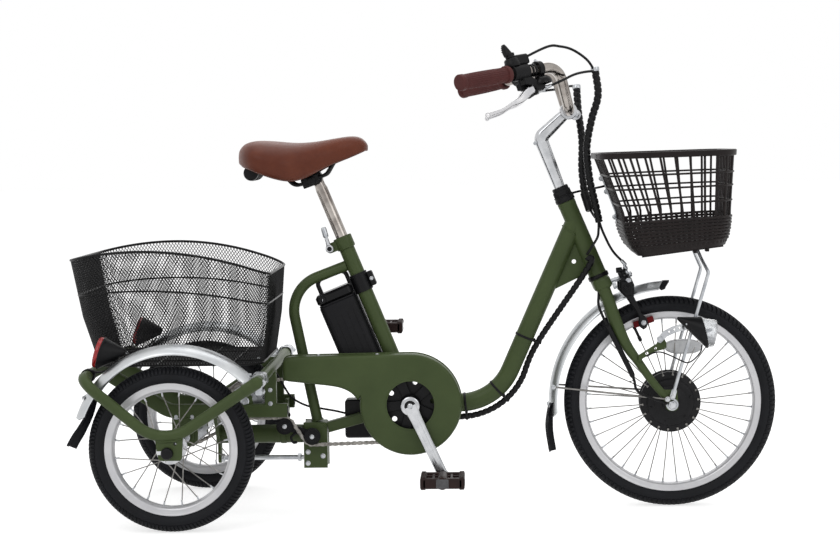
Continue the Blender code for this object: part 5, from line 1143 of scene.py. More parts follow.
# Rear arch and chain stay
# A 22 mm tube bent from the seat tube over the battery and down to the swing bracket, and a flat-sided
# stay from the crank shell to the same bracket. Steel, welded at both ends and painted olive.

arch_join, arch_knee = seat(0, 0, 0.311), Vector((-0.289, 0, 0.4595))
arch_start = arch_join + (arch_knee - arch_join).normalized() * 0.0148
arch = tube(bent([arch_start, arch_knee, (-0.2335, 0, 0.1834)], [0.095], 4), 0.011, 30)
arch_foot = turned([
    (0.011, 0), (0.0135, 0), (0.0125, 0.0022),
    (0.011, 0.0034)], (-0.2336, 0, 0.1834), (-0.2, 0, 0.98), 32, ring=True)
shown("arch_tube", [(olive, joined(arch, arch_foot))], "front_frame", "rear_arch", slot="olive_paint")
stay_end = Vector((-0.2112, 0, 0.1694))
stay_start = CRANK + Vector((-0.0195, 0, -0.0115))
shown(
    "flat_stay",
    [(
        olive,
        swept([
            stay_start, stay_start.lerp(stay_end, 0.5),
            stay_end], oblong(0.03, 0.022, 0.006, 5), side=LEFT))], "front_frame", "chain_stay",
    slot="olive_paint")

# Swing bracket
# A welded steel box at the rear end of the front frame; its shaft turns in the long housing, so the
# front of the tricycle can lean. Three bolts on the right clamp the chain guide.

bracket_box = joined(
    block((-0.26, -0.0235, 0.088), (-0.2126, 0.0235, 0.182), 0.004, 0.002),
    both(slab([
        (-0.2608, 0.0875), (-0.2118, 0.0875), (-0.2118, 0.17), (-0.224, 0.1825),
        (-0.2608, 0.1825)], -0.0262, -0.0228, on_side, 0.0009)))
bracket_bolts = joined(
    *(
        hexagon_bolt((x, -0.026, z), (0, -1, 0), 0.007, 0.0042, 0.0052)
        for x, z in ((-0.2525, 0.0975), (-0.221, 0.1125), (-0.252, 0.121))),
    *(
        hexagon_bolt((x, 0.026, z), (0, 1, 0), 0.009, 0.005, 0.0068)
        for x, z in ((-0.2525, 0.098), (-0.2205, 0.098), (-0.2365, 0.121))))
swing_shaft = turned([
    (0, 0), (0.0115, 0), (0.0118, 0.001), (0.0118, 0.156),
    (0, 0.156)], (-0.416, 0, SWING_Z), (1, 0, 0), 32)
shown(
    "swing_block",
    [(olive, bracket_box), (steel, joined(bracket_bolts, swing_shaft))], "front_frame", "swing_bracket",
    slot="olive_paint")

# Motor controller
# A moulded black box beside the stay that holds the motor's electronics, finned on its outer face.
# Two clips hold it, and its leads leave through glands at the front.

control = joined(
    block((-0.1775, 0.0156, 0.1425), (-0.0925, 0.053, 0.2235), 0.007, 0.003),
    *(
        block((-0.17 + 0.0125 * k, 0.0525, 0.15), (-0.166 + 0.0125 * k, 0.0572, 0.216), 0.0018, 0.001)
        for k in range(7)),
    *(
        turned([
            (0, 0), (0.0065, 0), (0.0065, 0.004), (0.005, 0.005), (0.0045, 0.01),
            (0, 0.01)], (-0.0928, 0.035, z), (1, 0, 0), 20) for z in (0.165, 0.185, 0.205)))
shown("control_unit", [(black, control)], "front_frame", "controller_box", slot="black_plastic")

# Chain case
# A deep-drawn steel cover over the chainring and the upper chain run, olive, its rim rolled round.
# It is open behind, has a round hole for the crank, and hangs on a bracket from the seat tube.

CASE_R, CASE_STEPS = 0.104, 66
case_angles = [math.radians(92 - k * 281.4 / CASE_STEPS) for k in range(CASE_STEPS + 1)]
CASE_RIM = [(CRANK.x + CASE_R * math.cos(a), CRANK.z + CASE_R * math.sin(a)) for a in case_angles]
tail = [
    (CRANK.x - 0.108, CRANK.z + 0.01), (CRANK.x - 0.121, CRANK.z + 0.0245),
    (CRANK.x - 0.14, CRANK.z + 0.0345), (CRANK.x - 0.165, CRANK.z + 0.04), (-0.24, 0.2665),
    (-0.286, 0.272)]
case_line = CASE_RIM + [(p.x, p.z) for p in smooth([(x, 0, z) for x, z in tail], 5)]
case_line += [
    (p.x, p.z)
    for p in bent([
        (-0.287, 0, 0.2722), (-0.2985, 0, 0.2745), (-0.2985, 0, 0.3215),
        (-0.268, 0, 0.3235)], [0.009, 0.014], 15)[1:]]


def drawn(outline, hole, rows, thick):
    """A pressed cover: rows of (inset, level) from its open back to its face, with a hole in the face."""
    verts, faces = [], []
    skins = []
    for skin in (0, 1):
        starts = []
        for inset, y in rows:
            starts.append(len(verts))
            verts += [Vector((u, y + skin * thick, v)) for u, v in offset(outline, inset + skin * thick)]
        m = len(outline)
        for a, b in zip(starts, starts[1:]):
            faces += [(a + k, a + (k + 1) % m, b + (k + 1) % m, b + k) for k in range(m)]
        rim_start = len(verts)
        verts += [Vector((u, rows[-1][1] + skin * thick, v)) for u, v in hole]
        ids = list(range(starts[-1], starts[-1] + m)) + list(range(rim_start, rim_start + len(hole)))
        flat = [[Vector((verts[i].x, verts[i].z, 0)) for i in ids[:m]], [Vector((u, v, 0)) for u, v in hole]]
        faces += [tuple(ids[k] for k in tri) for tri in geometry.tessellate_polygon(flat)]
        skins.append((starts[0], rim_start))
    for a, b, count in ((skins[0][0], skins[1][0], len(outline)), (skins[0][1], skins[1][1], len(hole))):
        faces += [(a + k, a + (k + 1) % count, b + (k + 1) % count, b + k) for k in range(count)]
    return verts, faces


case_hole = disc(0.049, 72, CRANK.x, CRANK.z)
case_shell = drawn(
    case_line, case_hole,
    [
        (0.0, -0.03), (0.0, -0.056), (0.0005, -0.0585), (0.0017, -0.0608), (0.0035, -0.0624),
        (0.006, -0.0632), (0.0085, -0.0635)], 0.0016)
hole_lip = turned([
    (0.0488, 0), (0.0512, 0), (0.0518, 0.001), (0.0506, 0.002),
    (0.0488, 0.002)], CRANK - LEFT * 0.0628, -LEFT, 72, ring=True)
edge_roll = tube([(u, -0.031, v) for u, v in offset(case_line, -0.0004)], 0.0014, 8, closed=True)
case_hanger = joined(
    block((-0.0745, -0.0345, 0.283), (-0.0575, -0.0308, 0.3235), 0.002, 0.0008),
    block((-0.0725, -0.032, 0.285), (-0.0595, -0.0163, 0.297), 0.002, 0.0008))
case_screws = joined(
    hexagon_bolt((-0.066, -0.0346, 0.3065), (0, -1, 0), 0.007, 0.004, 0.005),
    *(
        turned([
            (0, 0), (0.0042, 0), (0.0042, 0.0008), (0.003, 0.0022),
            (0, 0.0026)], (x, -0.046, z), (0, 0, 1), 20) for x, z in ((-0.105, 0.3249), (-0.225, 0.3238))))
shown(
    "chain_cover",
    [(olive, joined(case_shell, hole_lip, edge_roll, case_hanger)), (steel, case_screws)], "front_frame",
    "chain_case", slot="olive_paint")

# Chain guide
# Two black nylon pulleys on a flat steel arm that is bolted to the swing bracket.
# They lead the lower run of the long chain past the swing shaft and keep it tight.

front_pulley, rear_pulley = (Vector((x, CHAIN_Y, z)) for x, z in (FRONT_PULLEY, REAR_PULLEY))
guide_way = (rear_pulley - front_pulley).normalized()
guide_up = Vector((-guide_way.z, 0, guide_way.x))
guide_mid = (front_pulley + rear_pulley) / 2


def on_guide(u, v, level):
    """Plates of the chain guide: u backwards along it, v square to that, level to the left."""
    p = guide_mid + guide_way * u + guide_up * v
    return p.x, level, p.z


guide_arm = joined(
    slab(oblong(0.086, 0.017, 0.008, 6), -0.0393, -0.0357, on_guide, 0.0007),
    slab(oblong(0.018, 0.034, 0.007, 5, u=0.036, v=-0.012), -0.0389, -0.0361, on_guide, 0.0006),
    turned(rod(0.0085, 0, 0.0105), (front_pulley.x, -0.0367, front_pulley.z), LEFT, 24))
guide_hook = swept(
    smooth([
        on_guide(0.004, 0.006, -0.04), on_guide(0.01, 0.018, -0.042), on_guide(0.002, 0.026, -0.044),
        on_guide(-0.005, 0.0225, -0.045)], 6), oblong(0.006, 0.005, 0.0018, 3), side=LEFT)
guide_wheels, guide_screws = [], []
for at in (front_pulley, rear_pulley):
    guide_wheels.append(turned([
        (0.0032, -0.0064), (0.01, -0.0064), (0.0104, -0.0052), (0.0155, -0.0052), (0.0162, -0.0064),
        (0.017, -0.0062), (0.017, -0.0046), (0.0135, -0.0036), (0.0135, 0.0036), (0.017, 0.0046),
        (0.017, 0.0062), (0.0032, 0.0066)], at, LEFT, 44, ring=True))
    for a in turns(6):
        out = Vector((math.cos(a), 0, math.sin(a)))
        guide_wheels.append(swept([
            at + out * 0.0095 - LEFT * 0.0056,
            at + out * 0.0158 - LEFT * 0.0056], oblong(0.0016, 0.0022, 0.0004, 2), side=LEFT))
    guide_screws.append(hexagon_bolt(at - LEFT * 0.0063, (0, -1, 0), 0.0066, 0.0042, 0.0046))
shown(
    "chain_guide",
    [(black, joined(guide_arm, guide_hook, *guide_wheels)), (steel, joined(*guide_screws))], "front_frame",
    "chain_tensioner", slot="black_plastic")

# Chainring and cranks
# A 38-tooth ring on a black five-arm spider, and two forged aluminium crank arms polished bright.
# Hexagon bolts hold the arms on a square-ended steel spindle.

CRANK_ANGLE, CRANK_LENGTH = math.radians(-65.5), 0.158
chainring_at = (CRANK.x, CRANK.z)
ARMS = 5
arm_angles = [CRANK_ANGLE + 2 * math.pi * (k + 0.5) / ARMS for k in range(ARMS)]
spider = []
for a in arm_angles:
    c, s = math.cos(a), math.sin(a)
    spider.append(slab([
        (CRANK.x + r * c - w * s, CRANK.z + r * s + w * c)
        for r, w in (
            (0.012, -0.01), (0.03, -0.0098), (0.056, -0.012), (0.064, -0.008), (0.064, 0.008),
            (0.056, 0.012), (0.03, 0.0098), (0.012, 0.01))], -0.0505, -0.047, on_side, 0.0009))
backing = slab(
    disc(0.0612, 72, CRANK.x, CRANK.z), -0.0446, -0.043, on_side, 0.0005,
    holes=[disc(0.017, 32, CRANK.x, CRANK.z)] + [
        disc(0.0052, 16, CRANK.x + 0.0455 * math.cos(a), CRANK.z + 0.0455 * math.sin(a))
        for a in (CRANK_ANGLE + 2 * math.pi * k / ARMS for k in range(ARMS))])
ring_bolts = joined(*(
    turned(
        [(0, 0), (0.0046, 0), (0.0046, 0.001), (0.0034, 0.0018), (0, 0.0018)],
        CRANK + Vector((0.0605 * math.cos(a), -0.0504, 0.0605 * math.sin(a))), -LEFT, 18)
    for a in arm_angles))
boss = turned([
    (0.0095, -0.0686), (0.0175, -0.0686), (0.0185, -0.067), (0.02, -0.052), (0.0215, -0.05),
    (0.0215, -0.0462), (0.0095, -0.0455)], CRANK, LEFT, 40, ring=True)
shown(
    "chain_wheel",
    [
        (chain_steel, toothed(38, -0.0472, -0.0448, chainring_at, 0.0555)),
        (black, joined(*spider, boss, backing)), (steel, ring_bolts)], "crank_set", "chainring",
    slot="bare_steel")
for word, s in SIDES:
    turn = CRANK_ANGLE if s < 0 else CRANK_ANGLE + math.pi
    out = Vector((math.cos(turn), 0, math.sin(turn)))
    root, tip = CRANK + LEFT * (s * 0.076), CRANK + out * CRANK_LENGTH + LEFT * (s * 0.076)
    stations = [0.0, 0.06, 0.14, 0.3, 0.5, 0.7, 0.86, 0.95, 1.0]
    sizes = [1.22, 1.15, 1.04, 0.96, 0.9, 0.86, 0.84, 0.86, 0.88]
    arm_shape = swept([
        root.lerp(tip, t) for t in stations], oblong(0.014, 0.0255, 0.0048, 5), scales=sizes, side=LEFT)
    groove = swept(
        [root.lerp(tip, t) + LEFT * s * y for t, y in ((0.2, 0.0062), (0.5, 0.0058), (0.82, 0.0053))],
        oblong(0.0022, 0.009, 0.001, 3), scales=[1, 0.9, 0.8], side=LEFT)
    hub_boss = turned([
        (0, -0.007), (0.0175, -0.007), (0.019, -0.0058), (0.019, 0.0056), (0.0172, 0.007),
        (0.0118, 0.0072), (0.0112, 0.006), (0, 0.006)], root, LEFT * s, 44)
    eye_boss = turned(lipped(0, 0.0115, 0.0126, 0.006, 0.005), tip, LEFT * s, 36)
    cap = turned([
        (0, 0), (0.0058, 0), (0.0058, 0.0012), (0.0042, 0.0026), (0.0018, 0.003),
        (0, 0.0024)], root + LEFT * s * 0.0072, LEFT * s, 24)
    recess = turned([
        (0, 0), (0.0116, 0), (0.0116, 0.001), (0.0098, 0.0016),
        (0, 0.0016)], root + LEFT * s * 0.0058, LEFT * s, 36)
    pin = turned([
        (0, 0.004), (0.0085, 0.004), (0.0085, 0.0095), (0.006, 0.0098), (0.006, 0.089), (0.0048, 0.09),
        (0, 0.09)], tip, LEFT * s, 24)
    layers = [
        (alloy, joined(arm_shape, hub_boss, eye_boss, groove)), (steel, joined(cap, pin)), (black, recess)]
    if s < 0:
        layers.append((steel, turned(rod(0.0085, -0.069, 0.0686), CRANK, LEFT, 24)))
    shown(word + "_crank_arm", layers, "crank_set", word + "_crank", slot="polished_alloy")

# Pedals
# Moulded dark brown platforms with ribbed edges that run on the crank pins.
# A smoky grey reflector is set in the front and the rear face of each.

resin = surface(
    "brown_resin", srgb(50, 34, 32), srgb(38, 26, 25), 0.46, patch=30, grain=1100, relief=0.2,
    depth=0.0003)
smoky = lens("smoky_lens", srgb(92, 92, 95), srgb(60, 60, 63), 0.1, 300)
for word, s in SIDES:
    turn = CRANK_ANGLE if s < 0 else CRANK_ANGLE + math.pi
    hub = at_angle(CRANK, turn, CRANK_LENGTH, 0)
    near, far = 0.0915, 0.1705
    low, high = sorted((s * near, s * far))
    mid_y = s * (near + far) / 2
    shapes = []
    for e in (-1, 1):
        x0, x1 = sorted((hub.x + e * 0.0445, hub.x + e * 0.0325))
        shapes.append(block((x0, low, hub.z - 0.0115), (x1, high, hub.z + 0.0115), 0.004, 0.002))
        for k in range(9):
            y = low + 0.006 + k * 0.0084
            shapes.append(block(
                (x0 + 0.0012, y - 0.002, hub.z - 0.0128), (x1 - 0.0012, y + 0.002, hub.z + 0.0128), 0.0015,
                0.0008))
        yl, yh = (low, low + 0.01) if e < 0 else (high - 0.01, high)
        shapes.append(block(
            (hub.x - 0.04, yl, hub.z - 0.0105), (hub.x + 0.04, yh, hub.z + 0.0105), 0.006, 0.002))
        xr = hub.x + e * 0.018
        shapes.append(block(
            (xr - 0.0022, low + 0.004, hub.z - 0.0085), (xr + 0.0022, high - 0.004, hub.z + 0.0085), 0.001,
            0.0008))
    shapes.append(turned([
        (0.0066, near), (0.0115, near), (0.0125, near + 0.002), (0.011, (near + far) / 2),
        (0.0125, far - 0.002), (0.0115, far), (0.0066, far)], hub, LEFT * s, 32, ring=True))
    for y in (mid_y - 0.014, mid_y + 0.014):
        shapes.append(block(
            (hub.x - 0.036, y - 0.002, hub.z - 0.008), (hub.x + 0.036, y + 0.002, hub.z + 0.008), 0.001,
            0.0008))
    low_y, high_y = sorted((s * (far - 0.001), s * (far + 0.0026)))
    end_cap = block(
        (hub.x - 0.0125, low_y, hub.z - 0.0095), (hub.x + 0.0125, high_y, hub.z + 0.0095), 0.002, 0.0008)
    reflectors = joined(*(
        slab(
            oblong(0.052, 0.0135, 0.002, 3, u=mid_y, v=hub.z), hub.x + e * 0.0438 - 0.0012,
            hub.x + e * 0.0438 + 0.0012, on_face, 0.0006) for e in (-1, 1)))
    shown(
        word + "_pedal_platform",
        [(resin, joined(*shapes)), (smoky, joined(reflectors, end_cap))], word + "_pedal_unit",
        word + "_pedal", slot="brown_resin")

# Battery and its rail
# A moulded black pack with a glossier cap, a carry handle and a key lock, slid on a plastic rail.
# The rail is strapped to the seat tube by a ribbed collar and has a shelf that carries the contacts.

matte_black = surface(
    "battery_shell", srgb(25, 25, 28), srgb(18, 18, 20), 0.52, patch=22, grain=1500, relief=0.35,
    depth=0.0004)
gloss_black = surface(
    "battery_cap", srgb(19, 19, 21), srgb(12, 12, 14), 0.26, patch=30, grain=900, relief=0.05)


def upright_box(back, y, up, corner, edge):
    """A box square to the seat tube with round upright corners."""
    loop = oblong(back[1] - back[0], y[1] - y[0], corner, 5, (back[0] + back[1]) / 2, (y[0] + y[1]) / 2)
    return slab(loop, up[0], up[1], seat, edge)


pack = joined(
    upright_box((0.0205, 0.0995), (-0.0265, 0.0485), (0.0775, 0.252), 0.013, 0.003),
    upright_box((0.0205, 0.0985), (-0.0255, 0.0475), (0.251, 0.2545), 0.012, 0.0006),
    *(
        upright_box(
            (0.033 + 0.013 * k, 0.0355 + 0.013 * k), (-0.027, 0.049), (0.098, 0.225), 0.0008, 0.0006)
        for k in range(5)))
pack_cap = upright_box((0.0203, 0.0999), (-0.0269, 0.0489), (0.2542, 0.2768), 0.013, 0.005)
handle = swept(
    bent([
        seat(0.0242, 0.026, 0.27), seat(0.0242, 0.026, 0.305), seat(0.088, 0.026, 0.305),
        seat(0.088, 0.026, 0.27)], [0.012, 0.012], 8), oblong(0.0125, 0.009, 0.0035, 4), side=LEFT)
key_face = turned([
    (0.0034, 0), (0.0074, 0), (0.0078, 0.0008), (0.007, 0.0022), (0.0034, 0.0022),
    (0.003, 0.001)], seat(0.0855, -0.0268, 0.2655), -LEFT, 28, ring=True)
key_at = seat(0.0855, 0, 0.2655)
key_slot = block(
    (key_at.x - 0.0006, -0.0285, key_at.z - 0.0026), (key_at.x + 0.0006, -0.0268, key_at.z + 0.0026),
    0.0003, 0.0002)
shown(
    "battery_case",
    [(matte_black, pack), (gloss_black, joined(pack_cap, handle, key_face)), (steel, key_slot)],
    "battery_pack", "battery", slot="black_plastic")
rail_parts = joined(
    slab(oblong(0.0026, 0.228, 0.0008, 2, 0.0187, 0.17), -0.015, 0.015, on_seat, 0.0005),
    upright_box((0.0165, 0.0995), (-0.0295, 0.0295), (0.0505, 0.0762), 0.01, 0.003),
    upright_box((0.0165, 0.09), (-0.031, 0.031), (0.056, 0.06), 0.01, 0.0008),
    turned(
        [(0.0163, 0.2485), (0.0188, 0.2485), (0.0194, 0.2495)] + [
            (0.0194 - (0.0009 if k % 2 else 0), 0.251 + 0.0031 * k)
            for k in range(12)] + [(0.0194, 0.287), (0.0188, 0.288), (0.0163, 0.288)], CRANK, SEAT_UP, 40,
        ring=True),
    upright_box((-0.0295, -0.0172), (-0.0125, 0.0125), (0.2525, 0.2835), 0.004, 0.002))
rail_screws = joined(*(
    hexagon_bolt(seat(-0.024, y, 0.268), LEFT * (1 if y > 0 else -1), 0.006, 0.0035, 0.004)
    for y in (-0.0124, 0.0124)))
shown(
    "battery_mount",
    [(black, rail_parts), (steel, rail_screws)], "front_frame", "battery_rail", slot="black_plastic")

# Seat post
# A chromed steel post, necked at its top, that slides in the seat tube.
# A black clamp holds the two saddle rails, which are bent from black steel rod.

chrome = surface(
    "chrome_plate", srgb(176, 170, 164), srgb(124, 117, 112), 0.11, metallic=1.0, patch=34, grain=1500,
    relief=0.03, depth=0.0002, spread=0.05)
post = turned([
    (0, 0.15), (0.0118, 0.15), (0.0127, 0.1515), (0.0127, 0.476), (0.0122, 0.48), (0.0112, 0.484),
    (0.011, 0.496), (0, 0.496)], CRANK, SEAT_UP, 40)
marks = joined(*(
    turned([
        (0.0126, 0), (0.0128, 0.0002), (0.0128, 0.0008),
        (0.0126, 0.001)], seat(0, 0, 0.385 + 0.012 * k), SEAT_UP, 32, ring=True) for k in range(2)))
SADDLE_REAR, SADDLE_LONG = -0.385, 0.266
SADDLE_TOP = [
    (0.0, 0.742), (0.04, 0.756), (0.1, 0.763), (0.18, 0.765), (0.3, 0.763), (0.45, 0.7595), (0.6, 0.7615),
    (0.75, 0.7676), (0.87, 0.7716), (0.94, 0.7692), (0.98, 0.761), (1.0, 0.7535)]
SADDLE_SKIRT = [
    (0.0, 0.72), (0.05, 0.712), (0.12, 0.7045), (0.2, 0.696), (0.3, 0.687), (0.4, 0.6815), (0.48, 0.683),
    (0.56, 0.6915), (0.65, 0.7045), (0.75, 0.7165), (0.85, 0.7268), (0.94, 0.7368), (1.0, 0.744)]


def eased(table, t):
    """A value read from a table of (t, value), smoothly."""
    for k in range(len(table) - 1):
        if t <= table[k + 1][0] or k == len(table) - 2:
            (t0, a), (t1, b) = table[k], table[k + 1]
            before, after = table[max(k - 1, 0)], table[min(k + 2, len(table) - 1)]
            m0 = (b - before[1]) / (t1 - before[0])
            m1 = (after[1] - a) / (after[0] - t0)
            u, h = (t - t0) / (t1 - t0), t1 - t0
            leave = (2 * u ** 3 - 3 * u * u + 1) * a + (u ** 3 - 2 * u * u + u) * h * m0
            return leave + (3 * u * u - 2 * u ** 3) * b + (u ** 3 - u * u) * h * m1


def saddle_shape(x):
    """Half width, top and skirt height of the saddle at a distance along it."""
    t = (x - SADDLE_REAR) / SADDLE_LONG
    k = min(max((t - 0.3) / 0.5, 0), 1)
    width = 0.036 + 0.072 * (1 - k * k * (3 - 2 * k))
    rear_round = math.sqrt(max(1 - (1 - min(t / 0.2, 1)) ** 2, 0.04))
    nose_round = math.sqrt(max(1 - max((t - 0.9) / 0.1, 0) ** 2, 0.06))
    return width * rear_round * nose_round, eased(SADDLE_TOP, t), eased(SADDLE_SKIRT, t)


def saddle_underside(x):
    """Height of the saddle's pan above the rails."""
    _, top, skirt = saddle_shape(x)
    return skirt + 0.55 * (top - skirt) - 0.006


CLAMP_AT, CLAMP_TILT = Vector((-0.2355, 0, 0.6835)), math.radians(21)
clamp_along = Vector((math.cos(CLAMP_TILT), 0, math.sin(CLAMP_TILT)))
clamp_over = Vector((-math.sin(CLAMP_TILT), 0, math.cos(CLAMP_TILT)))


def at_clamp(u, v, level):
    """Plates of the saddle clamp: u forwards along the rails, v over them, level to the left."""
    return CLAMP_AT + clamp_along * u + clamp_over * v + LEFT * level


rails = []
for s in (-1, 1):
    rear_x, nose_x = -0.318, -0.178
    rails.append(tube(
        bent([
            (rear_x, s * 0.028, saddle_underside(rear_x) - 0.0028),
            at_clamp(-0.036, -0.001, s * 0.0245),
            at_clamp(0.033, -0.001, s * 0.0205),
            (nose_x, s * 0.008, saddle_underside(nose_x) - 0.0028)], [0.018, 0.016]), 0.0036, 14))
clamp_plan = [
    (-0.0215, -0.012), (0.013, -0.013), (0.02, -0.009), (0.0225, 0.002), (0.0205, 0.012), (-0.017, 0.0125),
    (-0.022, 0.006)]
clamp_cheek = [
    (-0.0175, -0.0095), (0.009, -0.01), (0.0155, -0.006), (0.0165, 0.008), (-0.014, 0.009),
    (-0.0185, 0.003)]
cradle = joined(
    slab(clamp_plan, -0.018, 0.018, at_clamp, 0.003),
    both(slab(clamp_cheek, -0.03, -0.0175, at_clamp, 0.002)),
    both(turned([
        (0, 0), (0.0085, 0), (0.0092, 0.001), (0.0092, 0.003), (0.0075, 0.0042),
        (0, 0.0042)], at_clamp(-0.001, -0.0005, -0.0298), -LEFT, 28)),
    both(hexagon_bolt(at_clamp(-0.001, -0.0005, -0.0338), -LEFT, 0.01, 0.005, 0.007)))
shown(
    "seat_pillar",
    [(chrome, joined(post, marks)), (black, joined(cradle, *rails))], "seat_unit", "seat_post",
    slot="chrome_plate")

# Saddle
# Brown leather drawn over foam on a moulded pan, broad behind and narrow at the nose, its skirt turned
# under and stitched. Below it are the black pan, the rear bumper and the rubber springs.

leather = surface(
    "brown_leather", srgb(116, 62, 44), srgb(98, 50, 36), 0.4, patch=16, grain=620, relief=0.22,
    depth=0.0005, spread=0.06)
tree = leather.node_tree
pores = new_node(tree, "TexVoronoi", Scale=900)
tree.links.new(tree.nodes["Texture Coordinate"].outputs["Object"], pores.inputs["Vector"])
tree.links.new(pores.outputs["Distance"], tree.nodes["Bump"].inputs["Height"])


def saddle_rows(stations):
    """Rings across the saddle, over its top, round both skirts and through the hollow between them."""
    rows = []
    for k in range(stations):
        share = k / (stations - 1)
        share -= 0.035 * math.sin(4 * math.pi * share)
        x = SADDLE_REAR + SADDLE_LONG * share
        w, top, skirt = saddle_shape(x)
        under = saddle_underside(x)
        tall = top - skirt
        half = [
            (0.0, top), (0.18 * w, top - 0.003 * tall), (0.34 * w, top - 0.018 * tall),
            (0.5 * w, top - 0.046 * tall), (0.66 * w, top - 0.1 * tall), (0.79 * w, top - 0.18 * tall),
            (0.89 * w, top - 0.29 * tall), (0.97 * w, top - 0.43 * tall), (w, top - 0.57 * tall),
            (0.985 * w, skirt + 0.22 * tall), (0.945 * w, skirt + 0.07 * tall), (0.88 * w, skirt),
            (0.78 * w, skirt + 0.04 * tall), (0.66 * w, under - 0.006), (0.3 * w, under)]
        ring = half + [(0.0, under)] + [(-y, z) for y, z in half[:0:-1]]
        rows.append([Vector((x, y, z)) for y, z in ring])
    return rows


cover = shown(
    "leather_saddle",
    [(leather, walled(saddle_rows(27)))], "seat_unit", "saddle", slot="brown_leather", sharp=180)
rounded = cover.modifiers.new("rounded", "SUBSURF")
rounded.levels = rounded.render_levels = 2
hem_line = []
for s in (-1, 1):
    span = [(-0.372 + 0.245 * k / 40) for k in range(41)]
    for x in (span if s < 0 else span[::-1]):
        w, top, skirt = saddle_shape(x)
        hem_line.append(Vector((x, s * 0.84 * w, skirt + 0.0016)))
hem = tube(hem_line, 0.0014, 8, closed=True)
pan = swept(
    [(x, 0, saddle_underside(x) - 0.0022) for x in (-0.362, -0.33, -0.29, -0.25, -0.21, -0.17, -0.14)],
    oblong(0.11, 0.004, 0.0015, 3),
    scales=[0.6, 0.9, 1.0, 0.92, 0.66, 0.4, 0.26], side=LEFT)
bumper = joined(
    turned([
        (0, -0.052), (0.0125, -0.052), (0.015, -0.05), (0.0158, -0.044), (0.015, -0.04), (0.015, 0.04),
        (0.0158, 0.044), (0.015, 0.05), (0.0125, 0.052), (0, 0.052)], (-0.356, 0, 0.699), LEFT, 36),
    *(
        turned([
            (0.015, -0.0016), (0.0162, -0.001), (0.0162, 0.001),
            (0.015, 0.0016)], (-0.356, y, 0.699), LEFT, 36, ring=True)
        for y in (-0.03, -0.018, -0.006, 0.006, 0.018, 0.03)),
    both(block(
        (-0.365, -0.034, 0.704), (-0.347, -0.022, saddle_underside(-0.356) - 0.001), 0.003, 0.0015)))
shown("saddle_pan", [(black, joined(pan, bumper)), (leather, hem)], "seat_unit", slot="black_plastic")

# Fork
# Two raked and tapered blades on a forged crown, with the steerer that turns in the head tube.
# Flat tips carry the fixed motor axle, which bright nuts and washers hold. Olive, black crown race.
# The motor's lead runs down in a sheath behind the right blade.

AXLE_LOOP = [
    (-0.012, -0.009), (-0.006, -0.0135), (0.006, -0.0135), (0.012, -0.009), (0.0125, 0.004), (0.01, 0.03),
    (-0.022, 0.03), (-0.0135, 0.004)]
BLADE = [
    (0, 0.0385, 0.283, 0.98), (-0.003, 0.0395, 0.24, 1.02), (-0.0066, 0.0415, 0.195, 1.04),
    (-0.0054, 0.0445, 0.149, 0.88), (0.0036, 0.048, 0.1045, 0.7), (0.014, 0.0525, 0.056, 0.64),
    (0.0315, 0.056, 0.0, 0.6)]
blades, tips, nuts = [], [], []
for s in (-1, 1):
    line = smooth([steer(f, s * y, up) for f, y, up, _ in BLADE], 8)
    sizes = [p.x for p in smooth([(size, 0, 0) for *_, size in BLADE], 8)]
    blades.append(tube(line, 0.0128, 26, scales=sizes))
    low, high = sorted((s * 0.053, s * 0.059))
    tips.append(slab(moved(AXLE_LOOP, FRONT_AXLE.x, FRONT_AXLE.z), low, high, on_side, 0.0009))
    spot = FRONT_AXLE + LEFT * s * 0.0588
    nuts.append(joined(
        turned([(0, 0), (0.0125, 0), (0.0125, 0.0014), (0, 0.0016)], spot, LEFT * s, 32),
        turned([
            (0, 0.0012), (0.0098, 0.0012), (0.0098, 0.0075), (0.0085, 0.0092),
            (0, 0.0092)], spot, LEFT * s, 6),
        turned([
            (0, 0.009), (0.006, 0.009), (0.006, 0.0118), (0.0046, 0.013),
            (0, 0.0132)], spot, LEFT * s, 24)))
crown = joined(
    slab(oblong(0.038, 0.104, 0.0165, 7), 0.2692, 0.2925, steer, 0.004),
    turned([
        (0.0128, 0.2915), (0.019, 0.2915), (0.019, 0.2928),
        (0.0128, 0.2928)], STEER_FOOT, HEAD_UP, 40, ring=True))
steerer = turned(rod(0.0127, 0.27, 0.4955), STEER_FOOT, HEAD_UP, 36)
front_pin = turned(rod(0.006, -0.06, 0.06), FRONT_AXLE, LEFT, 24)
lower_cup = turned([
    (0.0142, 0.2905), (0.0205, 0.2905), (0.0218, 0.292), (0.0218, 0.2985), (0.0208, 0.3), (0.0192, 0.3003),
    (0.0142, 0.3003)], STEER_FOOT, HEAD_UP, 44, ring=True)
motor_lead = smooth([
    steer(-0.01, -0.034, 0.274), steer(-0.0175, -0.04, 0.26), (0.349, -0.048, 0.42),
    (0.3584, -0.052, 0.3951), (0.3692, -0.052, 0.3746), (0.3912, -0.053, 0.3293), (0.4113, -0.055, 0.2881),
    (0.4193, -0.057, 0.2675), (0.4293, -0.06, 0.2428), steer(0.023, -0.064, 0.006)], 8)
sheath = smooth([
    (0.3672, -0.052, 0.3785), (0.3692, -0.052, 0.3746), (0.3912, -0.053, 0.3293), (0.4113, -0.055, 0.2881),
    (0.417, -0.0565, 0.2735)], 8)
bands = [
    tube(motor_lead, 0.0028, 12),
    tube(
        sheath, 0.0056, 18,
        scales=[min(1, 0.72 + 0.09 * min(k, len(sheath) - 1 - k)) for k in range(len(sheath))]), lower_cup,
    swept([
        (0.4193, -0.06, 0.269), (0.414, -0.061, 0.2665),
        (0.4085, -0.061, 0.2655)], oblong(0.0034, 0.0014, 0.0006, 2), side=LEFT)]
shown(
    "fork_blades",
    [
        (olive, joined(*blades, *tips, crown)), (steel, joined(*nuts, front_pin, steerer)),
        (black, joined(*bands))], "steering", "fork", slot="olive_paint")

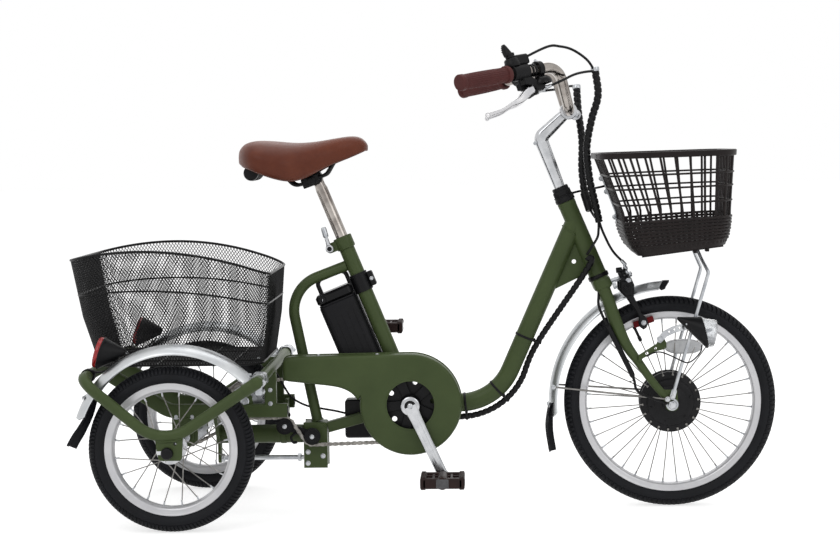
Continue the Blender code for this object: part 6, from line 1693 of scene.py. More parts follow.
# Headset
# Stacked black steel nuts on top of the head tube: an adjusting cup, a toothed washer and a lock nut.
# A black wire from it steadies the front basket.

headset = joined(
    turned([
        (0.0131, 0.4634), (0.0195, 0.4634), (0.0206, 0.4645), (0.0206, 0.4705), (0.0196, 0.472),
        (0.0196, 0.4745), (0.0131, 0.4745)], STEER_FOOT, HEAD_UP, 44, ring=True),
    turned([
        (0.0131, 0.4748), (0.02, 0.4748), (0.0204, 0.4753), (0.0204, 0.4764), (0.02, 0.477),
        (0.0131, 0.477)], STEER_FOOT, HEAD_UP, 44, ring=True),
    turned([
        (0.0131, 0.4772), (0.0196, 0.4772), (0.02, 0.4778), (0.02, 0.486), (0.019, 0.4875),
        (0.0131, 0.488)], STEER_FOOT, HEAD_UP, 8, ring=True),
    turned([
        (0.0131, 0.488), (0.017, 0.488), (0.0172, 0.493), (0.016, 0.4958),
        (0.0131, 0.4958)], STEER_FOOT, HEAD_UP, 40, ring=True))
steady = tube(
    smooth([
        steer(0.014, 0.012, 0.47), steer(0.026, 0.022, 0.472), (0.368, 0.047, 0.661),
        (0.3708, 0.052, 0.668)], 6), 0.0024, 12)
shown("headset_stack", [(black, joined(headset, steady))], "steering", "headset_nut", slot="black_plastic")

# Motor hub and front spokes
# A black cast drum with stepped covers that holds the motor; its axle is fixed in the fork.
# Thirty-six straight spokes hook in its two flanges with bright heads, and a clear reflector sits on them.

cast_black = surface(
    "motor_black", srgb(27, 27, 29), srgb(19, 19, 21), 0.42, patch=30, grain=800, relief=0.3, depth=0.0004)
cover_side = [
    (0.0066, 0.037), (0.015, 0.037), (0.017, 0.0362), (0.0185, 0.0325), (0.021, 0.0312), (0.028, 0.0302),
    (0.029, 0.0294), (0.033, 0.0288), (0.034, 0.0278), (0.0452, 0.0266), (0.0472, 0.0252), (0.049, 0.0222),
    (0.051, 0.021), (0.0608, 0.0203), (0.0622, 0.0193), (0.0622, 0.013), (0.061, 0.012), (0.0546, 0.0115),
    (0.0538, 0.0105)]
drum = turned(
    [(r, -y) for r, y in cover_side] + [(r, y) for r, y in cover_side[::-1]], FRONT_AXLE, LEFT, 96,
    ring=True)
cover_screws = joined(*(
    turned(
        [(0, 0), (0.0028, 0), (0.0028, 0.001), (0.0018, 0.0018), (0, 0.0018)],
        at_angle(FRONT_AXLE, 2 * math.pi * (k + 0.25) / 6, 0.0418, s * 0.0268), LEFT * s, 14)
    for k in range(6) for s in (-1, 1)))
front_spokes = lacing(FRONT_AXLE, FRONT_SPOKES, 0.0567, 0.0208, 0.171, 0.0, 0.0024)
clear = lens("clear_lens", srgb(226, 227, 229), srgb(212, 214, 217), 0.1, 260)
oval_at = at_angle(FRONT_AXLE, math.radians(75.7), 0.116, 0)


def oval_loop(half_long, half_tall):
    """A full oval round the reflector's middle."""
    return [
        (
            oval_at.x + half_long * math.copysign(abs(math.cos(a)) ** 0.75, math.cos(a)),
            oval_at.z + half_tall * math.copysign(abs(math.sin(a)) ** 0.85, math.sin(a)))
        for a in turns(48)]


oval = []
for s in (-1, 1):
    low, high = sorted((s * 0.0065, s * 0.0115))
    oval.append(slab(oval_loop(0.037, 0.0135), low, high, on_side, 0.0014))
oval_frame = slab(oval_loop(0.0385, 0.015), -0.0068, 0.0068, on_side, 0.001)
shown(
    "motor_drum",
    [
        (cast_black, joined(drum, cover_screws)), (spoke_steel, front_spokes),
        (clear, joined(*oval, oval_frame))], "front_wheel", "front_hub_motor", slot="black_plastic")

# Front fender
# A narrower rolled aluminium strip with a black tip, hung under the fork crown.
# Two bright wire stays run from the fork tips to its rear, and a black flap is screwed below.

front_sheet = arched(FRONT_AXLE, 0.249, 91.3, 187, 0.052, 0.014, 0.0014, 84, rake=3.0)
tip_cap = arched(FRONT_AXLE, 0.25, 89.9, 92.8, 0.053, 0.0146, 0.0034, 10, ends=0.1, rake=3.0, fade=0)
root = at_angle(FRONT_AXLE, math.radians(184), 0.244, 0)
front_flap = flap([
    root + Vector((0.0035, 0, 0.016)), root, root + Vector((-0.002, 0, -0.04)),
    root + Vector((0.004, 0, -0.084))], 0.047, 0.04, 0.002, 0.0085)
stay_wires, stay_bolts = [], []
for s in (-1, 1):
    low = FRONT_AXLE + Vector((-0.01, s * 0.0666, 0.012))
    high = at_angle(FRONT_AXLE, math.radians(172), 0.237, s * 0.024)
    stay_wires.append(tube(
        [low, low.lerp(high, 0.5), high, high + Vector((-0.006, s * 0.0005, 0.0006))], 0.0021, 12))
    stay_wires.append(turned([
        (0.003, -0.002), (0.0058, -0.002), (0.0062, 0), (0.0058, 0.002),
        (0.003, 0.002)], low, LEFT, 24, ring=True))
    stay_bolts.append(hexagon_bolt(low + LEFT * s * 0.0014, LEFT * s, 0.0075, 0.0042, 0.005))
    stay_bolts.append(turned(rod(0.003, -0.0105, 0.0018), low, LEFT * s, 14))
    stay_bolts.append(hexagon_bolt(
        high + Vector((-0.005, s * 0.0022, 0.0006)), (-0.2, s, 0), 0.007, 0.004, 0.0048))
    stay_bolts.append(hexagon_bolt(
        at_angle(FRONT_AXLE, math.radians(181), 0.2488, s * 0.01), (-1, 0, -0.03), 0.006, 0.003, 0.0042))
hanger = joined(
    swept([
        steer(0, 0, 0.2687), steer(0, 0, 0.256),
        steer(0.001, 0, 0.243)], oblong(0.02, 0.0032, 0.001, 3), side=LEFT),
    hexagon_bolt(steer(0.0018, 0, 0.258), HEAD_AHEAD, 0.009, 0.005, 0.007))
shown(
    "front_mudguard",
    [
        (satin, front_sheet), (black, tip_cap), (spoke_steel, joined(*stay_wires)),
        (steel, joined(*stay_bolts, hanger)), (rubber, front_flap)], "steering", "front_fender",
    slot="satin_alloy")

# Front brake
# A side-pull rim brake of black pressed arms bolted through the fork crown, with a bright barrel adjuster.
# Dark red rubber blocks in black holders face the rim.

pad_red = surface("pad_rubber", srgb(122, 26, 30), srgb(98, 18, 22), 0.6, patch=60, grain=700, relief=0.3)
pad_at = at_angle(FRONT_AXLE, math.radians(108), 0.174, 0)
BRAKE_PIVOT, BOLT_TAIL = Vector((0.4049, 0, 0.4755)), Vector((0.374, 0, 0.4655))
BRAKE_ARM = [
    (0.3919, 0.4713), (0.399, 0.4765), (0.4162, 0.4753), (0.4223, 0.4611), (0.4213, 0.4368),
    (0.4284, 0.4226), (0.4365, 0.4023), (0.4467, 0.3935), (0.45, 0.384), (0.447, 0.3735), (0.4406, 0.369),
    (0.433, 0.3745), (0.43, 0.384), (0.431, 0.396), (0.4222, 0.411), (0.41, 0.43), (0.393, 0.447)]
bridge_half = [(0.406, -0.035, 0.461), (0.4055, -0.031, 0.469), (0.405, -0.019, 0.4745)]
bridge_line = smooth(bridge_half + [BRAKE_PIVOT] + [(x, -y, z) for x, y, z in bridge_half[::-1]], 5)
caliper = joined(
    both(slab(BRAKE_ARM, -0.0395, -0.03, on_side, 0.002)),
    both(slab([
        (0.3945, 0.468), (0.414, 0.47), (0.4185, 0.458), (0.4165, 0.44), (0.404, 0.438),
        (0.3945, 0.45)], -0.044, -0.039, on_side, 0.0016)),
    both(turned([
        (0, 0.043), (0.0066, 0.043), (0.007, 0.0436), (0.007, 0.0462), (0.006, 0.0474),
        (0, 0.0474)], (0.406, 0, 0.4545), -LEFT, 28)),
    swept(bridge_line, oblong(0.015, 0.011, 0.003, 4), side=HEAD_AHEAD),
    turned([
        (0, -0.01), (0.0115, -0.01), (0.0125, -0.009), (0.0125, 0.008), (0.011, 0.01),
        (0, 0.01)], BRAKE_PIVOT, HEAD_AHEAD, 32))
brake_bolt = joined(
    turned(rod(0.005, 0, 0.036), BOLT_TAIL, BRAKE_PIVOT - BOLT_TAIL, 20),
    hexagon_bolt(BRAKE_PIVOT + 0.01 * HEAD_AHEAD, HEAD_AHEAD, 0.01, 0.006, 0.008),
    turned(rod(0.0075, 0, 0.008), (0.38, -0.018, 0.4575), HEAD_AHEAD, 6))
arm_bolts = joined(*(
    hexagon_bolt((0.406, y * 0.0472, 0.4545), LEFT * y, 0.007, 0.003, 0.0048) for y in (-1, 1)))
adjuster = joined(
    turned([
        (0, -0.006), (0.0036, -0.006), (0.0036, 0.002), (0.005, 0.0025), (0.005, 0.0085), (0.0036, 0.009),
        (0.0032, 0.016), (0, 0.016)], (0.4075, -0.014, 0.488), Vector((-0.0035, 0.002, 0.014)), 14),
    tube([(0.4075, -0.014, 0.488), (0.409, -0.02, 0.48), (0.41, -0.033, 0.472)], 0.0009, 8))
release = joined(
    turned([
        (0, -0.0065), (0.0046, -0.0065), (0.0056, -0.0055), (0.0056, 0.005), (0.0046, 0.006),
        (0, 0.006)], (0.3928, -0.02, 0.4904), (1, 0, 0.1), 24),
    swept(
        smooth([
            (0.396, -0.02, 0.4904), (0.4, -0.02, 0.488), (0.3985, -0.025, 0.479),
            (0.3975, -0.033, 0.47)], 5), oblong(0.0062, 0.005, 0.0018, 3), side=HEAD_AHEAD),
    tube([(0.4, -0.019, 0.4885), (0.405, -0.016, 0.491), (0.408, -0.0145, 0.49)], 0.0032, 12))
pinch = hexagon_bolt((0.4105, -0.0392, 0.47), -LEFT, 0.008, 0.005, 0.0055)
lean = Matrix.Rotation(math.radians(-18), 3, "Y")


def at_pad(u, v, level):
    """Plates of a brake block: u and v along and across the rim, level to the left."""
    return pad_at + lean @ Vector((u, level, v))


shoes, holders, pad_bolts = [], [], []
for s in (-1, 1):
    low, high = sorted((s * 0.0145, s * 0.0215))
    shoes.append(slab(oblong(0.043, 0.0125, 0.0022, 3), low, high, at_pad, 0.0012))
    low, high = sorted((s * 0.0213, s * 0.0262))
    holders.append(slab(oblong(0.015, 0.012, 0.003, 3), low, high, at_pad, 0.001))
    holders.append(turned(rod(0.0062, 0.0255, 0.031), at_pad(0, 0.0005, 0), LEFT * s, 28))
    pad_bolts.append(hexagon_bolt(at_pad(-0.001, 0.0005, s * 0.0392), LEFT * s, 0.008, 0.0045, 0.0052))
shown(
    "rim_brake",
    [
        (black, joined(caliper, release, arm_bolts, *holders)), (pad_red, joined(*shoes)),
        (steel, joined(brake_bolt, adjuster, pinch, *pad_bolts))], "steering", "front_brake",
    slot="black_plastic")

# Stem
# A forged aluminium stem, polished: a round shank that turns back at a sharp elbow to the bar clamp.
# A small screw at the elbow and a bolt under the clamp are steel.

BAR_MID = Vector((0.29225, 0, 0.81651))
elbow = steer(0.004, 0, 0.604)
stem_line = bent([
    steer(0, 0, 0.4966), elbow, BAR_MID + (elbow - BAR_MID).normalized() * 0.009], [0.016], 4)
reach = [0.0]
for a, b in zip(stem_line, stem_line[1:]):
    reach.append(reach[-1] + (b - a).length)
stem_size = [0.98 + 0.3 * math.exp(-((r - 0.108) / 0.024) ** 2) for r in reach]
stem_body = joined(
    swept(stem_line, oblong(0.0232, 0.0228, 0.0085, 6), scales=stem_size, side=LEFT),
    turned(lipped(0.0113, 0.0162, 0.0174, 0.022, 0.0208), BAR_MID, LEFT, 44, ring=True))
clamp_way = (BAR_MID - steer(0, 0, 0.607)).normalized()
clamp_under = Vector((clamp_way.z, 0, -clamp_way.x))
lugs_at = BAR_MID + clamp_under * 0.0195 + clamp_way * 0.006 - clamp_under * 0.004
stem_lugs = joined(*(
    turned([
        (0, low), (0.01, low), (0.0108, low + 0.001), (0.0108, low + 0.0085), (0.01, low + 0.0095),
        (0, low + 0.0095)], lugs_at, LEFT, 28) for low in (-0.013, 0.0035)))
stem_bolt = joined(
    hexagon_bolt(lugs_at - LEFT * 0.013, -LEFT, 0.01, 0.007, 0.008),
    hexagon_bolt(lugs_at + LEFT * 0.013, LEFT, 0.01, 0.006, 0.008),
    hexagon_bolt(steer(-0.01, -0.0118, 0.598), -LEFT, 0.006, 0.003, 0.0042))
shown(
    "forged_stem",
    [(alloy, joined(stem_body, stem_lugs)), (steel, stem_bolt)], "steering", "handlebar_stem",
    slot="polished_alloy")

# Handlebar
# A 22 mm steel tube, chrome plated, swept up from the clamp and back to the two grips.
# It is held by the split clamp of the stem and carries every control.


def bar_end(s):
    """The outer end of a grip."""
    return BAR_MID + Vector((-0.2195, s * 0.278, 0.0515))


def bar_way(s):
    """From the outer end of a grip inwards along the bar."""
    return (BAR_MID + Vector((-0.024, s * 0.105, 0.088)) - bar_end(s)).normalized()


def on_bar(s, along):
    """A point on a grip's line, measured from the grip's outer end."""
    return bar_end(s) + along * bar_way(s)


def under_bar(s):
    """From the bar towards its brake lever."""
    rough = Vector((0.38, 0, -0.92))
    return (rough - rough.dot(bar_way(s)) * bar_way(s)).normalized()


bar_half = [on_bar(-1, 0.008), BAR_MID + Vector((-0.024, -0.105, 0.088)), BAR_MID - LEFT * 0.055]
bar_line = bent(there_and_back(bar_half), [0.05, 0.035, 0.035, 0.05], 4)
shown("plated_bar", [(chrome, tube(bar_line, 0.0111, 32))], "steering", "handlebar", slot="chrome_plate")

# Grips
# Moulded maroon-brown rubber sleeves pushed on the bar, finely ribbed along.
# A collar closes each end.

grip_rubber = surface(
    "maroon_rubber", srgb(96, 52, 50), srgb(80, 42, 41), 0.55, patch=28, grain=1000, relief=0.3,
    depth=0.0004, spread=0.08)
GRIP_LENGTH = 0.128
for word, s in SIDES:
    rows = []
    profile = [
        (0.001, 0.0), (0.011, 0.0), (0.0152, 0.0006), (0.0159, 0.002), (0.0159, 0.0095), (0.0154, 0.0108),
        (0.0144, 0.0112), (0.0142, 0.0125)]
    profile += [(0.0145 + 0.0007 * math.sin(math.pi * k / 10), 0.0135 + 0.0102 * k) for k in range(11)]
    profile += [
        (0.0144, 0.1165), (0.0148, 0.1178), (0.0168, 0.1184), (0.0173, 0.1195), (0.0171, 0.1265),
        (0.0163, GRIP_LENGTH), (0.0116, GRIP_LENGTH), (0.0116, 0.009), (0.001, 0.009)]
    way = bar_way(s)
    across = way.orthogonal().normalized()
    lift = way.cross(across)
    for r, along in profile:
        row = []
        for k in range(96):
            a = 2 * math.pi * k / 96
            rib = 0.00035 * (1 if k % 4 < 2 else -1) if 0.013 < along < 0.116 and r > 0.012 else 0
            row.append(bar_end(s) + way * along + (across * math.cos(a) + lift * math.sin(a)) * (r + rib))
        rows.append(row)
    shown(
        word + "_hand_grip",
        [(grip_rubber, walled(rows, closed=True))], "steering", word + "_grip", slot="maroon_rubber",
        sharp=30)

# Brake levers
# Black moulded perches clamped beside the grips and polished forged levers with curled tips.
# Each lever turns on a pin and is pulled back by its cable's spring.
# The left perch also carries a small control pad.

lever_alloy = surface(
    "lever_alloy", srgb(214, 213, 214), srgb(198, 198, 201), 0.22, metallic=1.0, patch=40, grain=1300,
    relief=0.05, depth=0.0002)
PERCH_AT, SHIFT_AT = 0.166, 0.146
PERCH_BACK = [(-0.009, 0.012), (0.012, 0.012), (0.03, 0.024), (0.036, 0.034), (0.034, 0.041)]


def bar_ring(s, low, high, radius):
    """A band round the bar."""
    return turned([
        (0.0112, low), (radius - 0.0008, low), (radius, low + 0.0008), (radius, high - 0.0008),
        (radius - 0.0008, high), (0.0112, high)], bar_end(s), bar_way(s), 40, ring=True)


for word, s in SIDES:
    under, along = under_bar(s), bar_way(s)
    hinge = on_bar(s, PERCH_AT) + 0.04 * under
    lever_tip = on_bar(s, 0.04) + 0.072 * under
    spin = (lever_tip - hinge).cross(on_bar(s, 0.6 * GRIP_LENGTH) - hinge).normalized()

    def at_perch(u, v, level):
        """Perch plates: u along the bar, v down from it, level along the hinge."""
        return on_bar(s, PERCH_AT) + along * u + under * v + spin * level

    cheek = joined(
        slab(
            PERCH_BACK + [(0.006, 0.049), (-0.007, 0.047), (-0.01, 0.036)], 0.0062, 0.01, at_perch,
            0.0012),
        slab(
            PERCH_BACK + [(0.022, 0.043), (0.014, 0.03), (-0.008, 0.026)], -0.0085, 0.0075, at_perch,
            0.0018),
        slab([
            (0.024, 0.028), (0.037, 0.028), (0.044, 0.033), (0.044, 0.039), (0.036, 0.043),
            (0.026, 0.041)], -0.006, 0.006, at_perch, 0.0015))
    screw = joined(
        turned(rod(0.0025, -0.0066, 0.0098), hinge, spin, 16),
        turned([
            (0, 0.0096), (0.0046, 0.0096), (0.0046, 0.0112), (0.0032, 0.0124),
            (0, 0.0126)], hinge, spin, 20),
        hexagon_bolt(on_bar(s, PERCH_AT) - under * 0.015, -under, 0.006, 0.004, 0.0046),
        turned([
            (0, 0), (0.0042, 0), (0.0042, 0.005), (0.0034, 0.006), (0.0034, 0.013),
            (0, 0.013)], at_perch(0.042, 0.036, 0), along + 0.12 * under, 16))
    body = [bar_ring(s, PERCH_AT - 0.01 if s > 0 else SHIFT_AT - 0.01, PERCH_AT + 0.01, 0.0165), cheek]
    if s < 0:
        house = on_bar(s, SHIFT_AT) - 0.0145 * under
        body.append(turned([
            (0, -0.002), (0.015, -0.002), (0.016, 0.0), (0.016, 0.005), (0.0146, 0.007), (0.0142, 0.0125),
            (0.0125, 0.0145), (0.0032, 0.0145), (0.003, 0.026), (0, 0.026)], house, -under, 36))
        body.append(slab(oblong(0.036, 0.0205, 0.005, 4, u=0.0, v=-0.0232), -0.012, 0.012, at_perch, 0.0025))
    else:
        body.append(slab(oblong(0.044, 0.0135, 0.004, 4, u=0.0, v=-0.021), -0.016, 0.016, at_perch, 0.0025))
        body += [
            turned(
                [(0, 0), (0.0042, 0), (0.0042, 0.001), (0.0034, 0.0018), (0, 0.002)],
                on_bar(s, PERCH_AT - 0.012 + 0.012 * k) - under * 0.0272, -under, 20) for k in range(3)]
    shown(
        word + "_lever_perch",
        [(black, joined(*body)), (steel, screw)], "steering", word + "_brake_perch", slot="black_plastic")
    span = lever_tip - hinge
    lever_tip = hinge + 0.94 * span
    blade_line = smooth([
        hinge + along * 0.012 - under * 0.003, hinge - along * 0.004 + under * 0.002,
        hinge + 0.22 * span + 0.007 * under, hinge + 0.42 * span + 0.006 * under,
        hinge + 0.62 * span + 0.007 * under, hinge + 0.84 * span + 0.003 * under, lever_tip], 7)
    n = len(blade_line)
    sizes = []
    for k in range(n):
        fall = math.exp(-(max(0, k / (n - 1) - 0.2) / 0.2) ** 2)
        sizes.append(0.74 + 1.15 * fall * (0.75 + 0.25 * min(1, k / (0.16 * n))))
    blade = swept(blade_line, oblong(0.008, 0.0092, 0.003, 5), scales=sizes, side=spin)
    knob = turned([
        (0, -0.0046), (0.003, -0.0042), (0.0048, -0.0024), (0.0054, 0), (0.0048, 0.0024), (0.003, 0.0042),
        (0, 0.0046)], lever_tip + under * 0.0012, spin, 20)
    lever_hub = turned(lipped(0.0029, 0.0072, 0.008, 0.0054, 0.0046), hinge, spin, 32, ring=True)
    horn = swept(
        smooth([hinge, hinge + along * 0.011 - under * 0.004, hinge + along * 0.017 - under * 0.01], 5),
        oblong(0.007, 0.009, 0.0026, 4), side=spin)
    shown(
        word + "_lever_blade",
        [(lever_alloy, joined(blade, knob, lever_hub, horn))], word + "_brake_hand", word + "_brake_lever",
        slot="polished_alloy")

# Gear shifter and bell
# A black thumb lever with a ribbed pad that turns on the shifter's post.
# A small black bell is held on its own band.

shift_up = -under_bar(-1)
shift_at = on_bar(-1, SHIFT_AT) + 0.036 * shift_up
shift_along = bar_way(-1)
thumb_side = shift_along.cross(shift_up)
THUMB_FIN = [
    (-0.0125, -0.002), (0.003, -0.002), (0.0055, 0.004), (0.001, 0.011), (-0.004, 0.019),
    (-0.0085, 0.0235), (-0.0118, 0.0225), (-0.0135, 0.015), (-0.0145, 0.006)]


def at_fin(u, v, level):
    """The thumb lever's fin: u along the bar, v up from the pivot, level across."""
    return shift_at + shift_along * u + shift_up * v + thumb_side * level


thumb = joined(
    turned([
        (0.0034, -0.006), (0.0088, -0.006), (0.0096, -0.005), (0.0096, 0.003), (0.0086, 0.004),
        (0.0034, 0.004)], shift_at, shift_up, 36, ring=True),
    slab(THUMB_FIN, -0.0052, 0.0052, at_fin, 0.0022),
    *(
        slab([
            (-0.015 + 0.0008 * k, 0.0085 + 0.004 * k), (-0.0136 + 0.0008 * k, 0.0085 + 0.004 * k),
            (-0.0136 + 0.0008 * k, 0.0105 + 0.004 * k),
            (-0.015 + 0.0008 * k, 0.0105 + 0.004 * k)], -0.0046, 0.0046, at_fin, 0.0004)
        for k in range(3)))
shown("thumb_lever", [(black, thumb)], "shift_hand", "shift_lever", slot="black_plastic")
bell_under = under_bar(-1)
bell_at = on_bar(-1, 0.208) + 0.0135 * bell_under
bell_dome = joined(
    turned([
        (0, -0.001), (0.009, 0.0002), (0.014, 0.0026), (0.018, 0.0062), (0.0204, 0.0105), (0.0212, 0.0145),
        (0.0212, 0.0172), (0.0198, 0.0172), (0.019, 0.012), (0, 0.012)], bell_at, bell_under, 44),
    bar_ring(-1, 0.202, 0.214, 0.0162), bar_ring(-1, 0.184, 0.189, 0.0128),
    bar_ring(-1, 0.192, 0.197, 0.0128))
bell_screw = hexagon_bolt(on_bar(-1, 0.208) - bell_under * 0.0155, -bell_under, 0.006, 0.004, 0.0045)
shown("bell_dome", [(gloss_black, bell_dome), (steel, bell_screw)], "steering", "bell", slot="black_plastic")

# Front basket
# One moulding in dark brown resin: a rolled rim, upright slats crossed by three rings, and a woven lower
# third that rounds into the floor. Two rails under the floor stand on the stay.
# A steel strip steadies its back.

basket_brown = surface(
    "basket_resin", srgb(35, 28, 27), srgb(25, 20, 20), 0.42, patch=30, grain=1100, relief=0.2,
    depth=0.0003)
FRONT_PLANS = [
    (0.425, 0.6, 0.13, 0.04, 0.0), (0.395, 0.609, 0.155, 0.05, 0.004), (0.349, 0.614, 0.175, 0.055, 0.008)]
FRONT_HEIGHTS = [(0.5235, 0.425, 0.124), (0.605, 0.395, 0.05), (0.7265, 0.349, 0.02)]
FRONT_MID = 0.4
FRONT_SHARES = (0.0816, 0.1185)


def front_wall(s, v, out=0.0):
    """A point on the front basket's wall, v from the floor to the rim, moved out of it."""
    k, t = (0, v / FRONT_MID) if v < FRONT_MID else (1, (v - FRONT_MID) / (1 - FRONT_MID))
    ends = []
    for plan, (height, start, slope) in zip(FRONT_PLANS[k:k + 2], FRONT_HEIGHTS[k:k + 2]):
        x, y = round_plan(plan, s, *FRONT_SHARES)
        ends.append(Vector((x, y, height + (x - start) * slope)))
    flare = t if k else 1 - (1 - t) ** 2.2
    spot = ends[0].lerp(ends[1], flare)
    spot.z = ends[0].z + (ends[1].z - ends[0].z) * t
    if out:
        way = front_wall(s + 0.004, v) - front_wall(s - 0.004, v)
        spot += Vector((way.y, -way.x, 0)).normalized() * out
    return spot


def basket_band(v, tall, thick, out, steps=132, wave=0.0, turn=0):
    """A strip right round the front basket, waved in and out of the slats."""
    corner = 0.48 * min(tall, thick)
    line = [
        front_wall(k / steps, v, out + wave * (1 if (k // 3 + turn) % 2 else -1) * (0.0 if k % 3 else 1.0))
        for k in range(steps)]
    return swept(line, oblong(tall, thick, corner, 3), closed=True, side=(0, 0, 1))


SLATS = 44
slat_shapes = []
for k in range(SLATS):
    s = (k + 0.5) / SLATS
    side_way = front_wall(s + 0.004, 1.0) - front_wall(s - 0.004, 1.0)
    line = [front_wall(s, 0.04 + 0.95 * j / 22, -0.0006) for j in range(23)]
    slat_shapes.append(swept(line, oblong(0.0048, 0.0032, 0.0012, 3), side=side_way))
    low_s = (k + 1.0) / SLATS
    side_way = front_wall(low_s + 0.004, 0.2) - front_wall(low_s - 0.004, 0.2)
    line = [front_wall(low_s, 0.04 + 0.285 * j / 9, -0.0008) for j in range(10)]
    slat_shapes.append(swept(line, oblong(0.0058, 0.003, 0.0012, 3), side=side_way))
hoops = [basket_band(v, 0.004, 0.0036, 0.0006) for v in (0.5, 0.655, 0.79)]
weave = [basket_band(0.085 + 0.0345 * k, 0.0052, 0.0034, 0.001, 264, 0.0006, k) for k in range(8)]
lip = swept(
    [front_wall(k / 176, 0.985, 0.0022) for k in range(176)],
    [
        (-0.006, -0.0028), (-0.0052, -0.0036), (0.003, -0.0048), (0.0052, -0.0046), (0.0062, -0.003),
        (0.0064, 0.0008), (0.0054, 0.0028), (0.0034, 0.003), (-0.005, 0.0024), (-0.006, 0.001)],
    closed=True, side=(0, 0, 1))
foot_rows = [
    (0.0, 0.0), (0.022, 0.0), (0.045, 0.0), (0.068, 0.0), (0.08, 0.0), (0.08, -0.003), (0.068, -0.003),
    (0.045, -0.003), (0.022, -0.003), (0.004, -0.003)]
foot = walled([[front_wall(k / 132, v, out) for k in range(132)] for v, out in foot_rows], closed=True)


def floor_height(x):
    """Height of the front basket's floor, which rises forwards."""
    height, start, slope = FRONT_HEIGHTS[0]
    return height + (x - start) * slope


def on_floor(u, v, level):
    """Plates on the front basket's floor: u forwards, v to the left, level up from it."""
    return u, v, floor_height(u) + level


slots = [
    oblong(0.02, 0.0065, 0.003, 3, u=0.452 + 0.03 * i, v=-0.096 + 0.016 * j) for i in range(5)
    for j in range(13)]
floor_plate = slab(
    [round_plan((0.4262, 0.5988, 0.1288, 0.039, 0.0), -k / 96, *FRONT_SHARES) for k in range(96)],
    0.0002, 0.0034, on_floor, 0.0008, holes=slots)
rails_below = joined(*(
    swept([
        (x, y, floor_height(x) - 0.002)
        for x in (0.434, 0.516, 0.596)], oblong(0.012, 0.0064, 0.0018, 3), side=LEFT)
    for y in (-0.086, 0.086)))
feet = joined(*(
    block(
        (x - 0.004, y - 0.007, floor_height(x) - 0.0105), (x + 0.004, y + 0.007, floor_height(x) + 0.001),
        0.0018, 0.001) for x in (0.54, 0.564) for y in (-0.086, 0.086)))
strip_line = [front_wall(0.3435, 0.3 + 0.054 * j, 0.0042) for j in range(10)]
back_strip = swept(strip_line, oblong(0.016, 0.0022, 0.0008, 3), side=LEFT)
strip_bolts = joined(*(
    hexagon_bolt(front_wall(0.3435, v, 0.0052), (-1, 0, -0.3), 0.009, 0.005, 0.0065)
    for v in (0.36, 0.62, 0.755)))
shown(
    "front_slat_basket",
    [
        (basket_brown, joined(*slat_shapes, *hoops, lip, foot, floor_plate, rails_below, feet)),
        (basket_brown, joined(*weave)), (steel, joined(back_strip, strip_bolts))], "steering",
    "front_basket", slot="brown_resin", sharp=45)

# Basket stay
# One bright steel wire bent up from the fork tips and across under the basket floor.
# Its flattened ends are bolted to the tips, and a clip plate holds the basket.

STAY_Y = 0.0668
stay_half = [
    Vector((0.497, -STAY_Y, 0.239)), Vector((0.5695, -STAY_Y, 0.487)), Vector((0.557, -0.052, 0.513)),
    Vector((0.548, -0.04, 0.5351))]
stay_line = bent(there_and_back(stay_half), [0.012, 0.015, 0.006, 0.006, 0.015, 0.012], 8)
stay_ends, stay_screws = [], []
for s in (-1, 1):
    low, up = Vector((0.497, s * STAY_Y, 0.239)), Vector((0.0725, 0, 0.248)).normalized()
    near, far = sorted((s * 0.065, s * 0.0684))
    flat = []
    for a in turns(24):
        stretch = 0.01 if math.sin(a) > 0 else 0.0
        flat.append((
            low.x - 0.001 + up.x * (stretch + 0.0068 * math.sin(a)) - up.z * 0.0056 * -math.cos(a),
            low.z - 0.004 + up.z * (stretch + 0.0068 * math.sin(a)) + up.x * 0.0056 * -math.cos(a)))
    stay_ends.append(slab(flat, near, far, on_side, 0.0008))
    stay_screws.append(hexagon_bolt(
        (low.x - 0.001, s * 0.0682, low.z - 0.004), LEFT * s, 0.008, 0.0045, 0.0056))
    stay_screws.append(turned(
        rod(0.0028, -0.0095, 0.001), (low.x - 0.001, s * STAY_Y, low.z - 0.004), LEFT * s, 14))
clip = joined(
    swept([
        (0.5485, y, 0.5322)
        for y in (-0.03, 0, 0.03)], oblong(0.016, 0.002, 0.0008, 3), side=(1, 0, 0)),
    *(hexagon_bolt((0.5485, y, 0.5312), (0, 0, -1), 0.008, 0.004, 0.006) for y in (-0.022, 0.022)))
shown(
    "bent_stay",
    [(steel, joined(tube(stay_line, 0.0036, 18), *stay_ends)), (steel, joined(clip, *stay_screws))],
    "steering", "basket_stay", slot="chrome_plate")

# Headlamp
# A black moulded shell with a flat top and a clear lens, carried ahead of the right fork blade.
# A drilled olive lug on the blade and a bright punched strap hold it.
# A thin black lead hangs back to the blade.

glass = lens("lamp_glass", srgb(238, 240, 242), srgb(226, 229, 232), 0.8, 190)
LAMP = Vector((0.5538, -0.101, 0.3683))
LAMP_UP, LAMP_WAY = Vector((-0.214, 0, 0.9768)), Vector((0.9768, 0, 0.214))
GLASS_MID, GLASS_UP = Vector((0.5785, -0.101, 0.3667)), Vector((0.1406, 0, 0.9901))
SHELL_R, TAIL_R = 0.0324, 0.0042
SHELL_TAIL = Vector((0.503, -0.101, 0.4002)) - LAMP_UP * TAIL_R
shell_rows = [ring_at(SHELL_TAIL - LAMP_WAY * 0.0015, LAMP_UP, 0.0006)]
for k in range(9):
    t = 1 - k / 8
    shell_rows.append(ring_at(LAMP.lerp(SHELL_TAIL, t), LAMP_UP, SHELL_R + (TAIL_R - SHELL_R) * t))
for ahead_by, radius in (
        (0.0016, 0.0326), (0.0034, 0.032), (0.0036, 0.0296), (0.001, 0.029), (0.0004, 0.0006)):
    shell_rows.append(ring_at(LAMP + LAMP_WAY * ahead_by, LAMP_UP, radius))
lamp_shell = walled(shell_rows)
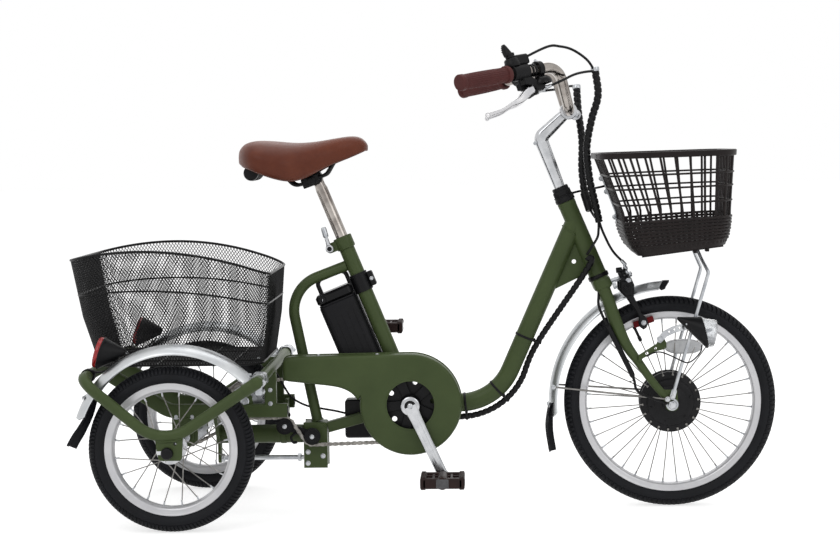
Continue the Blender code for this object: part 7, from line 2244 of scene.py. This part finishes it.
rivets = joined(*(
    turned([
        (0, -0.004), (0.0024, -0.004), (0.0024, 0.0008), (0.0016, 0.0014),
        (0, 0.0014)], spot, (-0.55, -0.8, 0), 14)
    for spot in ((0.52, -0.1128, 0.3872), (0.5312, -0.118, 0.3822))))
glass_rows = []
for share, radius in (
        (0.04, 0.0283), (0.1, 0.0289), (0.5, 0.0284), (0.86, 0.0274), (0.95, 0.0264), (1.0, 0.024),
        (1.03, 0.012), (1.035, 0.0006)):
    glass_rows.append(ring_at(
        LAMP.lerp(GLASS_MID, share),
        LAMP_UP.lerp(GLASS_UP, min(share, 1)).normalized(), radius))
lamp_glass = walled(glass_rows)
lamp_bowl = walled([
    ring_at(LAMP + LAMP_WAY * f, LAMP_UP, r)
    for f, r in ((0.0046, 0.027), (0.0028, 0.02), (0.002, 0.01), (0.0018, 0.0006))])
bulb = turned([
    (0, 0), (0.003, 0), (0.003, 0.004), (0.0022, 0.005), (0.0022, 0.014),
    (0, 0.0155)], LAMP + LAMP_WAY * 0.002, LAMP_WAY, 16)
LUG = [
    (0.429, 0.32), (0.4648, 0.3425), (0.47, 0.358), (0.479, 0.356), (0.4845, 0.344), (0.485, 0.335),
    (0.48, 0.3308), (0.4632, 0.3269), (0.436, 0.312), (0.433, 0.306), (0.427, 0.306)]
lug = slab(
    LUG, -0.062, -0.058, on_side, 0.0008,
    holes=[disc(r, 16, x, z) for x, z, r in ((0.4625, 0.333, 0.0026), (0.445, 0.3228, 0.0032))])
STRAP_FOOT = Vector((0.469, -0.064, 0))
STRAP_WAY = Vector((0.0525, -0.0285, 0)).normalized()
STRAP = [
    (0.004, 0.344), (0.017, 0.3575), (0.0335, 0.3655), (0.048, 0.3705), (0.06, 0.3725), (0.06, 0.3855),
    (0.0445, 0.3835), (0.0285, 0.3785), (0.01, 0.3685), (-0.004, 0.3535), (-0.003, 0.346)]


def on_strap(u, v, level):
    """The upright plate of the lamp strap: u forwards and out along it, v up."""
    return STRAP_FOOT + STRAP_WAY * u + Vector((0, 0, v)) + STRAP_WAY.cross(Vector((0, 0, 1))) * level


strap = slab(
    STRAP, -0.0009, 0.0009, on_strap, 0.0004,
    holes=[disc(0.0022, 16, x, z) for x, z in ((0.0225, 0.368), (0.034, 0.373), (0.045, 0.377))])
lamp_bolts = joined(
    hexagon_bolt((0.4722, -0.0648, 0.3522), -LEFT, 0.01, 0.005, 0.0064),
    hexagon_bolt((0.4716, -0.058, 0.3516), LEFT, 0.008, 0.004, 0.006),
    hexagon_bolt(Vector((0.5185, -0.0915, 0.3788)), (-0.3, 1, 0), 0.008, 0.004, 0.006))
shown(
    "cone_lamp",
    [
        (black, lamp_shell), (glass, lamp_glass), (alloy, lamp_bowl), (olive, lug),
        (steel, joined(strap, lamp_bolts, rivets, bulb))], "steering", "headlamp", slot="black_plastic")

# Cables from the bar
# Black cables from the shifter and both levers gather in two spiral-wrapped bundles before the head tube.
# The left one ends in a plug with a short tail, and the front brake's cable goes on to its caliper.


def evenly(line, step):
    """The same path with points a fixed distance apart."""
    out, left = [line[0].copy()], step
    for a, b in zip(line, line[1:]):
        gap = (b - a).length
        while gap > left:
            a = a + (b - a).normalized() * left
            out.append(a.copy())
            gap -= left
            left = step
        left -= gap
    if (out[-1] - line[-1]).length > 0.4 * step:
        out.append(line[-1].copy())
    return out


WRAP_SIDES, WRAP_PITCH = 18, 0.0115
WRAP_STEP, CABLE_STEP = 0.0013, 0.0015


def wrapped(line, radius, pitch, ridge):
    """A bundle in a spiral wrap: a flat band wound round it with a narrow gap."""
    rows, right, last = [], None, None
    run = 0.0
    for i, p in enumerate(line):
        way = (line[min(i + 1, len(line) - 1)] - line[max(i - 1, 0)]).normalized()
        if right is None:
            right = way.orthogonal().normalized()
        else:
            right = last.rotation_difference(way) @ right
            right = (right - right.dot(way) * way).normalized()
            run += (p - line[i - 1]).length
        last = way
        up = way.cross(right)
        row = []
        for k, a in enumerate(turns(WRAP_SIDES)):
            place = (k / WRAP_SIDES + run / pitch) % 1.0
            height = min(1.0, max(0.0, min(place, 0.8 - place) / 0.1))
            row.append(p + (right * math.cos(a) + up * math.sin(a)) * (radius - ridge * (1 - height)))
        rows.append(row)
    return walled(rows)


GATHER = Vector((0.3529, -0.02, 0.59))
sleeves = {
    "right": [
        (0.3451, -0.045, 0.8994), (0.3508, -0.045, 0.8471), (0.3383, -0.045, 0.801),
        (0.329, -0.045, 0.757), (0.3277, -0.042, 0.7265), (0.3333, -0.036, 0.6758), (0.344, -0.028, 0.63),
        GATHER],
    "left": [
        (0.3125, 0.05, 0.866), (0.315, 0.034, 0.8145), (0.3212, 0.022, 0.757), (0.3205, 0.018, 0.6952),
        (0.3262, 0.008, 0.6437), (0.3345, -0.002, 0.616)]}
SLEEVE_R, CABLE_R, LEAD_R = 0.0079, 0.0026, 0.0014
for word, points in sleeves.items():
    line = evenly(smooth(points, 12), WRAP_STEP)
    made = shown(
        word + "_sleeve",
        [(gloss_black, wrapped(line, SLEEVE_R, WRAP_PITCH, 0.0014))], "steering", slot="black_plastic",
        sharp=60)
    if word == "right":
        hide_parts("cable_sleeves")
leads = {
    "lamp_lead": [
        (0.552, -0.101, 0.344), (0.549, -0.099, 0.329), (0.535, -0.091, 0.3116), (0.5227, -0.085, 0.306),
        (0.5083, -0.079, 0.3114), (0.4899, -0.073, 0.32), (0.4725, -0.068, 0.3258),
        (0.4584, -0.064, 0.324), (0.444, -0.0615, 0.3165)],
    "gear_cable": [
        on_bar(-1, SHIFT_AT + 0.0144) - 0.0225 * under_bar(-1), (0.2454, -0.125, 0.9412),
        (0.2725, -0.105, 0.9428), (0.2992, -0.083, 0.9364), (0.3276, -0.062, 0.918),
        (0.3442, -0.0475, 0.896)],
    "left_tail": [
        (0.3345, -0.002, 0.616), (0.343, -0.0105, 0.6015),
        GATHER + Vector((-0.0006, -0.0004, 0.0006))],
    "front_brake_cable": [GATHER, (0.362, -0.018, 0.565), (0.38, -0.012, 0.53), (0.403, -0.0115, 0.5045)],
    "right_brake_cable": [
        on_bar(-1, PERCH_AT + 0.055) + 0.0377 * under_bar(-1), (0.2772, -0.118, 0.8759),
        (0.2981, -0.098, 0.8861), (0.3165, -0.078, 0.8916), (0.3359, -0.058, 0.8945),
        (0.3452, -0.046, 0.893)],
    "left_brake_cable": [
        on_bar(1, PERCH_AT + 0.055) + 0.0377 * under_bar(1), (0.279, 0.113, 0.865), (0.296, 0.089, 0.869),
        (0.306, 0.067, 0.869), (0.3124, 0.05, 0.864)]}
for name, points in leads.items():
    line = evenly(smooth(points, 14), CABLE_STEP)
    radius = LEAD_R if name == "lamp_lead" else CABLE_R
    made = shown(name, [(black, tube(line, radius, 14))], "steering", slot="black_plastic")
ferrule = [(0, -0.007), (0.0034, -0.007), (0.0036, -0.0062), (0.0036, 0.005), (0.003, 0.0066), (0, 0.007)]
ends = [
    turned(ferrule, points[at], Vector(points[at]) - Vector(points[other]), 18)
    for points, at, other in (
        (leads["gear_cable"], 0, 1), (leads["front_brake_cable"], 3, 2),
        (leads["right_brake_cable"], 0, 1), (leads["left_brake_cable"], 0, 1))]
collars = [
    turned(
        lipped(0.006, 0.0082, 0.0086, 0.004, 0.003), points[0],
        Vector(points[1]) - Vector(points[0]), 24, ring=True) for points in sleeves.values()]
left_end, left_way = Vector(sleeves["left"][-1]), Vector(sleeves["left"][-1]) - Vector(sleeves["left"][-2])
plug = turned([
    (0, -0.036), (0.0086, -0.036), (0.0092, -0.035), (0.0092, -0.02), (0.0086, -0.019), (0.0092, -0.018),
    (0.0092, 0.002), (0.008, 0.004), (0, 0.004)], left_end, left_way, 26)
shown("cable_ends", [(black, plug), (steel, joined(*ends, *collars))], "steering", slot="bare_steel")

# Cables at the head tube
# Below the wraps the cables loop back to the frame, where they are held beside the head tube.
# On the tricycle they bend as the bar turns; here they are one fixed piece that rides on no body.

link = evenly(
    smooth([
        GATHER + Vector((-0.0012, -0.001, 0.003)), (0.351, -0.0275, 0.574), (0.348, -0.033, 0.558),
        (0.336, -0.031, 0.538), steer(-0.0045, -0.026, 0.3475)], 14), CABLE_STEP)
made = shown("steering_loop", [(black, tube(link, CABLE_R, 14))], None, slot="black_plastic")
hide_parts("steering_cables")
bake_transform(made)

# Frame harness
# The same cables in one wrap under the main tube, down to the chain case.
# Three black ties round the tube hold it.

below = []
for a, b, c in zip(main_line, main_line[1:], main_line[2:]):
    way = (c - a).normalized()
    below.append(b + 0.0295 * Vector((-way.z, 0, way.x)))
lead_in = below[0] + 0.075 * (main_line[0] - main_line[1]).normalized()
harness_run = [p for p in below if p.x > 0.023]
harness_line = evenly(
    smooth([steer(-0.006, -0.026, 0.343), steer(-0.012, -0.026, 0.323), lead_in] + harness_run, 6),
    WRAP_STEP)
TIE_R, WRAP_R = 0.0198, 0.0072


def tie(at):
    """A strap round the main tube and the harness."""
    k = min(range(1, len(main_line) - 1), key=lambda j: (main_line[j] - at).length)
    way = (main_line[k + 1] - main_line[k - 1]).normalized()
    hub = main_line[k] + way * (at - main_line[k]).dot(way)
    out = (at - hub).normalized()
    across = way.cross(out)
    gap = (at - hub).length
    lean = math.asin((TIE_R - WRAP_R) / gap)
    loop = []
    for j in range(25):
        a = math.pi / 2 - lean + (math.pi + 2 * lean) * j / 24
        loop.append(hub + out * TIE_R * math.cos(a) + across * TIE_R * math.sin(a))
    for j in range(13):
        a = -math.pi / 2 + lean + (math.pi - 2 * lean) * j / 12
        loop.append(hub + out * (gap + WRAP_R * math.cos(a)) + across * WRAP_R * math.sin(a))
    lock = hub + across * -0.015 + out * (gap * 0.72)
    return joined(
        swept(loop, oblong(0.0046, 0.0013, 0.0005, 2), closed=True, side=way),
        block(lock - Vector((0.003, 0.003, 0.003)), lock + Vector((0.003, 0.003, 0.003)), 0.001, 0.0006))


ties = joined(*(tie(p) for p in (lead_in, below[len(below) // 3], harness_run[-3])))
shown(
    "wrapped_harness",
    [(black, joined(wrapped(harness_line, 0.0065, WRAP_PITCH, 0.001), ties))], "front_frame",
    "frame_harness", slot="black_plastic", sharp=60)

# Rear cable
# The thin black cable from the motor's electronics back to the rear frame, under the end of the chain case.
# It hangs free past the arch; on the tricycle it bends when the front leans, here it is one fixed piece that
# rides on no body.

rear_lead = evenly(
    smooth([
        (-0.1765, 0.03, 0.193), (-0.2, 0.03, 0.1985), (-0.23, 0.03, 0.204), (-0.26, 0.03, 0.2105),
        (-0.289, 0.03, 0.227), (-0.306, 0.03, 0.252), (CROSS.x - 0.004, 0.03, CROSS.z - 0.012)], 12),
    CABLE_STEP)
made = shown("rear_lead", [(black, tube(rear_lead, 0.0022, 12))], None, slot="black_plastic")
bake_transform(made)

# Studio
# A pale seamless floor, four large soft lamps and a camera where the photograph was taken from.

CAMERA_AT = Vector((0.1164, -3.8283, 0.751))
yaw, pitch, roll = math.radians(-1.981), math.radians(-4.147), math.radians(-0.817)
FOCAL_PIXELS, PHOTO_WIDTH, SENSOR = 1858.7, 840, 36.0
ahead = Vector((math.sin(yaw) * math.cos(pitch), math.cos(yaw) * math.cos(pitch), math.sin(pitch)))
level = Vector((math.cos(yaw), -math.sin(yaw), 0))
upright = level.cross(ahead)
right_hand = math.cos(roll) * level + math.sin(roll) * upright
top_hand = -math.sin(roll) * level + math.cos(roll) * upright
lens_data = bpy.data.cameras.new("camera")
lens_data.sensor_width = SENSOR
lens_data.lens = FOCAL_PIXELS / PHOTO_WIDTH * SENSOR
lens_data.clip_end = 100
camera = bpy.data.objects.new("camera", lens_data)
bpy.context.scene.collection.objects.link(camera)
camera.matrix_world = Matrix((right_hand, top_hand, -ahead)).transposed().to_4x4()
camera.matrix_world.translation = CAMERA_AT
bpy.context.scene.camera = camera


def seen_white(tree):
    """1 for rays from the camera or by way of metal or glass, 0 for light that falls on things."""
    path = new_node(tree, "LightPath")
    seen = path.outputs["Is Camera Ray"]
    for kind in ("Is Glossy Ray", "Is Transmission Ray"):
        either = new_node(tree, "Math")
        either.operation = "MAXIMUM"
        tree.links.new(seen, either.inputs[0])
        tree.links.new(path.outputs[kind], either.inputs[1])
        seen = either.outputs[0]
    return seen


world = bpy.data.worlds.new("studio")
bpy.context.scene.world = world
world.use_nodes = True
sky = world.node_tree
air = filled(sky.nodes["Background"], Color=(1, 1, 1, 1))
shown_air = new_node(sky, "MapRange", To_Min=0.5, To_Max=1.0)
sky.links.new(seen_white(sky), shown_air.inputs["Value"])
sky.links.new(shown_air.outputs["Result"], air.inputs["Strength"])

paper = bpy.data.materials.new("floor_paper")
paper.use_nodes = True
sheet_tree = paper.node_tree
paper_shader = filled(
    sheet_tree.nodes["Principled BSDF"], Base_Color=(0.8, 0.8, 0.8, 1), Roughness=0.9,
    Specular_IOR_Level=0.0, Emission_Color=(1, 1, 1, 1))
glow = new_node(sheet_tree, "MapRange", To_Min=0.0, To_Max=0.66)
sheet_tree.links.new(seen_white(sheet_tree), glow.inputs["Value"])
sheet_tree.links.new(glow.outputs["Result"], paper_shader.inputs["Emission Strength"])
ground = bpy.data.meshes.new("floor")
ground.from_pydata([(-30, -30, 0), (30, -30, 0), (30, 30, 0), (-30, 30, 0)], [], [(0, 1, 2, 3)])
ground.materials.append(paper)
floor = bpy.data.objects.new("floor", ground)
bpy.context.scene.collection.objects.link(floor)

for name, at, size, power in (
        ("key_lamp", (-1.8, -3.0, 3.4), 2.6, 30), ("fill_lamp", (2.6, -2.6, 2.2), 2.4, 16),
        ("top_lamp", (0.0, 0.6, 3.8), 3.0, 26), ("rim_lamp", (0.4, 3.4, 2.4), 2.6, 14)):
    lamp_data = bpy.data.lights.new(name, "AREA")
    lamp_data.shape, lamp_data.size, lamp_data.energy = "DISK", size, power
    lamp = bpy.data.objects.new(name, lamp_data)
    bpy.context.scene.collection.objects.link(lamp)
    lamp.location = at
    lamp.rotation_euler = (Vector((-0.05, 0, 0.4)) - Vector(at)).to_track_quat("-Z", "Y").to_euler()
bpy.context.scene.view_settings.view_transform = "Standard"
